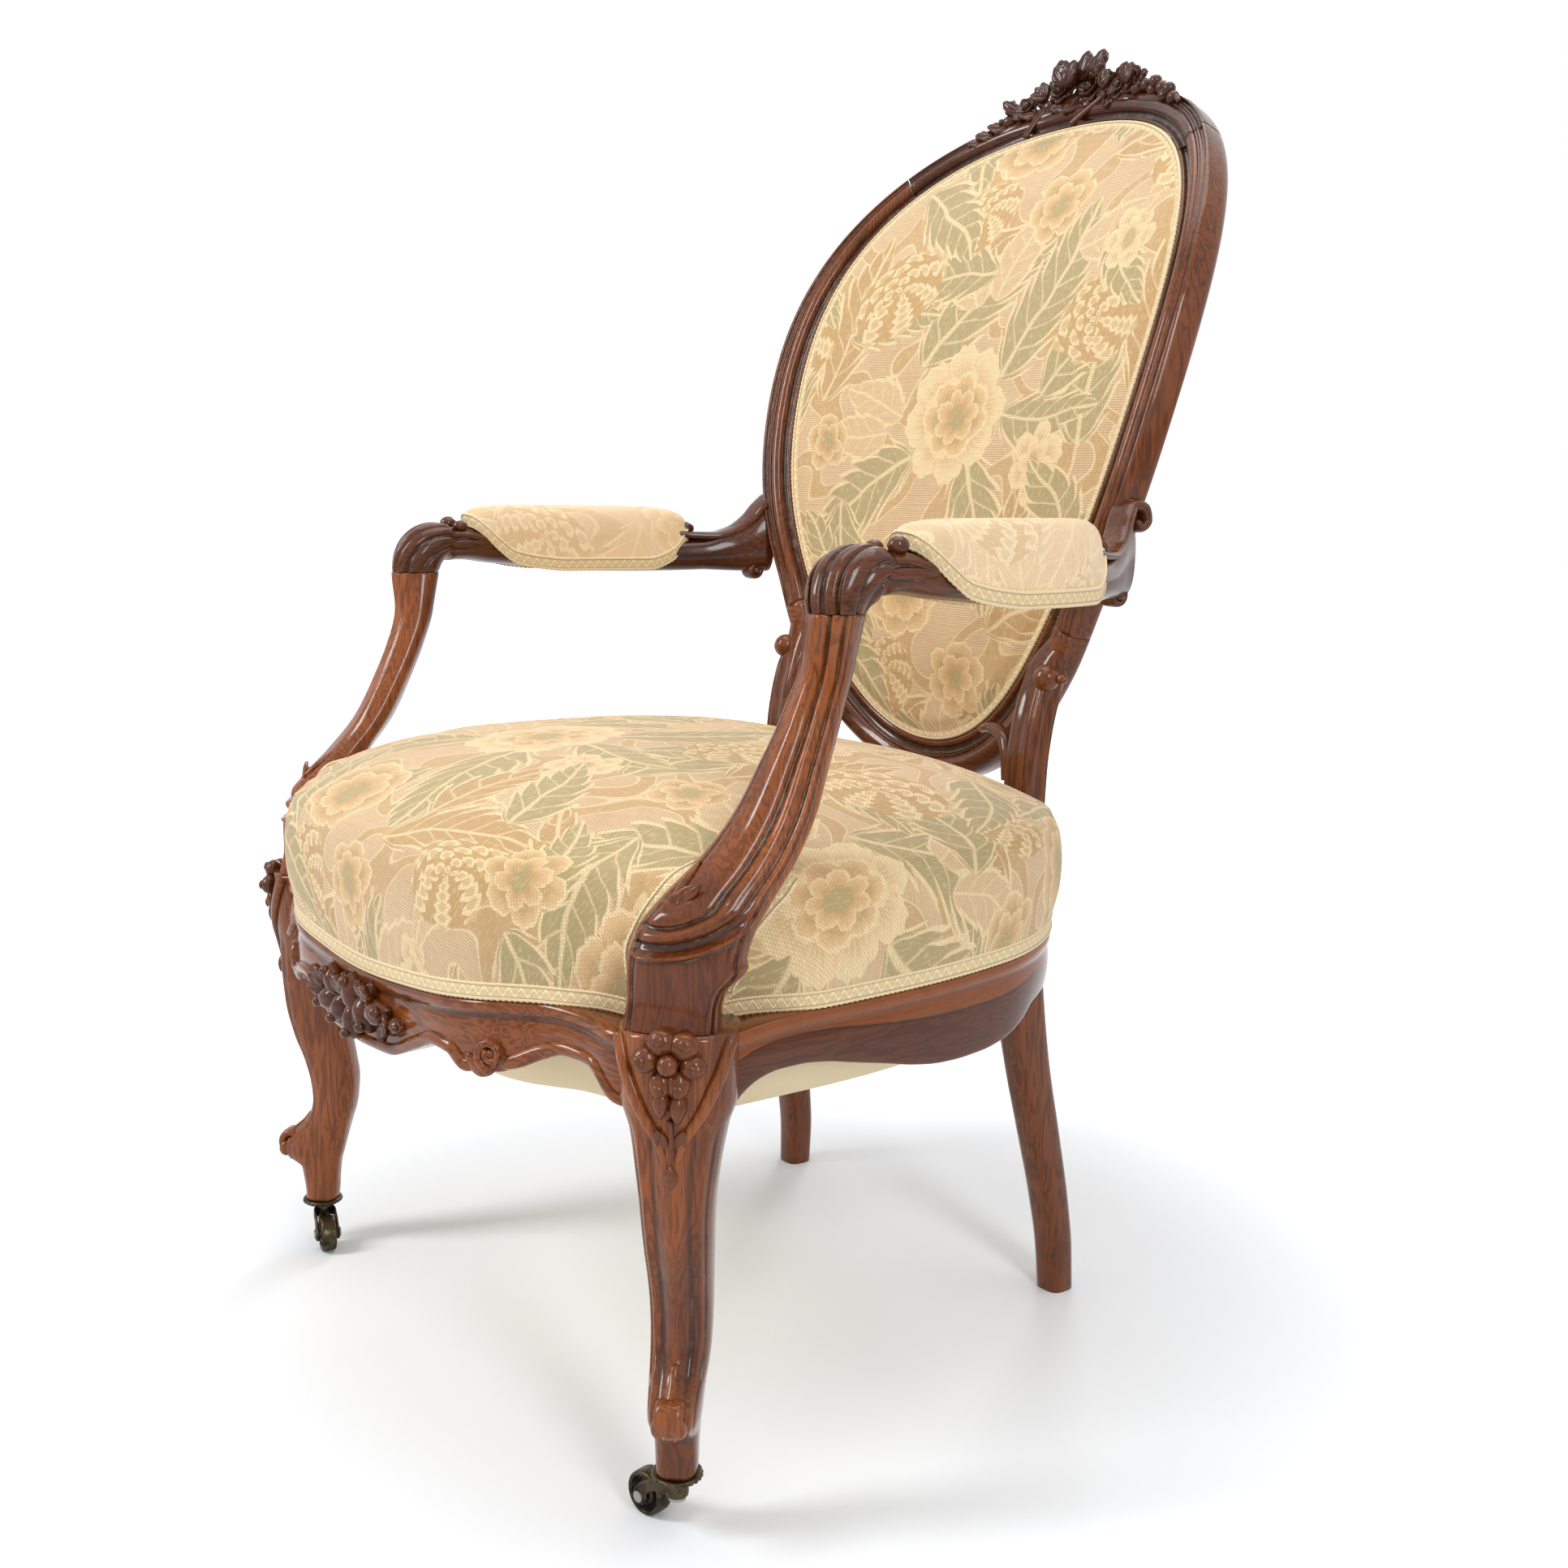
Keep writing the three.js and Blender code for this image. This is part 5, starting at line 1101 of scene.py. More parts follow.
def carved_piece(kind, spot, way, normal, size, turn=0.0):
    """One carved motif: a leaf, a pod with its seed, a rose of petals, a bud or a berry."""
    side = unit(np.cross(normal, way))
    if kind == "leaf":
        return [leaf(spot - way * size * 0.4, way, normal, size * 1.05, size * 0.5, size * 0.2, 3, 0.35, 0.3, 0.15)]
    if kind == "pod":
        seed = spot + way * size * 0.3 + normal * size * 0.28
        return [
            ellipsoid(spot, (size * 0.34, size * 0.52, size * 0.36), side, way, pinch=0.45),
            ellipsoid(seed, (size * 0.16, size * 0.16, size * 0.16), side, way, 8, 12),
        ]
    if kind == "bud":
        shells = [ellipsoid(spot, (size * 0.26, size * 0.42, size * 0.3), side, way, pinch=0.5)]
        for tilt in (-0.7, 0.0, 0.7):
            petal = unit(way + tilt * side)
            base = spot - way * size * 0.35 + normal * size * 0.06
            shells.append(leaf(base, petal, normal, size * 0.68, size * 0.3, size * 0.15, 0, 0.4, 0.5))
        return shells
    if kind == "berry":
        return [ellipsoid(spot, (size * 0.5, size * 0.5, size * 0.5), side, way, 10, 14)]
    shells = [ellipsoid(spot + normal * size * 0.24, (size * 0.18, size * 0.18, size * 0.18), side, way, 10, 14)]
    for ring, (count, length, curl) in enumerate(((6, 0.62, 0.15), (5, 0.42, 0.75))):
        for k in range(count):
            a = 2 * math.pi * (k + 0.5 * ring) / count + turn
            petal = math.cos(a) * side + math.sin(a) * way
            base = spot + petal * size * 0.06 + normal * size * 0.06 * ring
            shells.append(
                leaf(base, petal, normal, size * length * 0.9, size * 0.28, size * 0.12, 0, curl, 0.55)
            )
    return shells


def apron_carving_shells():
    shells = []
    for x, level, turn, size, kind in APRON_CARVINGS:
        knot = np.interp(x, [-0.115, -0.0595, 0, 0.0595, 0.115], [-2, -1, 0, 1, 2])
        spots, normals = rail_face(np.array([knot]), 0.0, 0.003)
        normal = normals[0]
        spot = np.array([spots[0][0], spots[0][1], 0.283 + level])
        side = unit(np.cross(UP, normal))
        a = math.radians(turn)
        shells += carved_piece(kind, spot, math.cos(a) * side + math.sin(a) * UP, normal, size * 1.15)
    spots, normals = rail_face(np.array([-0.12]), 0.0, 0.004)
    side = unit(np.cross(UP, normals[0]))
    shells.append(volute(spots[0] + [0, 0, 0.022], side, UP, 0.0125, 0.0035, 1.3, 0.0035, 0.010, 2.2, -1))
    return darkened(shells, 0.8)


# ---------------------------------------------------------------- arms


def support_lifts(share, s):
    """Height in mm of the arm support's carving at height shares (rows) and side shares (columns).

    Above the eye at s = -0.62, share = 0.315 the mouldings run up at a distance d = s + 0.62; below
    it d is the distance to the eye, one side unit to 0.081 of height, so they sweep round it."""
    h, s = share[:, None], s
    d = np.where(h > 0.315, s + 0.62, np.hypot(s + 0.62, (0.315 - h) / 0.081))
    rolls = (
        2.4 * bump(d - 0.32, 0.30) - 1.9 * bump(d - 0.76, 0.07) + 1.5 * bump(d - 0.98, 0.12)
        - 1.6 * bump(d - 1.26, 0.06)
    )
    above = smooth_table([[0, 0], [0.10, 0], [0.15, 0.35], [0.22, 1], [0.93, 1], [1, 0.7]], share)[:, None]
    bowl = -2.6 * bump(d - 1.38, 0.15) * smooth_table([[0, 1], [0.26, 1], [0.31, 0], [1, 0]], share)[:, None]
    lip = 1.9 * bump(d - 1.64, 0.07) * smooth_table([[0, 1], [0.22, 1], [0.30, 0], [1, 0]], share)[:, None]
    foot = smooth_table([[0, 1], [0.13, 1], [0.24, 0.7], [1, 0.5]], share)[:, None]
    border = foot * (
        1.2 * bump(s + 0.93, 0.045) - 1.1 * bump(s + 0.85, 0.035)
    )
    edge = foot * (1.1 * bump(s - 0.93, 0.045) - 1.1 * bump(s - 0.86, 0.03) + 1.0 * bump(s - 0.79, 0.05))
    return 1.45 * (above * rolls + bowl + lip + border + edge)


def arm_support_shells():
    """S-curved arm support: a loft whose outer face carries the mouldings that curl into its foot."""
    share = np.concatenate([np.linspace(0, 0.42, 130)[:-1], np.linspace(0.42, 1, 80)])
    centre, across, out, wide, deep = support_frame(share)
    cut = smooth_table(
        [[0, 0.80], [0.03, 0.74], [0.06, 0.70], [0.09, 0.74], [0.11, 0.82], [0.135, 0.98], [0.155, 1.05],
         [0.18, 1.01], [0.21, 1.0], [1, 1.0]], share
    )[:, None]
    section = superellipse(wide, deep, 216, 2.6)
    section[..., 0] *= np.where(section[..., 0] > 0, cut, 1.0)
    side = section[..., 0] / (wide[:, None] * np.where(section[..., 0] > 0, cut, 1.0))
    face = np.clip(section[..., 1] / deep[:, None] * 1.6, 0, 1)
    section[..., 1] += support_lifts(share, side) * face / 1000
    shells = [shell(place(centre, across, out, section))]
    steps = np.linspace(0, 1, 40)
    edge = smooth_table([[0, 0.40, -0.88], [0.35, 0.36, -0.80], [0.7, 0.325, -0.70], [1, 0.31, -0.55]], steps)
    spots, normals = support_spots(edge[:, 0], edge[:, 1], 0.0010)
    shells.append(tube(spots, 0.0030 * np.sin(np.pi * np.clip(steps, 0.05, 0.93)) ** 0.5, normals, 0.8))
    tip, normal = support_spots([0.325], [-0.62], 0.0016)
    way = unit(across[60] * 0.75 + UP * 0.9)
    shells.append(leaf(tip[0] - way * 0.012, way, normal[0], 0.028, 0.0062, 0.0020, 2, 0.1, 0.3, 0.2))
    bead, normal = support_spots([0.335], [-0.50], 0.0030)
    shells.append(ellipsoid(bead[0], (0.0040, 0.0040, 0.0036), across[40], UP, 8, 12))
    return shells


ELBOW_BEND = 0.0275
ARM_ROWS = (
    (0.03, 0, 0.36, 0.9, 0.98), (0.06, 0, 0.4, 0.92, 0.98), (0.12, 0, 0.44, 0.95, 0.97),
    (0.21, -0.03, 0.3, 1, 0.95),
    (0.3, -0.04, 0.18, 1, 0.95), (0.42, 0, 0, 1, 1), (0.54, 0.07, -0.08, 0.96, 1),
    (0.66, 0.2, -0.1, 0.88, 1), (0.74, 0.34, -0.08, 0.8, 1), (0.82, 0.52, -0.04, 0.72, 1),
    (0.89, 0.7, -0.06, 0.64, 1.3), (0.96, 0.9, -0.08, 0.6, 1.9), (1, 1, -0.08, 0.58, 2.15),
)
ARM_END = oval_place(np.radians([105.0]), np.array([FRAME_WIDTH]), np.array([FRAME_DEPTH / 3]))[0]
ARM_RUN = ARM_END[1] - ARM_FRONT
ARM_DRIFT = ARM_X - ARM_END[0]


def arm_table():
    """Rows of y, x, centre height, half width and half height along the arm."""
    rows = []
    for run, inward, rise, wide, high in ARM_ROWS:
        half = 0.015 * high
        rows.append([ARM_FRONT + ARM_RUN * run, ARM_X - ARM_DRIFT * inward,
                     ARM_JOINT + 0.0003 + 0.024 * rise + half, 0.023 * wide, half])
    return np.array(rows)


def arm_line(y):
    """Centre, half width and half height of the arm rail at depths y."""
    x, z, wide, high = smooth_table(arm_table(), y).T
    return np.column_stack([x, y, z]), wide, high


def elbow_rings(share):
    """The support's top section carried up and bent level over a quarter circle of 27.5 mm.

    At a share of the bend the section faces a turn from 60 to 90 degrees, tilted back by the bend."""
    bend, facing = np.pi / 2 * share, np.radians(60 + 30 * share)
    across = np.column_stack([np.sin(facing), np.cos(facing), 0 * share])
    forward = np.column_stack([np.cos(facing), -np.sin(facing), 0 * share])
    outer = forward * np.cos(bend)[:, None] + UP * np.sin(bend)[:, None]
    centre = np.column_stack([
        ARM_X - 0.0012 * (1 - share), ARM_FRONT + ELBOW_BEND * (1 - np.cos(bend)),
        ARM_JOINT + 0.0003 + ELBOW_BEND * np.sin(bend),
    ])
    belly = 0.0030 * np.sin(np.pi * share)
    return centre, across, outer, 0.01756 + 0.0032 * share + belly, 0.020 - 0.005 * share + belly


def arm_rail_shells():
    """Arm rail: the fluted elbow on the support's top, the rail, its beads and the scrolls behind."""
    share = np.linspace(0, 1, 70)
    elbow_centre, elbow_across, elbow_out, elbow_wide, elbow_deep = elbow_rings(share)
    y = np.linspace(ARM_FRONT + ELBOW_BEND, ARM_END[1], 130)[1:]
    centre, wide, high = arm_line(y)
    count = len(y)
    centre = np.concatenate([elbow_centre, centre])
    across = np.concatenate([elbow_across, np.tile([1.0, 0, 0], (count, 1))])
    out = np.concatenate([elbow_out, np.tile(UP, (count, 1))])
    wide, high = np.concatenate([elbow_wide, wide]), np.concatenate([elbow_deep, high])
    run = np.concatenate([share - 1, (y - y[0]) / 0.05])
    flute = smooth_table([[-1, 0.9], [-0.9, 1], [-0.1, 1], [0.25, 0.75], [0.7, 0], [9, 0]], run)[:, None] / 1000

    def lifts(s):
        grooves = sum(bump(s - g, 0.075) for g in (-0.62, -0.12, 0.42))
        return flute * (1.0 - 4.2 * grooves)

    section = moulded(superellipse(wide, high, 156, 2.5), wide, high, lifts)
    sideways = section[..., ::-1]
    for face in (1, -1):
        sideways = moulded(
            sideways, high, wide, lambda s: flute * (0.5 - 2.6 * bump(s - 0.35, 0.11) - 2.2 * bump(s + 0.3, 0.11)), face
        )
    shells = [shell(place(centre, across, out, sideways[..., ::-1]))]
    for side in (-1, 1):
        steps = np.linspace(0, 1, 60)
        path_y = ARM_FRONT + ELBOW_BEND + 0.004 + 0.090 * steps
        middle, half, up = arm_line(path_y)
        spots = middle + np.column_stack([side * half * 0.9, 0 * steps, up * (0.62 - 0.75 * steps**1.2)])
        shells.append(tube(spots, 0.0034 * np.sin(np.pi * np.clip(steps, 0.1, 0.97)) ** 0.4, (side, 0, 0.4), 0.8))
    ball = np.array([ARM_X + 0.012, ARM_FRONT + 0.040, ARM_JOINT + 0.0435])
    shells.append(ellipsoid(ball, (0.0070, 0.0078, 0.0064), (1, 0, 0), (0, 1, 0)))
    shells.append(ellipsoid(ball - [0.024, 0, 0.002], (0.0058, 0.0070, 0.0052), (1, 0, 0), (0, 1, 0)))
    scroll = np.array([
        [0.090, 0.641], [0.105, 0.6405], [0.118, 0.640], [0.130, 0.6385], [0.150, 0.638], [0.168, 0.643],
        [0.183, 0.655], [0.193, 0.668], [0.203, 0.676], [0.213, 0.673], [0.216, 0.664], [0.209, 0.658],
        [0.203, 0.663],
    ])
    path = smooth_table(np.column_stack([np.arange(13), scroll]), np.linspace(0, 12, 96))
    base, _, _ = arm_line(np.clip(path[:, 0], -0.1, ARM_END[1]))
    spots = np.column_stack([base[:, 0], path])
    face = unit(np.cross(along_path(spots), np.tile([1.0, 0, 0], (96, 1))))
    size = smooth_table([[0, 0.0022], [0.3, 0.0042], [0.75, 0.0050], [1, 0.0030]], np.linspace(0, 1, 96))
    section = superellipse(np.full(96, 0.0125), size, 28, 3.2)
    shells.append(shell(place(spots, np.tile([1.0, 0, 0], (96, 1)), face, section)))
    stub, _, _ = arm_line(np.array([0.128]))
    shells.append(ellipsoid([stub[0, 0] + 0.002, 0.128, ARM_JOINT + 0.040], (0.0075, 0.0062, 0.0085), (1, 0, 0), UP))
    foot, _, _ = arm_line(np.array([0.190]))
    curl = np.array([foot[0, 0], 0.184, ARM_JOINT - 0.0005])
    shells.append(volute(curl, (0, 1, 0), UP, 0.0095, 0.003, 1.3, 0.0036, 0.017, 1.75, -1))
    shells.append(ellipsoid(curl, (0.0115, 0.0044, 0.0044), (1, 0, 0), UP, 10, 12))
    return shells


# ---------------------------------------------------------------- crest carving

# Crest flowers: place along the oval from its top, rise above the frame, turn, size and kind
CREST_CARVINGS = (
    (-0.020, 0.0330, 0.019, 96, 0.030, "bud"), (-0.014, 0.0480, 0.010, 84, 0.024, "leaf"),
    (0.004, 0.0450, 0.012, 62, 0.024, "leaf"), (-0.036, 0.0440, 0.012, 112, 0.022, "leaf"),
    (-0.004, 0.0260, 0.000, 40, 0.026, "rose"), (-0.036, 0.0290, 0.004, 130, 0.022, "rose"),
    (0.020, 0.0280, 0.006, 50, 0.024, "bud"), (-0.056, 0.0300, 0.008, 140, 0.021, "bud"),
    (-0.050, 0.0160, 0.000, 170, 0.020, "pod"), (-0.072, 0.0230, 0.002, 160, 0.021, "rose"),
    (-0.090, 0.0150, 0.000, 185, 0.019, "pod"), (-0.086, 0.0260, 0.006, 150, 0.017, "leaf"),
    (-0.097, 0.0080, 0.001, 178, 0.017, "leaf"), (-0.108, 0.0040, 0.001, 182, 0.016, "leaf"),
    (-0.118, 0.0010, 0.001, 184, 0.013, "leaf"), (-0.066, 0.0090, 0.002, 195, 0.017, "leaf"),
    (-0.078, 0.0130, 0.003, 170, 0.015, "bud"), (-0.046, 0.0380, 0.006, 125, 0.017, "bud"),
    (-0.028, 0.0380, 0.004, 100, 0.018, "rose"), (0.012, 0.0370, 0.006, 75, 0.018, "bud"),
    (0.030, 0.0360, 0.004, 60, 0.017, "leaf"), (0.064, 0.0260, 0.006, 45, 0.015, "leaf"),
    (0.016, 0.0120, -0.001, 330, 0.022, "pod"), (0.036, 0.0180, 0.002, 20, 0.022, "rose"),
    (0.052, 0.0300, 0.008, 60, 0.024, "bud"), (0.046, 0.0200, 0.004, 30, 0.018, "leaf"),
    (0.062, 0.0150, 0.002, 10, 0.018, "pod"), (0.074, 0.0190, 0.004, 20, 0.012, "berry"),
    (0.083, 0.0150, 0.001, 0, 0.013, "berry"), (0.088, 0.0230, 0.006, 0, 0.012, "berry"),
    (0.098, 0.0180, 0.003, 0, 0.013, "berry"), (0.104, 0.0100, 0.001, 0, 0.013, "berry"),
    (0.112, 0.0180, 0.005, 0, 0.012, "berry"), (0.120, 0.0110, 0.002, 0, 0.012, "berry"),
    (-0.014, 0.0080, -0.002, 250, 0.024, "leaf"), (0.028, 0.0060, -0.002, 300, 0.020, "leaf"),
    (-0.030, 0.0090, -0.002, 215, 0.022, "leaf"),
)


def crest_basis(along, outset, depth=0.0):
    """A place on the crest at a length along the oval, with its sideways, outward and forward ways."""
    angle = np.array([along / (0.2819 + outset * 0.6)])
    out = lambda a, o, d: oval_place(a, np.array([o]), np.array([d]))[0]
    spot = out(angle, outset, depth)
    side = unit(out(angle + 0.01, outset, depth) - out(angle - 0.01, outset, depth))
    up = unit(out(angle, outset + 0.002, depth) - spot)
    return spot, side, up, unit(np.cross(side, up))


def crest_shells():
    """Crest rail with its cluster of flowers, leaves, cuff, scroll and berries."""
    shells = [frame_arc(-CREST_JOINT, CREST_JOINT, 120)]
    for along, outset, lift, turn, size, kind in CREST_CARVINGS:
        spot, side, up, face = crest_basis(along, 0.018 + outset * 0.62, -lift)
        a = math.radians(turn)
        shells += carved_piece(kind, spot, math.cos(a) * side + math.sin(a) * up, face, size * 0.98, turn)
    for along, outset, wide, high in (
        (-0.02, 0.026, 0.030, 0.018), (-0.055, 0.022, 0.030, 0.013), (0.03, 0.022, 0.030, 0.013),
        (-0.085, 0.018, 0.026, 0.007), (0.08, 0.020, 0.034, 0.008), (-0.016, 0.036, 0.014, 0.014),
    ):
        spot, side, up, face = crest_basis(along, outset, 0.006)
        shells.append(ellipsoid(spot, (wide, high, 0.010), side, up))
    for start, end in ((-0.062, -0.052), (-0.010, 0.022)):
        path, faces = [], []
        for s in np.linspace(0, 1, 24):
            spot, side, up, face = crest_basis(start + (end - start) * s, 0.001 + 0.026 * s, -0.0030)
            path.append(spot)
            faces.append(face)
        shells.append(tube(np.array(path), 0.0032, np.array(faces), 0.8))
    spot, side, up, face = crest_basis(0.030, 0.026, -0.004)
    shells.append(volute(spot, side, up, 0.010, 0.003, 1.2, 0.003, 0.009, 3.6, -1))
    path = []
    for s in np.linspace(0, 1, 40):
        spot, _, _, _ = crest_basis(0.034 + 0.10 * s, 0.0245 + 0.006 * math.sin(math.pi * s), -0.003)
        path.append(spot)
    shells.append(tube(np.array(path), np.linspace(0.0042, 0.0022, 40), face, 0.8))
    return shells


# ---------------------------------------------------------------- padding

CUSHION_WALL = ((0, 0), (0.12, 0.06), (0.3, 0.13), (0.62, 0.26), (0.92, 0.42), (1, 0.6), (0.78, 0.82), (0, 1))
CUSHION_DOME = ((1.0, 0), (0.93, 0.2), (0.84, 0.42), (0.68, 0.7), (0.48, 0.88), (0.25, 0.97), (0.0, 1.0))


def corner_inset(spot):
    away = np.hypot(np.abs(spot[:, 0]) - FRONT_LEG[0], spot[:, 1] - FRONT_LEG[1]) / CORNER_REACH
    return CORNER_INSET * np.exp(-(away**4))


def cushion_ring(knots, outset, level, spread=1.0):
    """The seat's outline drawn in at the front corners, set outward, then shrunk about the middle."""
    spot, outward, top = seat_plan(knots)
    flat = spot + outward * (outset - corner_inset(spot))[:, None]
    flat = (flat - [0, SEAT_MIDDLE]) * spread + [0, SEAT_MIDDLE]
    return np.column_stack([flat, np.broadcast_to(level, (len(spot),)) if np.ndim(level) == 0 else level])


def cushion_points(knots, rows_wall=26, rows_dome=44):
    _, _, top = seat_plan(knots)
    low = top + 0.0003
    high = RAIL_TOP + CUSHION_SIDE
    rings = []
    well = 1 - 0.046 / SEAT_HALF_WIDTH
    rings.append(cushion_ring(knots, 0.0, RAIL_TOP + 0.058, 0.02))
    rings.append(cushion_ring(knots, 0.0, RAIL_TOP + 0.058, well))
    rings.append(cushion_ring(knots, 0.0, low, well))
    wall = smooth_table([(i, *r) for i, r in enumerate(CUSHION_WALL)], np.linspace(0, 7, rows_wall))
    for outset, rise in wall[:-1]:
        rings.append(cushion_ring(knots, CUSHION_BULGE * outset, low + (high - low) * rise))
    dome = smooth_table([(i, *r) for i, r in enumerate(CUSHION_DOME)], np.linspace(0, 5.95, rows_dome))
    for spread, rise in dome:
        rings.append(cushion_ring(knots, 0.0, high + CUSHION_CROWN * rise, spread))
    return np.array(rings)


def seat_cushion_shell():
    knots = np.arange(360) * (2 * PLAN_KNOTS) / 360
    return shell(cushion_points(knots))


BACK_PAD_ROWS = ((-0.0008, 0.0120), (-0.0007, 0.0060), (-0.0008, 0.0020), (-0.0020, 0.0004), (-0.0050, -0.0010),
                 (-0.0090, -0.0028), (-0.0130, -0.0050), (-0.0170, -0.0075))
BACK_BULGE_ROWS = ((1.0, 0.26), (0.9, 0.42), (0.78, 0.68), (0.55, 0.9), (0.28, 0.98), (0.0, 1.0))


def back_pad_shell():
    """Back pad: the rim under the braid, then a bulge that shrinks the oval about its centre."""
    angle = np.linspace(0, 2 * np.pi, 361)[:-1]
    rings = []
    x, z = oval_edge(angle)
    for spread in (0.02, 0.5, 0.95):
        rings.append(back_place(x * spread, BACK_CENTRE + z * spread, np.full_like(x, 0.0120)))
    for outset, depth in BACK_PAD_ROWS:
        rings.append(oval_place(angle, np.full_like(angle, outset), np.full_like(angle, depth)))
    edge = rings[-1]
    for spread, share in smooth_table([(i, *r) for i, r in enumerate(BACK_BULGE_ROWS)], np.linspace(0.1, 4.95, 46)):
        flat_x, flat_z = edge[:, 0] * spread, BACK_CENTRE + (edge[:, 2] - BACK_CENTRE) * spread
        rings.append(back_place(flat_x, flat_z, np.full_like(flat_x, -BACK_PAD_BULGE * share)))
    return shell(np.array(rings))


PAD_EDGE_ROWS = np.array([
    [0, 0.05, 0.33], [0.012, 0.42, 0.35], [0.03, 0.72, 0.42], [0.06, 0.9, 0.55], [0.1, 0.98, 0.7], [0.17, 1.03, 0.88],
    [0.3, 1.04, 0.97], [0.4, 1.03, 1],
    [0.6, 1, 1], [0.78, 0.92, 1], [0.9, 0.7, 0.86], [0.97, 0.38, 0.6], [1, 0.05, 0.5],
])


def pad_edge(count, outset=0.0, rise=0.0):
    """The saddle shaped edge of an arm pad: once round, width and drop read along its length."""
    turn = 2 * np.pi * np.arange(count) / count
    share = 0.5 - 0.5 * np.cos(turn)
    width, drop = smooth_table(PAD_EDGE_ROWS, share).T
    ends = np.abs(np.sin(turn)) ** 0.25
    y = PAD_START + PAD_LENGTH * share
    spine, _, _ = arm_line(y)
    x = spine[:, 0] + np.sign(np.sin(turn)) * PAD_HALF_WIDTH * width * ends
    flat = np.column_stack([x, y])
    way = unit(np.roll(flat, -1, 0) - np.roll(flat, 1, 0))
    outward = np.column_stack([-way[:, 1], way[:, 0]]) * -1
    middle = np.array([ARM_X, PAD_START + PAD_LENGTH / 2])
    outward *= np.sign(((flat - middle) * outward).sum(1)).mean()
    flat = flat + outward * outset
    return np.column_stack([flat, ARM_JOINT + PAD_CROWN - PAD_CROWN * drop + rise]), outward


PAD_DOME = (
    (1.0, 0.0), (0.965, 0.2), (0.93, 0.42), (0.8, 0.72), (0.56, 0.92), (0.28, 0.99), (0.12, 1.0), (0.01, 1.0),
)


def pad_ring(edge, spread, rise, top=None):
    """A pad's edge drawn in to a share of its width about the arm's middle line, then lifted.

    The share of the length is 1 at a spread of 1, 0.58 at 0.3 and 0 at 0, so the last ring closes on a point.
    With a top, rise is the share of the way up to it. Without one the heights draw in too, and rise is a length."""
    middle = PAD_START + PAD_LENGTH / 2
    reach = np.interp(spread, [0, 0.3, 1], [0, 0.58, 1])
    y = middle + (edge[:, 1] - middle) * reach
    x = arm_line(y)[0][:, 0] + (edge[:, 0] - arm_line(edge[:, 1])[0][:, 0]) * spread
    if top is None:
        crown = edge[:, 2].max()
        return np.column_stack([x, y, crown + (edge[:, 2] - crown) * reach + rise])
    return np.column_stack([x, y, edge[:, 2] + (top - edge[:, 2]) * rise])


def arm_pad_shell():
    """Arm pad: its underside drawn in over the rail, its edge, and a dome read from PAD_DOME."""
    base, _ = pad_edge(160)
    rings = []
    for spread, rise in (
        (0.01, 0.012), (0.3, 0.012), (0.6, 0.012), (0.86, 0.004), (0.97, 0.0004), (1.0, 0.0012), (1.0, 0.006)
    ):
        rings.append(pad_ring(base, spread, rise))
    wall, _ = pad_edge(160, 0.0006, BRAID_WIDTH)
    for spread, rise in smooth_table([(i, *r) for i, r in enumerate(PAD_DOME)], np.linspace(0, 7, 40)):
        rings.append(pad_ring(wall, spread, rise, ARM_JOINT + PAD_CROWN))
    return shell(np.array(rings))


def sheet_shell(lower, upper):
    """A thin closed sheet from its lower and upper rows of rings, each from the middle outward."""
    return shell(np.array(list(lower) + list(upper)[::-1]))


def bottom_cloth_shell():
    knots = np.arange(200) * (2 * PLAN_KNOTS) / 200
    spot, outward, _ = seat_plan(knots)
    edge = spot + outward * -0.0266
    rings = []
    for spread in np.linspace(0.01, 1, 26):
        flat = (edge - [0, SEAT_MIDDLE]) * spread + [0, SEAT_MIDDLE]
        sag = 0.052 * (1 - spread**14)
        ripple = 0.0010 * np.sin(9 * np.arctan2(flat[:, 0], flat[:, 1])) * spread**3 * (1 - spread)
        rings.append(np.column_stack([flat, RAIL_TOP - 0.036 - sag + ripple]))
    thick = [r + [0, 0, 0.0015] for r in rings]
    return sheet_shell(rings, thick)


def outside_cover_shell():
    angle = np.linspace(0, 2 * np.pi, 241)[:-1]
    x, z = oval_edge(angle)
    edge = oval_place(angle, np.full_like(angle, -0.0006), np.full_like(angle, 0.026))
    lower, upper = [], []
    for spread in np.linspace(0.01, 1, 20):
        fx, fz = edge[:, 0] * spread, BACK_CENTRE + (edge[:, 2] - BACK_CENTRE) * spread
        swell = 0.0015 * (1 - spread**2)
        lower.append(back_place(fx, fz, np.full_like(fx, 0.0262 + swell)))
        upper.append(back_place(fx, fz, np.full_like(fx, 0.0282 + swell)))
    return sheet_shell(lower, upper)


# ---------------------------------------------------------------- braid

BRAID_STEP = 0.0009


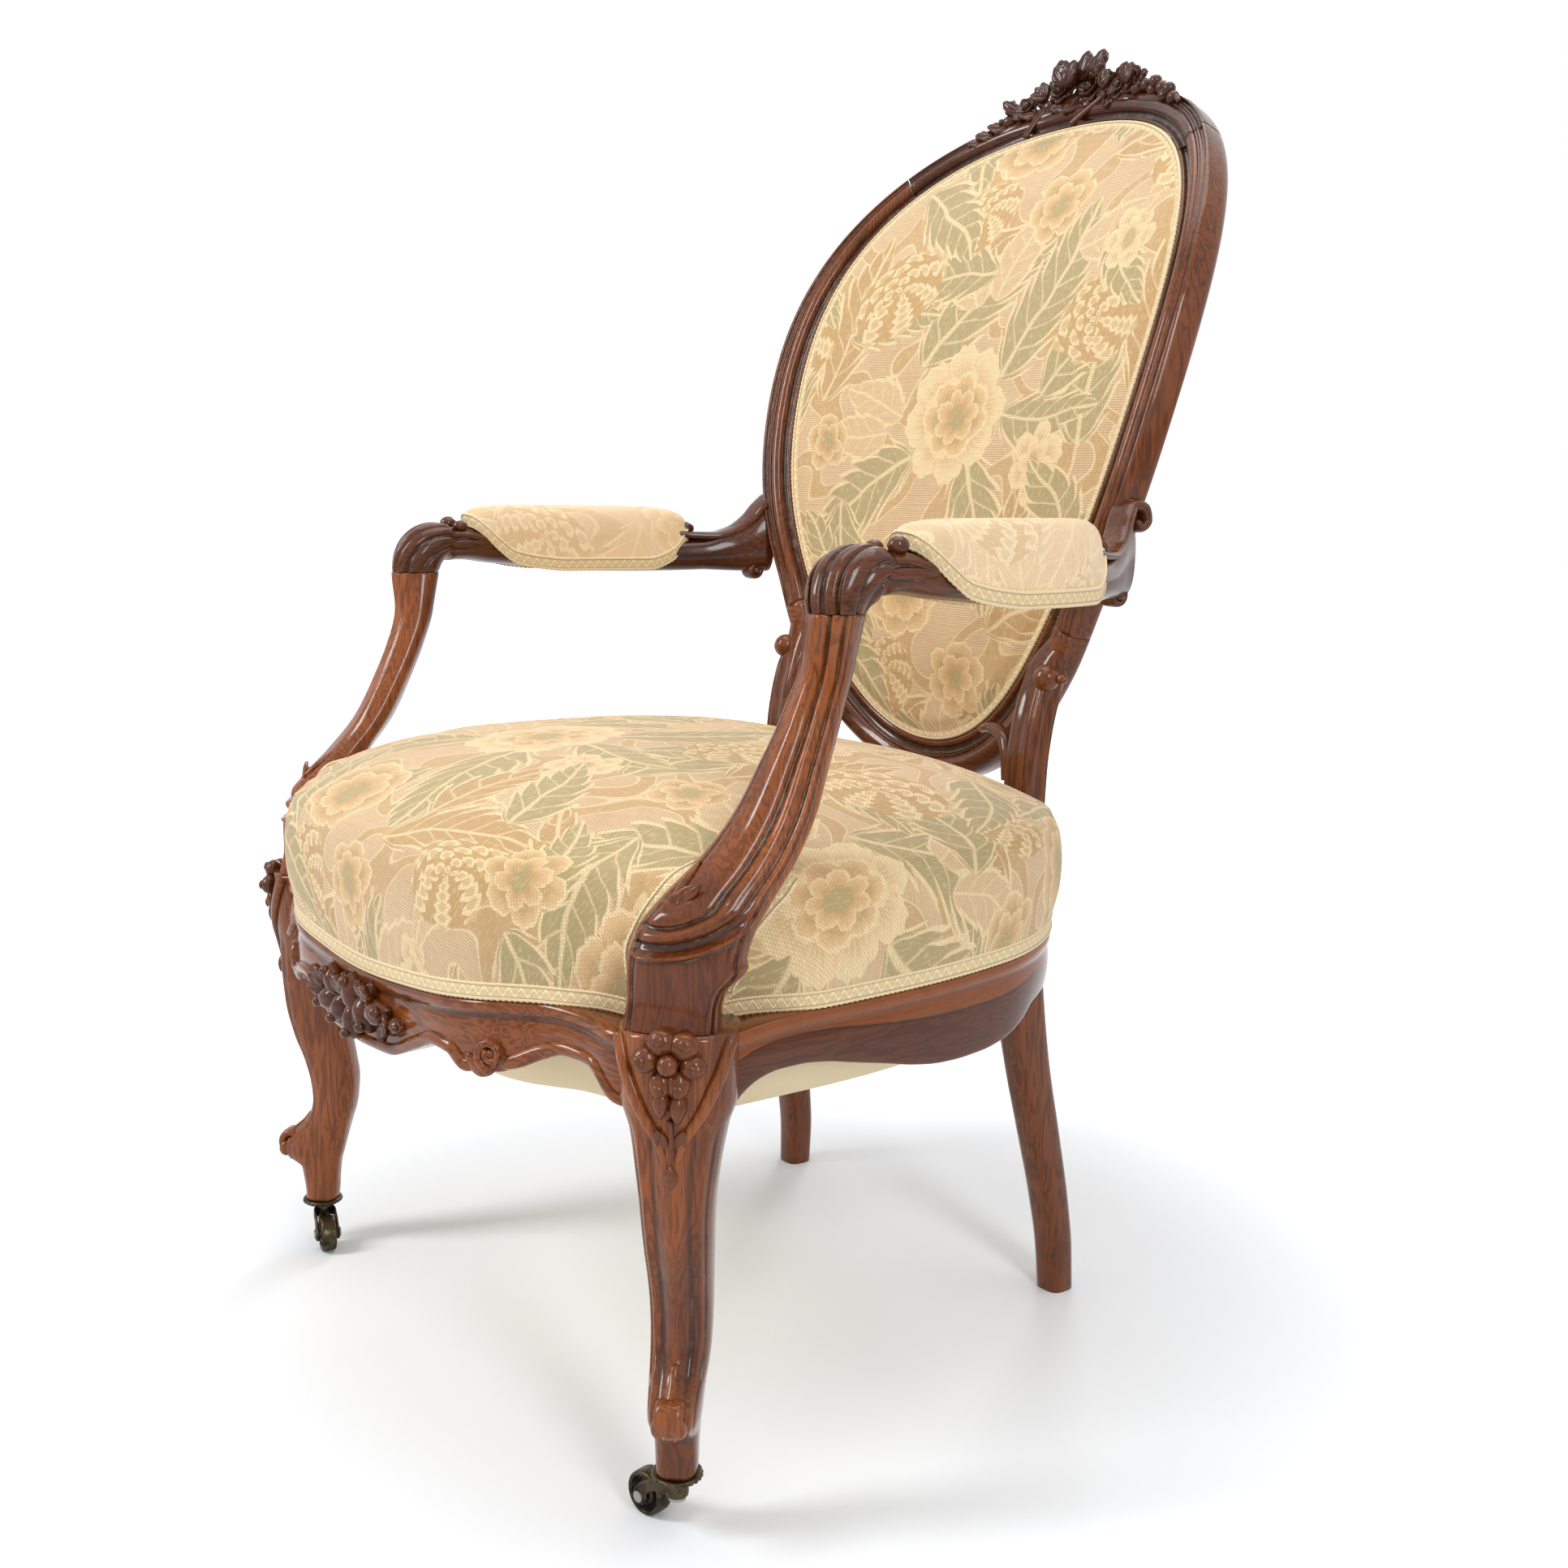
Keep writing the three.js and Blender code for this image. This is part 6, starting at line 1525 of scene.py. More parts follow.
def braid_shell(path, side, out, closed=False, width=1.0, scallop=(1.0, 1.0)):
    """Gimp braid along a path: corded edges, a raised middle and scalloped borders.

    width is a share of the braid's set width.

    Across a in -1..1 the height is 0.9 mm at both cords and 0.7 mm in the middle; each border is
    pushed out by 0.7 mm times |sin(pi length / 4.4 mm)|."""
    step = np.linalg.norm(np.diff(path, axis=0), axis=1)
    length = np.concatenate([[0], np.cumsum(step)])
    if closed:
        total = length[-1] + np.linalg.norm(path[0] - path[-1])
        path, side, out = (np.concatenate([v, v[:1]]) for v in (path, side, out))
        length = np.append(length, total)
    count = int(length[-1] / BRAID_STEP)
    at = np.linspace(0, length[-1], count)
    rows = np.column_stack([length, path, side, out])
    spots = np.column_stack([np.interp(at, length, rows[:, 1 + k]) for k in range(9)])
    spot, side, out = spots[:, :3], unit(spots[:, 3:6]), unit(spots[:, 6:])
    a = np.linspace(-1, 1, 19)[None, :]
    turns = max(round(length[-1] / 0.0044), 1)
    wave = np.abs(np.sin(np.pi * turns * at / length[-1]))[:, None]
    cords = 0.0011 * np.exp(-(((np.abs(a) - 0.80) / 0.17) ** 2))
    height = 0.0009 + cords + 0.0006 * bump(a, 0.42) - 0.0006 * bump(np.abs(a) - 1.02, 0.09)
    border = np.where(a > 0, scallop[1], scallop[0]) * 0.00075 * wave * bump(np.abs(a) - 1, 0.12)
    reach = a * width * bpy.context.scene.armchair_trim.width / 2 + np.sign(a) * border
    top = spot[:, None] + reach[..., None] * side[:, None] + height[..., None] * out[:, None]
    bottom = spot[:, None] + (reach[:, ::6] * 0.98)[:, ::-1, None] * side[:, None] - 0.0003 * out[:, None]
    points = np.concatenate([top, bottom], 1)
    u = np.concatenate([(a[0] + 1) / 2, np.linspace(1, 0, bottom.shape[1] + 1)])
    uv = np.stack([np.broadcast_to(u, (count, len(u))), np.broadcast_to(at[:, None], (count, len(u)))], -1)
    return shell(points, caps=not closed, uv=uv)


def seat_braid_shells(first, last, down=0.0):
    """Braid on the cushion's foot between two knots of the seat plan."""
    knots = np.linspace(first, last, 400)
    spot, outward, top = seat_plan(knots)
    inset = corner_inset(spot)
    path = plan_point(spot, outward, 0.0, top + 0.0003 + BRAID_WIDTH / 2)
    path[:, :2] -= outward * (inset - 0.0014)[:, None]
    out = np.column_stack([outward, np.full(len(spot), 0.12)])
    side = np.tile(UP, (len(spot), 1))
    return braid_shell(path, side, unit(out))


def cushion_strip_shells(cushion):
    """Braid up both edges of an arm support: the cushion's nearest points to the support's edge lines."""
    mesh = cushion.data
    count = len(mesh.vertices)
    co = np.empty(count * 3)
    mesh.vertices.foreach_get("co", co)
    tree = BVHTree.FromPolygons(
        [Vector(v) for v in co.reshape(-1, 3)], [tuple(p.vertices) for p in mesh.polygons]
    )
    shells = []
    for hand in (1, -1):
        for edge in (-1, 1):
            share = np.linspace(0.03, 0.42, 40)
            centre, across, out, wide, deep = support_frame(share)
            line = centre + across * (edge * (wide + 0.0015))[:, None] + out * (deep * 0.1)[:, None]
            line = line * [hand, 1, 1]
            found = [tree.find_nearest(Vector(p) + Vector((0, DRAWING_SHIFT, 0))) for p in line]
            spots = np.array([f[0] for f in found]) - [0, DRAWING_SHIFT, 0]
            normals = unit(np.array([f[1] for f in found]))
            kernel = np.ones(5) / 5
            smooth = lambda v: np.column_stack(
                [np.convolve(np.pad(v[:, k], 2, mode="edge"), kernel, "valid") for k in range(3)]
            )
            spots, normals = smooth(spots), unit(smooth(normals))
            way = along_path(spots)
            side = unit(np.cross(normals, way))
            shells.append(braid_shell(spots + normals * 0.0004, side, normals, width=0.92))
    return shells


def arm_braid_shells():
    edge, outward = pad_edge(220, 0.0007)
    spots = edge + [0, 0, BRAID_WIDTH / 2 + 0.0004]
    out = np.column_stack([outward, np.full(len(outward), 0.05)])
    return [braid_shell(spots, np.tile(UP, (len(spots), 1)), unit(out), closed=True)]


def back_braid_shells():
    angle = np.linspace(0, 2 * np.pi, 481)[:-1]
    spots = oval_place(angle, np.full_like(angle, -0.0063), np.full_like(angle, -0.0004))
    edge = oval_place(angle, np.full_like(angle, 0.002), np.full_like(angle, -0.0004))
    front = oval_place(angle, np.full_like(angle, -0.0063), np.full_like(angle, -0.005))
    return [braid_shell(spots, unit(edge - spots), unit(front - spots), closed=True)]


# ---------------------------------------------------------------- inside and below


def web_strap_shell(along_x, middle, length, level):
    """A flat jute strap under the springs: a plank of 9 by 60 points with a slight sag."""
    a = np.linspace(-0.5, 0.5, 60)[:, None]
    b = np.concatenate([np.linspace(-0.5, 0.5, 9), np.linspace(0.5, -0.5, 9)])[None, :]
    thick = np.concatenate([np.full(9, 0.0), np.full(9, 0.0016)])[None, :]
    z = level + thick - 0.0012 * (1 - (2 * a) ** 2)
    run, width = a * length + 0 * b, b * 0.048 + 0 * a
    x, y = (run, middle + width) if along_x else (middle + width, SEAT_MIDDLE + run)
    uv_b = np.concatenate([b[0], b[0][:1]]) * 0.048
    uv = np.stack([np.broadcast_to(uv_b, (60, 19)), np.broadcast_to(a * length, (60, 19))], -1)
    return shell(np.stack([x, y, z], -1), uv=uv)


def spring_shell(x, y, low, high):
    """An hourglass coil of 5.5 turns: the radius is waist + (end - waist) (2h - 1)^2 up its height."""
    h = np.linspace(0, 1, 240)
    rise = smooth_table([[0, 0], [0.12, 0.0], [0.5, 0.5], [0.88, 1.0], [1, 1.0]], h)
    radius = 0.022 + 0.012 * (2 * rise - 1) ** 2
    turn = 2 * np.pi * 5.5 * h
    z = low + 0.0018 + (high - low - 0.0036) * rise
    path = np.column_stack([x + radius * np.cos(turn), y + radius * np.sin(turn), z])
    return tube(path, 0.0016, UP, sides=10)


def lathe(profile, centre, axis, sides=48):
    """Turns a closed profile of (distance along the axis, radius) rows about the axis."""
    axis = unit(np.asarray(axis, float))
    first = unit(np.cross(axis, [0.31, 0.17, 0.93] if abs(axis[2]) < 0.9 else [1.0, 0, 0]))
    second = np.cross(axis, first)
    rows = np.asarray(profile, float)
    steps = np.linspace(0, len(rows) - 1, 4 * len(rows))
    run, radius = smooth_table(np.column_stack([np.arange(len(rows)), rows]), steps).T
    turn = 2 * np.pi * np.arange(sides) / sides
    ring = np.cos(turn)[:, None] * first + np.sin(turn)[:, None] * second
    points = np.asarray(centre, float) + run[:, None, None] * axis + radius[:, None, None] * ring[None]
    return shell(points)


def caster_plate_shells(hand):
    """Cup under the leg: a turned dish with a ring of 24 beads and a stepped collar below."""
    x, y, top = hand * FRONT_LEG[0], FRONT_LEG[1], FRONT_LEG_FOOT - 0.0003
    profile = [
        [0.0, 0.0005], [0.0, 0.0140], [-0.0004, 0.0166], [-0.0014, 0.0172], [-0.0026, 0.0168],
        [-0.0034, 0.0156], [-0.0044, 0.0150], [-0.0054, 0.0138], [-0.0060, 0.0110], [-0.0064, 0.0070],
        [-0.0065, 0.0005],
    ]
    shells = [lathe(profile, (x, y, top), UP)]
    for k in range(24):
        a = 2 * math.pi * k / 24
        way = np.array([math.cos(a), math.sin(a), 0.0])
        spot = np.array([x, y, top - 0.0022]) + way * 0.0161
        shells.append(ellipsoid(spot, (0.0018, 0.0017, 0.0016), np.cross(UP, way), UP, 7, 9))
    return shells


def caster_place(hand):
    """Axle centre, axle direction and the way back from the pintle of one caster."""
    name = "left" if hand > 0 else "right"
    joint = next(j for j in frame["joints"] if j["name"] == "caster_roll_" + name)
    centre, axis = np.array(joint["pos_m"], float), unit(np.array(joint["axis"], float))
    centre = centre - [0, DRAWING_SHIFT, 0]
    pintle = np.array([hand * FRONT_LEG[0], FRONT_LEG[1], centre[2]])
    return centre, axis, unit((centre - pintle) * [1, 1, 0]), pintle


def caster_wheel_shells(hand):
    centre, axis, _, _ = caster_place(hand)
    half = 0.0065
    profile = [
        [-half, 0.0042], [-half, 0.0062], [-half * 0.9, 0.0072], [-half * 0.62, 0.0090],
        [-half * 0.72, 0.0115], [-half * 0.95, 0.0128], [-half * 0.98, 0.0142], [-half * 0.8, 0.0153],
        [-half * 0.4, 0.0155], [half * 0.4, 0.0155], [half * 0.8, 0.0153], [half * 0.98, 0.0142],
        [half * 0.95, 0.0128], [half * 0.72, 0.0115], [half * 0.62, 0.0090], [half * 0.9, 0.0072],
        [half, 0.0062], [half, 0.0042],
    ]
    one = lathe(profile, centre, axis, 56)
    one["caps"] = False
    one["points"] = np.concatenate([one["points"], one["points"][:1]])
    return [one]


def caster_fork_shells(hand):
    """Boss round the pintle and two curved arms that hold the axle."""
    centre, axis, back, pintle = caster_place(hand)
    shells = []
    boss = [[0, 0.0045], [0, 0.0066], [0.001, 0.0078], [0.004, 0.0080], [0.0085, 0.0076], [0.0105, 0.0066],
            [0.0108, 0.0045]]
    one = lathe(boss, pintle + UP * 0.0076, UP, 40)
    one["caps"] = False
    one["points"] = np.concatenate([one["points"], one["points"][:1]])
    shells.append(one)
    for side in (-1, 1):
        offset = axis * side * 0.0088
        path = np.array([
            pintle + UP * 0.0130 + back * 0.0030 + offset * 0.62,
            pintle + UP * 0.0135 + back * 0.0090 + offset * 0.95,
            pintle + UP * 0.0115 + back * 0.0160 + offset,
            centre + UP * 0.0060 - back * 0.0030 + offset,
            centre - back * 0.0005 + offset,
        ])
        rows = np.column_stack([np.arange(5), path])
        spots = smooth_table(rows, np.linspace(0, 4, 30))
        width = smooth_table([[0, 0.0050], [0.5, 0.0040], [1, 0.0052]], np.linspace(0, 1, 30))
        shells.append(tube(spots, width, axis * side, 0.32, 16, squareness=3.0))
        shells.append(lathe([[-0.0014, 0.0005], [-0.0014, 0.0058], [0.0, 0.0064], [0.0016, 0.0056], [0.0020, 0.0005]],
                            centre + offset, axis * side, 32))
    return shells


# ---------------------------------------------------------------- cloth and braid finishes


def uv_of(tree):
    return add_node(tree, "ShaderNodeAttribute", attribute_name="UVMap").outputs["Vector"]


def band(value, middle, width):
    """1 where the value is within a width of the middle, soft at the edges."""
    return 1.0 - (value - middle).abs().step(width * 0.6, width)


def make_leaf_group():
    """A curled, lobed leaf laid over the colour under it.

    Along p from stalk (0) to tip (1) and across q - curl p^2, the half width is
    sin(pi p^0.8)^0.7 (1 - notch + notch fract(lobes (p - |q| / 5))^0.6); e = |q| / width is 1 on the edge."""
    group, source, sink = new_group(
        "cloth_leaf",
        [("Vector", "Vector", None), ("Curl", "Float", 0.3), ("Lobes", "Float", 6.0), ("Notch", "Float", 0.4),
         ("Under", "Color", None), ("Fill", "Color", None), ("Rib", "Color", None), ("Outline", "Color", None),
         ("Height", "Float", 0.0)],
        [("Color", "Color"), ("Height", "Float")],
    )
    t, ins = group, source.outputs
    p, q, _ = parts_of(t, ins["Vector"])
    q = q - p * p * ins["Curl"]
    side = q.abs()
    share = p.clamp()
    step = ((share - side * 0.2) * ins["Lobes"]).math("FRACT")
    notch = Wire(t, ins["Notch"])
    width = (share.power(0.8) * 3.1416).sin().most(0.0).power(0.7) * (1.0 - notch + notch * step.power(0.6))
    edge = side / (width + 0.002)
    inside = 1.0 - edge.step(0.92, 1.04)
    hatch = ((share - side * 0.35) * ins["Lobes"] * 25.13).sin() * 0.5 + 0.5
    veins = (step - 0.5).abs().step(0.40, 0.49) * (1.0 - edge.step(0.6, 0.95))
    rib = 1.0 - side.step(0.03, 0.09)
    fill = mix(t, hatch * 0.40, ins["Fill"], ins["Rib"])
    fill = mix(t, (veins * 0.7).most(rib * 0.9), fill, ins["Outline"])
    colour = mix(t, inside, ins["Under"], fill)
    line = band(edge, 1.03, 0.12) * (1.0 - p.step(0.985, 1.0)) * p.step(0.0, 0.02)
    connect(t, mix(t, line, colour, ins["Outline"]), sink.inputs["Color"])
    connect(t, (inside * 0.5).most(line * 0.8).most(ins["Height"]), sink.inputs["Height"])
    return group


def make_flower_group():
    """A flower laid over the colour under it: frilled outer petals, an inner flower and a dotted heart.

    The edge is r = 1 - d + d |cos(n a / 2)|^0.5 with 2 percent of frill; the inner one, at 0.6, is turned
    by half a petal."""
    group, source, sink = new_group(
        "cloth_flower",
        [("Vector", "Vector", None), ("Petals", "Float", 7.0), ("Depth", "Float", 0.25), ("Under", "Color", None),
         ("Outer", "Color", None), ("Inner", "Color", None), ("Heart", "Color", None), ("Outline", "Color", None),
         ("Height", "Float", 0.0)],
        [("Color", "Color"), ("Height", "Float")],
    )
    t, ins = group, source.outputs
    x, y, _ = parts_of(t, ins["Vector"])
    r = (x * x + y * y).power(0.5)
    turn = y.math("ARCTAN2", x) * ins["Petals"] * 0.5
    depth = Wire(t, ins["Depth"])
    frill = (turn * 7.0).sin() * 0.018
    lobe, between = turn.cos().abs(), turn.sin().abs()
    edge = r / (1.0 - depth + depth * lobe.power(0.5) + frill)
    inner = r / (0.62 - depth * 0.6 + depth * between.power(0.6) * 0.7 + frill)
    outer = mix(t, edge.step(0.55, 0.98), ins["Inner"], ins["Outer"])
    outer = mix(t, (1.0 - lobe.step(0.06, 0.22)) * 0.8, outer, ins["Inner"])
    fine = ((turn * 14.0).sin() * 0.5 + 0.5) * (1.0 - edge.step(0.6, 0.9))
    outer = mix(t, fine * 0.45, outer, ins["Heart"])
    petals = mix(t, edge.step(0.94, 1.0), outer, ins["Under"])
    core = 1.0 - inner.step(0.94, 1.02)
    petals = mix(t, core, petals, mix(t, inner.step(0.35, 1.0), ins["Inner"], ins["Outer"]))
    dots = ((x * 42.0).sin() * (y * 42.0).sin()).step(0.0, 0.25)
    heart = 1.0 - (x * x * 1.5 + y * y * 0.8).power(0.5).step(0.27, 0.31)
    petals = mix(t, heart * (0.45 + dots * 0.55), petals, ins["Heart"])
    lines = band(edge, 1.0, 0.05).most(band(inner, 1.0, 0.08) * 0.8)
    connect(t, mix(t, lines, petals, ins["Outline"]), sink.inputs["Color"])
    inside = 1.0 - edge.step(0.96, 1.03)
    connect(t, (inside * 0.55 + core * 0.15).most(lines * 0.8).most(ins["Height"]), sink.inputs["Height"])
    return group


def make_scales_group():
    """A fan of overlapping scales laid over the colour under it.

    In rings of 0.17 and 22 steps of a turn, every other ring moved by half a step, a scale is the oval
    (2 c)^2 + ((f - 0.4) / 0.6)^2 < 0.8; the fan ends at r = 1."""
    group, source, sink = new_group(
        "cloth_scales",
        [("Vector", "Vector", None), ("Under", "Color", None), ("Outer", "Color", None), ("Inner", "Color", None),
         ("Height", "Float", 0.0)],
        [("Color", "Color"), ("Height", "Float")],
    )
    t, ins = group, source.outputs
    x, y, _ = parts_of(t, ins["Vector"])
    r = (x * x + y * y).power(0.5)
    rows = r / 0.17
    row = rows.math("FLOOR")
    f = rows.math("FRACT")
    column = y.math("ARCTAN2", x) * (row * 0.9 + 3.5) + row * 1.57
    c = (column * 0.5).sin()
    scale = (1.0 - c.abs().power(1.5)) * 1.1 - (f - 0.35).abs() * 0.9
    shape = scale.step(0.12, 0.2)
    heart = scale.step(0.62, 0.72)
    inside = 1.0 - (r + c.abs() * 0.10).step(0.93, 1.0)
    fill = mix(t, shape, ins["Inner"], ins["Outer"])
    fill = mix(t, heart * 0.6, fill, ins["Inner"])
    connect(t, mix(t, inside, ins["Under"], fill), sink.inputs["Color"])
    connect(t, (inside * shape * 0.6).most(ins["Height"]), sink.inputs["Height"])
    return group


# Motifs of one repeat, first the lowest: kind, place, turn, length, half width, curl or petals, colours
CLOTH_REPEAT = (0.47, 0.53)
CLOTH_MOTIFS = (
    ("leaf", -0.215, 0.02, 75, 0.20, 0.040, 0.9, 7, "ochre"), ("leaf", 0.10, -0.24, 35, 0.19, 0.040, -1.0, 7, "ochre"),
    ("leaf", -0.06, 0.19, -12, 0.17, 0.034, 1.0, 6, "ochre"), ("leaf", -0.10, -0.19, 165, 0.16, 0.036, -0.9, 6, "ochre"),
    ("leaf", 0.205, -0.04, 100, 0.18, 0.040, -0.8, 7, "sage"), ("leaf", -0.07, 0.055, 62, 0.19, 0.046, -1.3, 7, "sage"),
    ("leaf", 0.055, 0.045, 58, 0.20, 0.048, 0.9, 8, "sage"), ("leaf", 0.035, -0.05, -62, 0.18, 0.044, -0.7, 7, "sage"),
    ("leaf", -0.055, -0.045, 205, 0.18, 0.044, 1.1, 7, "sage"), ("leaf", 0.07, 0.00, -15, 0.14, 0.034, 1.2, 6, "sage"),
    ("leaf", -0.155, -0.10, -80, 0.17, 0.042, 0.9, 7, "sage"), ("leaf", 0.01, -0.13, -110, 0.13, 0.032, -1.0, 6, "sage"),
    ("leaf", -0.08, 0.00, 150, 0.10, 0.030, 0.5, 5, "spray"), ("leaf", -0.10, -0.02, 185, 0.09, 0.026, -0.5, 5, "spray"),
    ("leaf", -0.015, 0.12, 118, 0.11, 0.030, 0.4, 6, "spray"), ("leaf", 0.015, 0.13, 82, 0.12, 0.028, -0.4, 6, "spray"),
    ("leaf", 0.115, 0.175, 20, 0.10, 0.028, 0.6, 5, "spray"), ("leaf", 0.11, -0.10, -30, 0.11, 0.030, 0.5, 5, "spray"),
    ("leaf", -0.20, 0.10, 20, 0.13, 0.032, -0.9, 6, "sage"), ("leaf", 0.13, 0.02, 45, 0.14, 0.036, 1.1, 6, "sage"),
    ("leaf", 0.00, 0.165, 175, 0.14, 0.034, 0.9, 6, "sage"), ("leaf", 0.12, -0.19, 95, 0.12, 0.034, -1.0, 5, "ochre"),
    ("leaf", -0.145, -0.22, 110, 0.12, 0.030, 0.8, 6, "sage"),
    ("scales", -0.145, 0.145, 40, 0.070, 0.058, 0, 0, "cream"), ("scales", 0.185, 0.095, 90, 0.056, 0.064, 0, 0, "cream"),
    ("flower", 0.0, 0.0, 10, 0.070, 0.078, 8, 0.20, "cream"), ("flower", 0.150, -0.055, 25, 0.040, 0.044, 6, 0.42, "cream"),
    ("flower", 0.0, 0.0, 34, 0.044, 0.050, 7, 0.30, "peach"), ("scales", -0.06, 0.232, 60, 0.050, 0.050, 0, 0, "cream"),
    ("leaf", 0.165, 0.205, -65, 0.12, 0.030, 0.9, 6, "sage"), ("flower", 0.190, 0.185, 5, 0.034, 0.036, 6, 0.36, "cream"),
    ("leaf", 0.215, -0.16, 110, 0.13, 0.034, 0.9, 6, "sage"), ("leaf", -0.165, -0.255, -25, 0.14, 0.036, -1.0, 6, "sage"),
    ("leaf", -0.215, -0.21, 230, 0.12, 0.030, 0.8, 6, "spray"), ("scales", 0.225, -0.245, 30, 0.060, 0.056, 0, 0, "cream"),
    ("flower", -0.175, -0.205, 12, 0.042, 0.044, 6, 0.36, "peach"),
    ("flower", -0.035, -0.195, 0, 0.062, 0.056, 7, 0.22, "peach"), ("flower", -0.195, -0.03, 30, 0.034, 0.034, 5, 0.34, "peach"),
    ("flower", 0.055, 0.235, 15, 0.044, 0.044, 6, 0.30, "peach"),
)


def motif_coordinates(tree, uv, x, y, turn, length, width, height):
    """The cloth's place seen from a motif: wrapped into one repeat, turned and scaled to the motif.

    Threads that cross raised work under them are pushed aside by 0.2 mm."""
    shift = add_node(
        tree, "ShaderNodeVectorMath", {0: height, 1: (0.0002, 0.0002, 0.0), 2: (-x, -y, 0.0)},
        operation="MULTIPLY_ADD",
    ).outputs[0]
    from_motif = add_node(tree, "ShaderNodeVectorMath", {0: uv, 1: shift}, operation="ADD").outputs[0]
    half = (CLOTH_REPEAT[0] / 2, CLOTH_REPEAT[1] / 2, 1.0)
    near = add_node(
        tree, "ShaderNodeVectorMath", {0: from_motif, 1: half, 2: tuple(-h for h in half)}, operation="WRAP"
    ).outputs[0]
    mapping = add_node(tree, "ShaderNodeMapping", {"Vector": near}, vector_type="TEXTURE")
    mapping.inputs["Rotation"].default_value = (0.0, 0.0, math.radians(turn))
    mapping.inputs["Scale"].default_value = (length, width, 1.0)
    return mapping.outputs[0]


def make_cloth_group(name, size, moved):
    """Woven floral furnishing cloth on metre coordinates: ribs, leaves and flowers with pale outlines, and painted
    shade in its hollows.
    """
    group, source, sink = new_group(
        name,
        [("Ground", "Color", None), ("Shade", "Color", None), ("Cream", "Color", None),
         ("Peach", "Color", None), ("Sage", "Color", None), ("Ochre", "Color", None),
         ("Rib Spacing", "Float", 0.0021)],
        [("Color", "Color"), ("Height", "Float")],
    )
    t = group
    ins = source.outputs
    kinds = {"leaf": make_leaf_group, "flower": make_flower_group, "scales": make_scales_group}
    groups = {kind: bpy.data.node_groups.get("cloth_" + kind) or make() for kind, make in kinds.items()}
    plain = uv_of(t)
    warp = add_node(t, "ShaderNodeTexNoise", {"Vector": plain, "Scale": 11.0, "Detail": 2.0})
    shift = add_node(
        t, "ShaderNodeVectorMath", {0: warp.outputs["Color"], 1: (0.5, 0.5, 0.5)}, operation="SUBTRACT"
    ).outputs[0]
    amount = add_node(t, "ShaderNodeVectorMath", {0: shift}, operation="SCALE")
    amount.inputs["Scale"].default_value = 0.030
    bent = add_node(t, "ShaderNodeVectorMath", {0: plain, 1: amount.outputs[0]}, operation="ADD").outputs[0]
    mapping = add_node(t, "ShaderNodeMapping", {"Vector": bent})
    mapping.inputs["Scale"].default_value = (1 / size, 1 / size, 1.0)
    mapping.inputs["Location"].default_value = (*moved, 0.0)
    uv = mapping.outputs[0]
    u, v, _ = parts_of(t, plain)
    blotch = noise(t, plain, 9.0, 3.0, 0.6)
    slub = noise(t, vector_of(t, u * 0.15, v), 420.0, 2.0, 0.6)
    pick = noise(t, vector_of(t, u, v * 0.22), 620.0, 1.0, 0.5)
    rib = (v * 6.2832 / ins["Rib Spacing"]).sin() * 0.5 + 0.5
    weft = (u * 6.2832 / 0.0013).sin() * 0.5 + 0.5
    colour = mix(t, (blotch.step(0.35, 0.7) * 0.3 + rib * 0.75 - 0.15).clamp(), ins["Ground"], ins["Shade"])
    du, dv, _ = parts_of(t, uv)
    swirl = ((du * 58.0 + (dv * 37.0).sin() * 1.4).sin() * 2.1 + dv * 64.0 + (du * 23.0 + dv * 47.0).cos() * 1.5).sin()
    colour = mix(t, swirl.step(0.35, 0.5) * 0.7, colour, ins["Ochre"])
    colour = mix(t, band(swirl, 0.42, 0.16) * 0.7, colour, ins["Cream"])
    height = swirl.step(0.35, 0.5) * 0.3
    for kind, x, y, turn, length, width, first, second, dye in CLOTH_MOTIFS:
        inputs = {
            "Vector": motif_coordinates(t, uv, x, y, turn, length, width, height), "Under": colour,
            "Height": height,
        }
        if kind == "leaf":
            spray = dye == "spray"
            inputs |= {
                "Curl": first, "Lobes": float(second), "Notch": 0.16 if spray else 0.42,
                "Fill": ins["Ground"] if spray else ins[dye.title()], "Rib": ins["Ochre"] if spray else ins["Shade"],
                "Outline": ins["Cream"],
            }
        elif kind == "flower":
            inputs |= {
                "Petals": float(first), "Depth": second, "Outer": ins["Cream" if dye == "cream" else "Peach"],
                "Inner": ins["Peach" if dye == "cream" else "Ochre"], "Heart": ins["Sage"], "Outline": ins["Cream"],
            }
        else:
            inputs |= {"Outer": ins["Cream"], "Inner": ins["Ochre"]}
        motif = use_group(t, groups[kind], inputs)
        colour, height = motif.outputs["Color"], Wire(t, motif.outputs["Height"])
    figure = height.step(0.1, 0.5)
    cross = (u * 6.2832 / 0.0036).sin() * (v * 6.2832 / 0.0036).sin()
    colour = mix(t, cross.step(-0.2, 0.7) * figure * 0.42, colour, ins["Shade"])
    grain = (slub * 0.9 + pick * 0.8 + weft * 0.3 + rib * 0.3 - 0.85).clamp()
    colour = mix(t, grain * 0.8, colour, ins["Shade"])
    colour = mix(t, pick.step(0.50, 0.70) * 0.24, colour, ins["Cream"])
    relief = Wire(t, add_node(t, "ShaderNodeAttribute", attribute_name="relief").outputs["Fac"])
    # painted shade: the cloth's hollows and creases are darkened toward the shade colour
    colour = mix(t, relief.step(0.15, 0.7) * 0.35, colour, ins["Shade"])
    connect(t, colour, sink.inputs["Color"])
    connect(t, height * 0.6 + rib * (1.0 - figure * 0.7) * 0.45 + weft * 0.15 + slub * 0.25 + pick * 0.2
            + cross * figure * 0.15, sink.inputs["Height"])
    return group


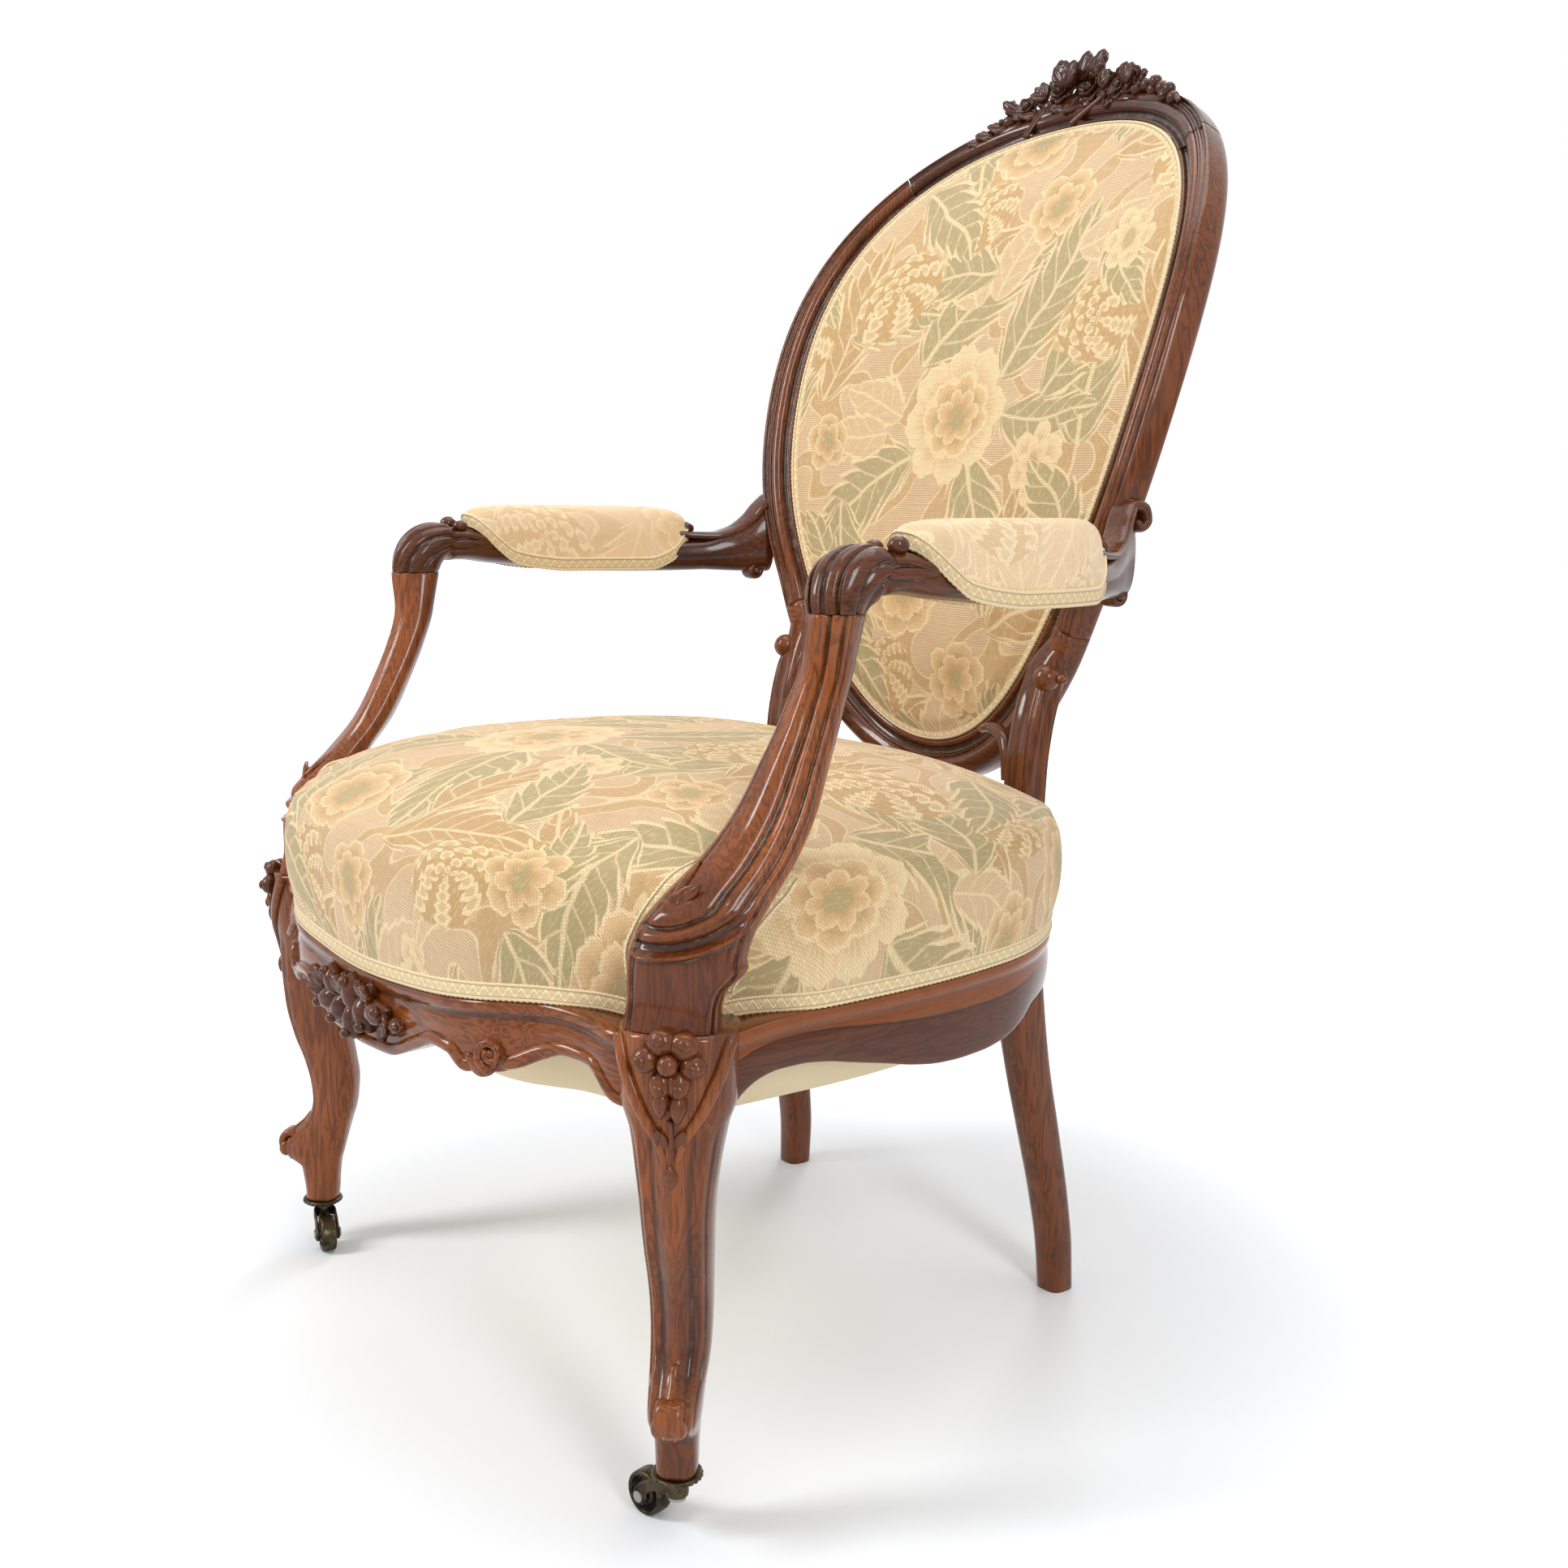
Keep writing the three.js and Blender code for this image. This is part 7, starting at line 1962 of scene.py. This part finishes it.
def cloth_material(name, group, colours, rib=0.0021, bump_depth=0.0006):
    material, t, shader = new_material(
        name, Roughness=0.86, Sheen_Weight=0.2, Sheen_Roughness=0.5, Specular_IOR_Level=0.25
    )
    cloth = use_group(t, group, {title: linear(c) for title, c in colours.items()} | {"Rib Spacing": rib})
    lift = add_node(t, "ShaderNodeBump", {"Height": cloth.outputs["Height"]})
    lift.inputs["Strength"].default_value = 0.6
    lift.inputs["Distance"].default_value = bump_depth
    connect(t, cloth.outputs["Color"], shader.inputs["Base Color"])
    connect(t, lift.outputs[0], shader.inputs["Normal"])
    return material


def braid_material(name, pale, gold, grey):
    """Gimp braid: twisted cords at both edges and two interlaced strands between, from its UV map, with painted shade
    in the gaps between twists and in the grooves beside the cords.

    Across a in -1..1 the strands are a = +-0.42 cos(2 pi length / 9 mm), each 0.16 wide; twist is the
    sine of length / 2.2 mm plus a."""
    material, t, shader = new_material(name, Roughness=0.8, Sheen_Weight=0.2, Specular_IOR_Level=0.3)
    u, v, _ = parts_of(t, uv_of(t))
    a = u * 2.0 - 1.0
    twist = (v * (6.2832 / 0.0024) + a * 9.0).sin() * 0.5 + 0.5
    wave = (v * (6.2832 / 0.0092)).cos() * 0.42
    first, second = (a - wave).abs(), (a + wave).abs()
    over = (v * (6.2832 / 0.0092)).sin().step(-0.2, 0.2)
    strand_a, strand_b = 1.0 - first.step(0.12, 0.2), 1.0 - second.step(0.12, 0.2)
    cord = a.abs().step(0.62, 0.68)
    noise_fine = noise(t, add_node(t, "ShaderNodeTexCoord").outputs["Object"], 900.0, 2.0, 0.6)
    colour = mix(t, (twist * 0.35 + noise_fine * 0.4).clamp(), linear(pale), linear(grey))
    middle = mix(t, strand_a * over + strand_a * (1.0 - strand_b) * 0.9, colour, linear(gold))
    middle = mix(t, strand_b * (1.0 - over * strand_a) * 0.8, middle, linear(pale))
    between = (1.0 - strand_a) * (1.0 - strand_b) * (1.0 - cord)
    middle = mix(t, between * 0.75, middle, linear(grey))
    # painted shade: the gaps between the cords' twists are darkened toward grey
    gap = (1.0 - (v * (6.2832 / 0.0024) + a * 9.0).sin().abs().step(0.0, 0.35)) * 0.5
    colour = mix(t, gap, middle, linear(grey))
    # painted shade: the grooves beside the cords are darkened
    groove = (1.0 - (a.abs() - 0.64).abs().step(0.0, 0.07)) * 0.75
    colour = mix(t, groove, colour, linear(tuple(0.6 * c for c in grey)))
    connect(t, colour, shader.inputs["Base Color"])
    height = strand_a * 0.6 + strand_b * 0.5 + twist * 0.5 + cord * 0.4 - groove * 0.8 + noise_fine * 0.3
    lift = add_node(t, "ShaderNodeBump", {"Height": height})
    lift.inputs["Strength"].default_value = 0.7
    lift.inputs["Distance"].default_value = 0.0005
    connect(t, lift.outputs[0], shader.inputs["Normal"])
    return material


def metal_material(name, colour, tarnish, roughness):
    """Aged metal: bright where rubbed, dark and dull in its hollows."""
    material, t, shader = new_material(name, Metallic=1.0)
    position = add_node(t, "ShaderNodeTexCoord").outputs["Object"]
    patch = noise(t, position, 160.0, 4.0, 0.65)
    broad = noise(t, position, 35.0, 3.0, 0.6)
    relief = Wire(t, add_node(t, "ShaderNodeAttribute", attribute_name="relief").outputs["Fac"])
    dull = (patch.step(0.42, 0.62) * 0.5 + broad.step(0.45, 0.6) * 0.4 + relief.step(0.0, 0.5) * 0.6).clamp()
    connect(t, mix(t, dull, linear(colour), linear(tarnish)), shader.inputs["Base Color"])
    connect(t, (dull * 0.3 + roughness).clamp(), shader.inputs["Roughness"])
    lift = add_node(t, "ShaderNodeBump", {"Height": patch})
    lift.inputs["Strength"].default_value = 0.3
    lift.inputs["Distance"].default_value = 0.0004
    connect(t, lift.outputs[0], shader.inputs["Normal"])
    return material


# ---------------------------------------------------------------- settings


def colour_setting(name, note, default):
    return bpy.props.FloatVectorProperty(
        name=name, description=note, subtype="COLOR_GAMMA", size=3, min=0, max=1, default=default
    )


class WoodSettings(bpy.types.PropertyGroup):
    """Colours of the polished frame."""

    light: colour_setting("Light wood", "Bare and rubbed parts of the polished frame", (0.57, 0.305, 0.118))
    dark: colour_setting("Dark wood", "Figure and shaded parts of the polished frame", (0.25, 0.10, 0.036))
    carved_light: colour_setting("Carving", "Polish on the carved rails", (0.355, 0.178, 0.078))
    carved_dark: colour_setting("Carving, dark", "Old polish gathered on the carved rails", (0.13, 0.065, 0.045))
    dust: colour_setting("Dust", "Dust left in the hollows", (0.60, 0.53, 0.47))
    dust_amount: bpy.props.FloatProperty(
        name="Dust", description="How much dust fills the hollows", default=0.40, min=0, max=1, subtype="FACTOR"
    )


class ClothSettings(bpy.types.PropertyGroup):
    """Colours and scale of the furnishing cloth."""

    ground: colour_setting("Ground", "Ribbed ground of the cloth", (0.86, 0.75, 0.605))
    shade: colour_setting("Shade", "Darker threads of the cloth", (0.69, 0.555, 0.40))
    cream: colour_setting("Outlines", "Pale outlines of flowers and leaves", (0.93, 0.845, 0.665))
    peach: colour_setting("Petals", "Middle of the petals", (0.89, 0.745, 0.55))
    sage: colour_setting("Leaves", "Green leaves", (0.625, 0.615, 0.44))
    ochre: colour_setting("Leaves, warm", "Ochre leaves and petals", (0.74, 0.60, 0.395))
    rib: bpy.props.FloatProperty(
        name="Rib spacing", description="Distance between the ribs", default=0.0021, min=0.0005, max=0.01,
        precision=4, unit="LENGTH",
    )


class TrimSettings(bpy.types.PropertyGroup):
    """Braid, straps and metal."""

    width: bpy.props.FloatProperty(
        name="Braid width", description="Width of the gimp braid", default=BRAID_WIDTH, min=0.004, max=0.03,
        precision=4, unit="LENGTH",
    )
    pale: colour_setting("Braid", "Cords of the braid", (0.95, 0.868, 0.70))
    gold: colour_setting("Braid, gold", "Warm strand of the braid", (0.88, 0.762, 0.555))
    grey: colour_setting("Braid, grey", "Shaded threads of the braid", (0.79, 0.705, 0.55))
    brass: colour_setting("Brass", "Rubbed brass of the casters", (0.34, 0.30, 0.23))
    tarnish: colour_setting("Tarnish", "Dark brass of the casters", (0.10, 0.09, 0.08))
    iron: colour_setting("Iron", "Springs, screws and pintles", (0.42, 0.41, 0.40))


class StageSettings(bpy.types.PropertyGroup):
    """Floor and light."""

    floor: colour_setting("Floor", "Colour of the floor", (0.93, 0.94, 0.955))
    key: bpy.props.FloatProperty(
        name="Key light", description="Power of the large soft light", default=62.0, min=0, max=1000, unit="POWER"
    )
    ambient: bpy.props.FloatProperty(
        name="Ambient", description="Strength of the light from all round", default=0.5, min=0, max=2
    )


# ---------------------------------------------------------------- finishes by name

WOOD_GRAIN = {
    "wood_leg": ("z", 0.55, 0.0), "wood_stile": ("z", 0.6, 3.0), "wood_rail": ("y", 0.6, 6.0),
    "wood_front_rail": ("x", 0.7, 8.0), "wood_support": ("z", 0.55, 1.7), "wood_arm": ("y", 0.6, 4.0),
    "wood_crest": ("x", 0.5, 2.0), "wood_bottom": ("x", 0.6, 5.0),
}
CLOTH_LAY = {"cloth_seat": (0.82, (0.05, 0.09)), "cloth_back": (0.82, (0.0, -0.02)), "cloth_arm": (0.80, (0.29, 0.18))}


def wood_group():
    return bpy.data.node_groups.get("polished_wood") or make_wood_group()


def finish(name):
    """The material of that name, made from the settings when it is first asked for."""
    known = bpy.data.materials.get(name)
    if known:
        return known
    scene = bpy.context.scene
    wood, cloth, trim = scene.armchair_wood, scene.armchair_cloth, scene.armchair_trim
    if name in WOOD_GRAIN:
        grain, streaks, offset = WOOD_GRAIN[name]
        shaded = {"wood_crest": 1.0, "wood_arm": 0.9, "wood_stile": 0.5, "wood_bottom": 0.3, "wood_front_rail": 0.2}.get(name, 0.0)
        pair = [
            tuple(a + (b - a) * shaded for a, b in zip(plain, carved))
            for plain, carved in ((wood.light, wood.carved_light), (wood.dark, wood.carved_dark))
        ]
        return wood_material(
            name, wood_group(), *pair, wood.dust, grain, streaks, wood.dust_amount, offset,
            rail=name == "wood_rail",
        )
    if name in CLOTH_LAY:
        group = make_cloth_group("floral_" + name, *CLOTH_LAY[name])
        colours = {
            "Ground": cloth.ground, "Shade": cloth.shade, "Cream": cloth.cream, "Peach": cloth.peach,
            "Sage": cloth.sage, "Ochre": cloth.ochre,
        }
        if name == "cloth_arm":
            colours["Sage"] = cloth.peach
            # painted light: the arm pads' cloth colours are drawn 42 percent toward a pale cream, a lighter lit copy of
            # the cloth standing in for the light on the pads' tops
            colours = {
                part: tuple(c + (pale - c) * 0.42 for c, pale in zip(colour, (1.0, 0.91, 0.79)))
                for part, colour in colours.items()
            }
        return cloth_material(name, group, colours, cloth.rib)
    if name == "braid":
        return braid_material(name, tuple(trim.pale), tuple(trim.gold), tuple(trim.grey))
    if name == "brass":
        return metal_material(name, trim.brass, trim.tarnish, 0.32)
    if name == "iron":
        return metal_material(name, trim.iron, tuple(0.4 * c for c in trim.iron), 0.45)
    if name == "hessian":
        return plain_material(name, (0.76, 0.67, 0.52), 0.95, 2600.0)
    if name == "webbing":
        return plain_material(name, (0.72, 0.64, 0.50), 0.92, 1800.0)
    if name == "bottom_cloth":
        return plain_material(name, (0.88, 0.775, 0.60), 0.92, 3600.0)
    if name == "block_wood":
        return plain_material(name, (0.74, 0.62, 0.46), 0.75)
    raise ValueError("no finish is called " + name)


def both_sides(shells):
    """The shells of the left piece and of its mirror image on the right."""
    return (("left", shells), ("right", [mirror_shell(s) for s in shells]))


def lay_cloth(piece, way):
    """Cloth coordinates in metres, from where each corner lies.

    On the seat p = xy (1 + drop / |xy|) about its middle, so the sides carry the top's pattern down;
    on the back p = (x, height); on an arm p = (side way, length) with the sides let down."""
    mesh = piece.data
    co = np.empty(len(mesh.vertices) * 3)
    mesh.vertices.foreach_get("co", co)
    co = co.reshape(-1, 3) - [0, DRAWING_SHIFT, 0]
    if way == "seat":
        flat = co[:, :2] - [0, SEAT_MIDDLE]
        drop = np.maximum(RAIL_TOP + CUSHION_SIDE + 0.012 - co[:, 2], 0)
        far = np.linalg.norm(flat, axis=1)
        spots = flat * (1 + drop / np.maximum(far, 0.05))[:, None]
    elif way == "back":
        spots = np.column_stack([co[:, 0], (co[:, 2] - BACK_CENTRE) / math.cos(math.radians(17))])
    else:
        side = np.where(co[:, 0] > 0, 1.0, -1.0)
        spine, _, _ = arm_line(co[:, 1])
        low = np.maximum(ARM_JOINT + PAD_CROWN - co[:, 2], 0)
        x = np.abs(co[:, 0]) - spine[:, 0]
        spots = np.column_stack([(x + np.sign(x) * low * 0.8) * side + side * 0.4, co[:, 1]])
    loops = np.empty(len(mesh.loops), np.int32)
    mesh.loops.foreach_get("vertex_index", loops)
    layer = mesh.uv_layers.get("UVMap") or mesh.uv_layers.new(name="UVMap")
    layer.data.foreach_set("uv", spots[loops].astype(np.float32).ravel())


# ---------------------------------------------------------------- operators


class PieceOperator(bpy.types.Operator):
    bl_options = {"REGISTER", "UNDO"}


class ARMCHAIR_OT_stage(PieceOperator):
    """Add the camera, the pale floor and the soft lights"""

    bl_idname = "armchair.stage"
    bl_label = "Stage"

    def execute(self, context):
        scene = context.scene
        settings = scene.armchair_stage
        camera = bpy.data.objects.new("view", bpy.data.cameras.new("view"))
        scene.collection.objects.link(camera)
        turn, down, roll = math.radians(51.852), math.radians(9.427), math.radians(0.835)
        back = Vector((math.sin(turn) * math.cos(down), -math.cos(turn) * math.cos(down), math.sin(down)))
        level = Vector((math.cos(turn), math.sin(turn), 0))
        over = back.cross(level)
        right = level * math.cos(roll) + over * math.sin(roll)
        up = over * math.cos(roll) - level * math.sin(roll)
        camera.matrix_world = Matrix((
            (right.x, up.x, back.x, 1.172), (right.y, up.y, back.y, -0.8769 + DRAWING_SHIFT),
            (right.z, up.z, back.z, 0.6821), (0, 0, 0, 1),
        ))
        camera.data.sensor_width = 36.0
        camera.data.lens = 2167.8 / 1932 * 36.0
        scene.camera = camera
        scene.view_settings.view_transform = "Standard"

        far = np.concatenate([np.linspace(0, 2, 41), [3, 5, 8, 13, 20]])[1:]
        turns = 2 * np.pi * np.arange(64) / 64
        ring = np.stack([np.cos(turns), np.sin(turns), 0 * turns], -1)
        points = np.concatenate([far[:1, None, None] * 0.02, far[:, None, None]]) * ring[None]
        mesh = bpy.data.meshes.new("floor")
        index = np.arange(points.shape[0] * 64).reshape(-1, 64)
        after = np.roll(index, -1, 1)
        quads = np.stack([index[:-1], index[1:], after[1:], after[:-1]], -1).reshape(-1, 4)
        mesh.from_pydata(points.reshape(-1, 3).tolist(), [], quads.tolist() + [index[0].tolist()])
        floor = bpy.data.objects.new("floor", mesh)
        scene.collection.objects.link(floor)
        material, t, shader = new_material("floor", Roughness=0.9, Specular_IOR_Level=0.1)
        shader.inputs["Base Color"].default_value = linear(settings.floor)
        x, y, _ = parts_of(t, add_node(t, "ShaderNodeTexCoord").outputs["Object"])
        away = (x * x + (y + 0.05) * (y + 0.05)).power(0.5)
        seen = Wire(t, add_node(t, "ShaderNodeLightPath").outputs["Is Camera Ray"])
        shader.inputs["Emission Color"].default_value = (1, 1, 1, 1)
        connect(t, seen * (away.step(0.35, 1.1) * 0.8), shader.inputs["Emission Strength"])
        mesh.materials.append(material)

        for name, spot, target, size, power in (
            ("key", (-1.1, -2.5, 2.3), (0, 0, 0.5), (0.7, 1.7), settings.key),
            ("side", (2.7, -0.7, 1.9), (0, 0, 0.55), (0.6, 1.6), settings.key * 0.55),
            ("top", (0.1, 0.3, 3.2), (0, -0.1, 0.4), (2.2, 2.2), settings.key * 0.55),
            ("behind", (-1.8, 2.2, 2.0), (0, 0, 0.6), (0.8, 1.6), settings.key * 0.4),
        ):
            lamp = bpy.data.lights.new(name, "AREA")
            lamp.shape, lamp.energy = "RECTANGLE", power
            lamp.size, lamp.size_y = size
            holder = bpy.data.objects.new(name, lamp)
            scene.collection.objects.link(holder)
            way = Vector(target) - Vector(spot)
            holder.rotation_euler = way.to_track_quat("-Z", "Y").to_euler()
            holder.location = spot
        world = scene.world or bpy.data.worlds.new("room")
        scene.world = world
        world.use_nodes = True
        t = world.node_tree
        ground = t.nodes["Background"]
        ground.inputs["Color"].default_value = (1, 1, 1, 1)
        rays = add_node(t, "ShaderNodeLightPath")
        shown = (Wire(t, rays.outputs["Is Camera Ray"]) + Wire(t, rays.outputs["Is Glossy Ray"])
                 + Wire(t, rays.outputs["Is Transmission Ray"])).clamp()
        connect(t, shown * (1.0 - settings.ambient) + settings.ambient, ground.inputs["Strength"])
        return {"FINISHED"}


class ARMCHAIR_OT_legs(PieceOperator):
    """Build the cabriole front legs and the back legs with their posts and the oval's sides"""

    bl_idname = "armchair.legs"
    bl_label = "Legs and stiles"

    def execute(self, context):
        for side, shells in both_sides(front_leg_shells()):
            build("leg_carved_" + side, shells, finish("wood_leg"), ["front_leg_" + side])
        for side, shells in both_sides(back_stile_shells()):
            build("stile_moulded_" + side, shells, finish("wood_stile"), ["back_stile_" + side])
        return {"FINISHED"}


class ARMCHAIR_OT_rails(PieceOperator):
    """Build the seat rails and the oval's bottom rail"""

    bl_idname = "armchair.rails"
    bl_label = "Rails"

    def execute(self, context):
        build("front_rail_moulded", front_rail_shells(), finish("wood_front_rail"), ["front_seat_rail"])
        build("apron_carving", apron_carving_shells(), finish("wood_front_rail"))
        side_rail = [rail_shell(8.75, 16.4, 150, False)]
        for side, shells in both_sides(side_rail):
            build("side_rail_moulded_" + side, shells, finish("wood_rail"), ["side_seat_rail_" + side])
        back = rail_shell(16.5, 2 * PLAN_KNOTS - 16.5, 60, False)
        build("back_rail_moulded", [back], finish("wood_front_rail"), ["back_seat_rail"])
        low = frame_arc(POST_JOINT + 0.001, 2 * math.pi - POST_JOINT - 0.001, 110)
        build("oval_bottom_moulded", [low], finish("wood_bottom"), ["back_bottom_rail"])
        return {"FINISHED"}


class ARMCHAIR_OT_arms(PieceOperator):
    """Build the arm supports and the carved arms"""

    bl_idname = "armchair.arms"
    bl_label = "Arms"

    def execute(self, context):
        for side, shells in both_sides(arm_support_shells()):
            build("support_carved_" + side, shells, finish("wood_support"), ["arm_support_" + side])
        for side, shells in both_sides(arm_rail_shells()):
            build("arm_carved_" + side, shells, finish("wood_arm"), ["arm_rail_" + side])
        return {"FINISHED"}


class ARMCHAIR_OT_crest(PieceOperator):
    """Build the crest rail with its carved flowers"""

    bl_idname = "armchair.crest"
    bl_label = "Crest"

    def execute(self, context):
        build("crest_carved", crest_shells(), finish("wood_crest"), ["crest_rail"])
        return {"FINISHED"}


class ARMCHAIR_OT_seat(PieceOperator):
    """Build the sprung seat cushion"""

    bl_idname = "armchair.seat"
    bl_label = "Seat cushion"

    def execute(self, context):
        piece = build("seat_cushion_cover", [seat_cushion_shell()], finish("cloth_seat"), ["seat_cushion"])
        lay_cloth(piece, "seat")
        return {"FINISHED"}


class ARMCHAIR_OT_back(PieceOperator):
    """Build the padded back and its outside cover"""

    bl_idname = "armchair.back"
    bl_label = "Back"

    def execute(self, context):
        piece = build("back_pad_cover", [back_pad_shell()], finish("cloth_back"), ["back_pad"])
        lay_cloth(piece, "back")
        outside = build("back_outside_cloth", [outside_cover_shell()], finish("cloth_back"), ["back_outside_cover"])
        lay_cloth(outside, "back")
        return {"FINISHED"}


class ARMCHAIR_OT_arm_pads(PieceOperator):
    """Build the arm pads"""

    bl_idname = "armchair.arm_pads"
    bl_label = "Arm pads"

    def execute(self, context):
        for side, shells in both_sides([arm_pad_shell()]):
            piece = build("arm_pad_cover_" + side, shells, finish("cloth_arm"), ["arm_pad_" + side])
            lay_cloth(piece, "arm")
        return {"FINISHED"}


class ARMCHAIR_OT_braid(PieceOperator):
    """Build the gimp braid round the seat, the back, the arm pads and up the supports"""

    bl_idname = "armchair.braid"
    bl_label = "Braid"

    def execute(self, context):
        make = lambda name, shells, nodes: build(name, shells, finish("braid"), nodes)
        make("gimp_front", [seat_braid_shells(-7.05, 7.05)], ["seat_braid_front"])
        for side, shells in both_sides([seat_braid_shells(8.95, 16.45)]):
            make("gimp_side_" + side, shells, ["seat_braid_side_" + side])
        make("gimp_back", [seat_braid_shells(16.75, 2 * PLAN_KNOTS - 16.75)], ["seat_braid_back"])
        for side, shells in both_sides(arm_braid_shells()):
            make("gimp_arm_" + side, shells, ["arm_braid_" + side])
        make("gimp_oval", back_braid_shells(), ["back_braid"])
        make("gimp_corners", cushion_strip_shells(bpy.data.objects["seat_cushion_cover"]), [])
        return {"FINISHED"}


class ARMCHAIR_OT_inside(PieceOperator):
    """Build the webs, springs, hessian and the cloth below the seat"""

    bl_idname = "armchair.inside"
    bl_label = "Inside and below"

    def execute(self, context):
        for k, name in enumerate(("front", "middle", "rear")):
            shells = [web_strap_shell(True, SEAT_MIDDLE + 0.118 * (k - 1), 0.566, 0.3162)]
            piece = build("jute_web_" + name, shells, finish("webbing"), ["seat_web_" + name])
        for k, name in enumerate(("right", "centre", "left")):
            shells = [web_strap_shell(False, 0.118 * (k - 1), 0.458, 0.3185)]
            piece = build("jute_web_" + name, shells, finish("webbing"), ["seat_web_" + name])
        spots = ((0, 0), (0.108, -0.108), (0.108, 0.108), (-0.108, -0.108), (-0.108, 0.108))
        for k, (x, y) in enumerate(spots):
            shells = [spring_shell(x, SEAT_MIDDLE + y, 0.3212, 0.4024)]
            build("coil_spring_%d" % (k + 1), shells, finish("iron"), ["seat_spring_%d" % (k + 1)])
        angle = np.linspace(0, 2 * np.pi, 181)[:-1]
        x, z = oval_edge(angle)
        layers = []
        for depth in (0.0153, 0.0163):
            layers.append([
                back_place(x * s, BACK_CENTRE + z * s, np.full_like(x, depth)) for s in np.linspace(0.01, 0.995, 12)
            ])
        cloth = build("back_hessian_cloth", [sheet_shell(*layers)], finish("hessian"), ["back_hessian"])
        knots = np.arange(160) * (2 * PLAN_KNOTS) / 160
        spot, outward, _ = seat_plan(knots)
        edge = spot - outward * 0.0480
        layers = []
        for z in (0.4033, 0.4043):
            layers.append([
                np.column_stack([(edge - [0, SEAT_MIDDLE]) * s + [0, SEAT_MIDDLE], np.full(160, z)])
                for s in np.linspace(0.01, 1, 12)
            ])
        cloth = build("seat_hessian_cloth", [sheet_shell(*layers)], finish("hessian"), ["seat_hessian"])
        cloth = build("bottom_cloth_sheet", [bottom_cloth_shell()], finish("bottom_cloth"), ["seat_bottom_cloth"])
        for name, material in (("corner_block", "block_wood"), ("block_screw", "iron")):
            for node in frame["nodes"]:
                if name in node:
                    show_node(node, finish(material))
        return {"FINISHED"}


def show_node(name, material):
    """A solid from the frame that stays as it is gets its finish in every slot."""
    slots = frame["nodes"][name].material_slots
    for slot in slots:
        slot.material = material


class ARMCHAIR_OT_casters(PieceOperator):
    """Build the brass casters under the front legs"""

    bl_idname = "armchair.casters"
    bl_label = "Casters"

    def execute(self, context):
        for side, hand in SIDES:
            build("caster_cup_" + side, caster_plate_shells(hand), finish("brass"), ["caster_plate_" + side])
            build("caster_arms_" + side, caster_fork_shells(hand), finish("brass"),
                  ["caster_fork_" + side], body="caster_swivel_" + side)
            build("caster_roller_" + side, caster_wheel_shells(hand), finish("brass"),
                  ["caster_wheel_" + side], body="caster_wheel_" + side)
            show_node("caster_pintle_" + side, finish("iron"))
            show_node("caster_axle_" + side, finish("iron"))
        return {"FINISHED"}


BUILD_ORDER = (
    ARMCHAIR_OT_stage, ARMCHAIR_OT_legs, ARMCHAIR_OT_rails, ARMCHAIR_OT_arms, ARMCHAIR_OT_crest,
    ARMCHAIR_OT_seat, ARMCHAIR_OT_back, ARMCHAIR_OT_arm_pads, ARMCHAIR_OT_braid, ARMCHAIR_OT_inside,
    ARMCHAIR_OT_casters,
)
SETTINGS = (
    ("armchair_wood", WoodSettings), ("armchair_cloth", ClothSettings), ("armchair_trim", TrimSettings),
    ("armchair_stage", StageSettings),
)


class ARMCHAIR_PT_pieces(bpy.types.Panel):
    """Lists the armchair's settings and pieces"""

    bl_label = "Armchair"
    bl_space_type = "VIEW_3D"
    bl_region_type = "UI"
    bl_category = "Armchair"

    def draw(self, context):
        for title, group in SETTINGS:
            box = self.layout.box()
            settings = getattr(context.scene, title)
            for prop in group.__annotations__:
                box.prop(settings, prop)
        for operator in BUILD_ORDER:
            self.layout.operator(operator.bl_idname)


def register():
    for title, group in SETTINGS:
        bpy.utils.register_class(group)
        setattr(bpy.types.Scene, title, bpy.props.PointerProperty(type=group))
    for kind in (*BUILD_ORDER, ARMCHAIR_PT_pieces):
        bpy.utils.register_class(kind)


def unregister():
    for kind in (ARMCHAIR_PT_pieces, *reversed(BUILD_ORDER)):
        bpy.utils.unregister_class(kind)
    for title, group in reversed(SETTINGS):
        delattr(bpy.types.Scene, title)
        bpy.utils.unregister_class(group)


def main():
    register()
    for operator in BUILD_ORDER:
        family, name = operator.bl_idname.split(".")
        getattr(getattr(bpy.ops, family), name)()


if __name__ == "__main__":
    main()
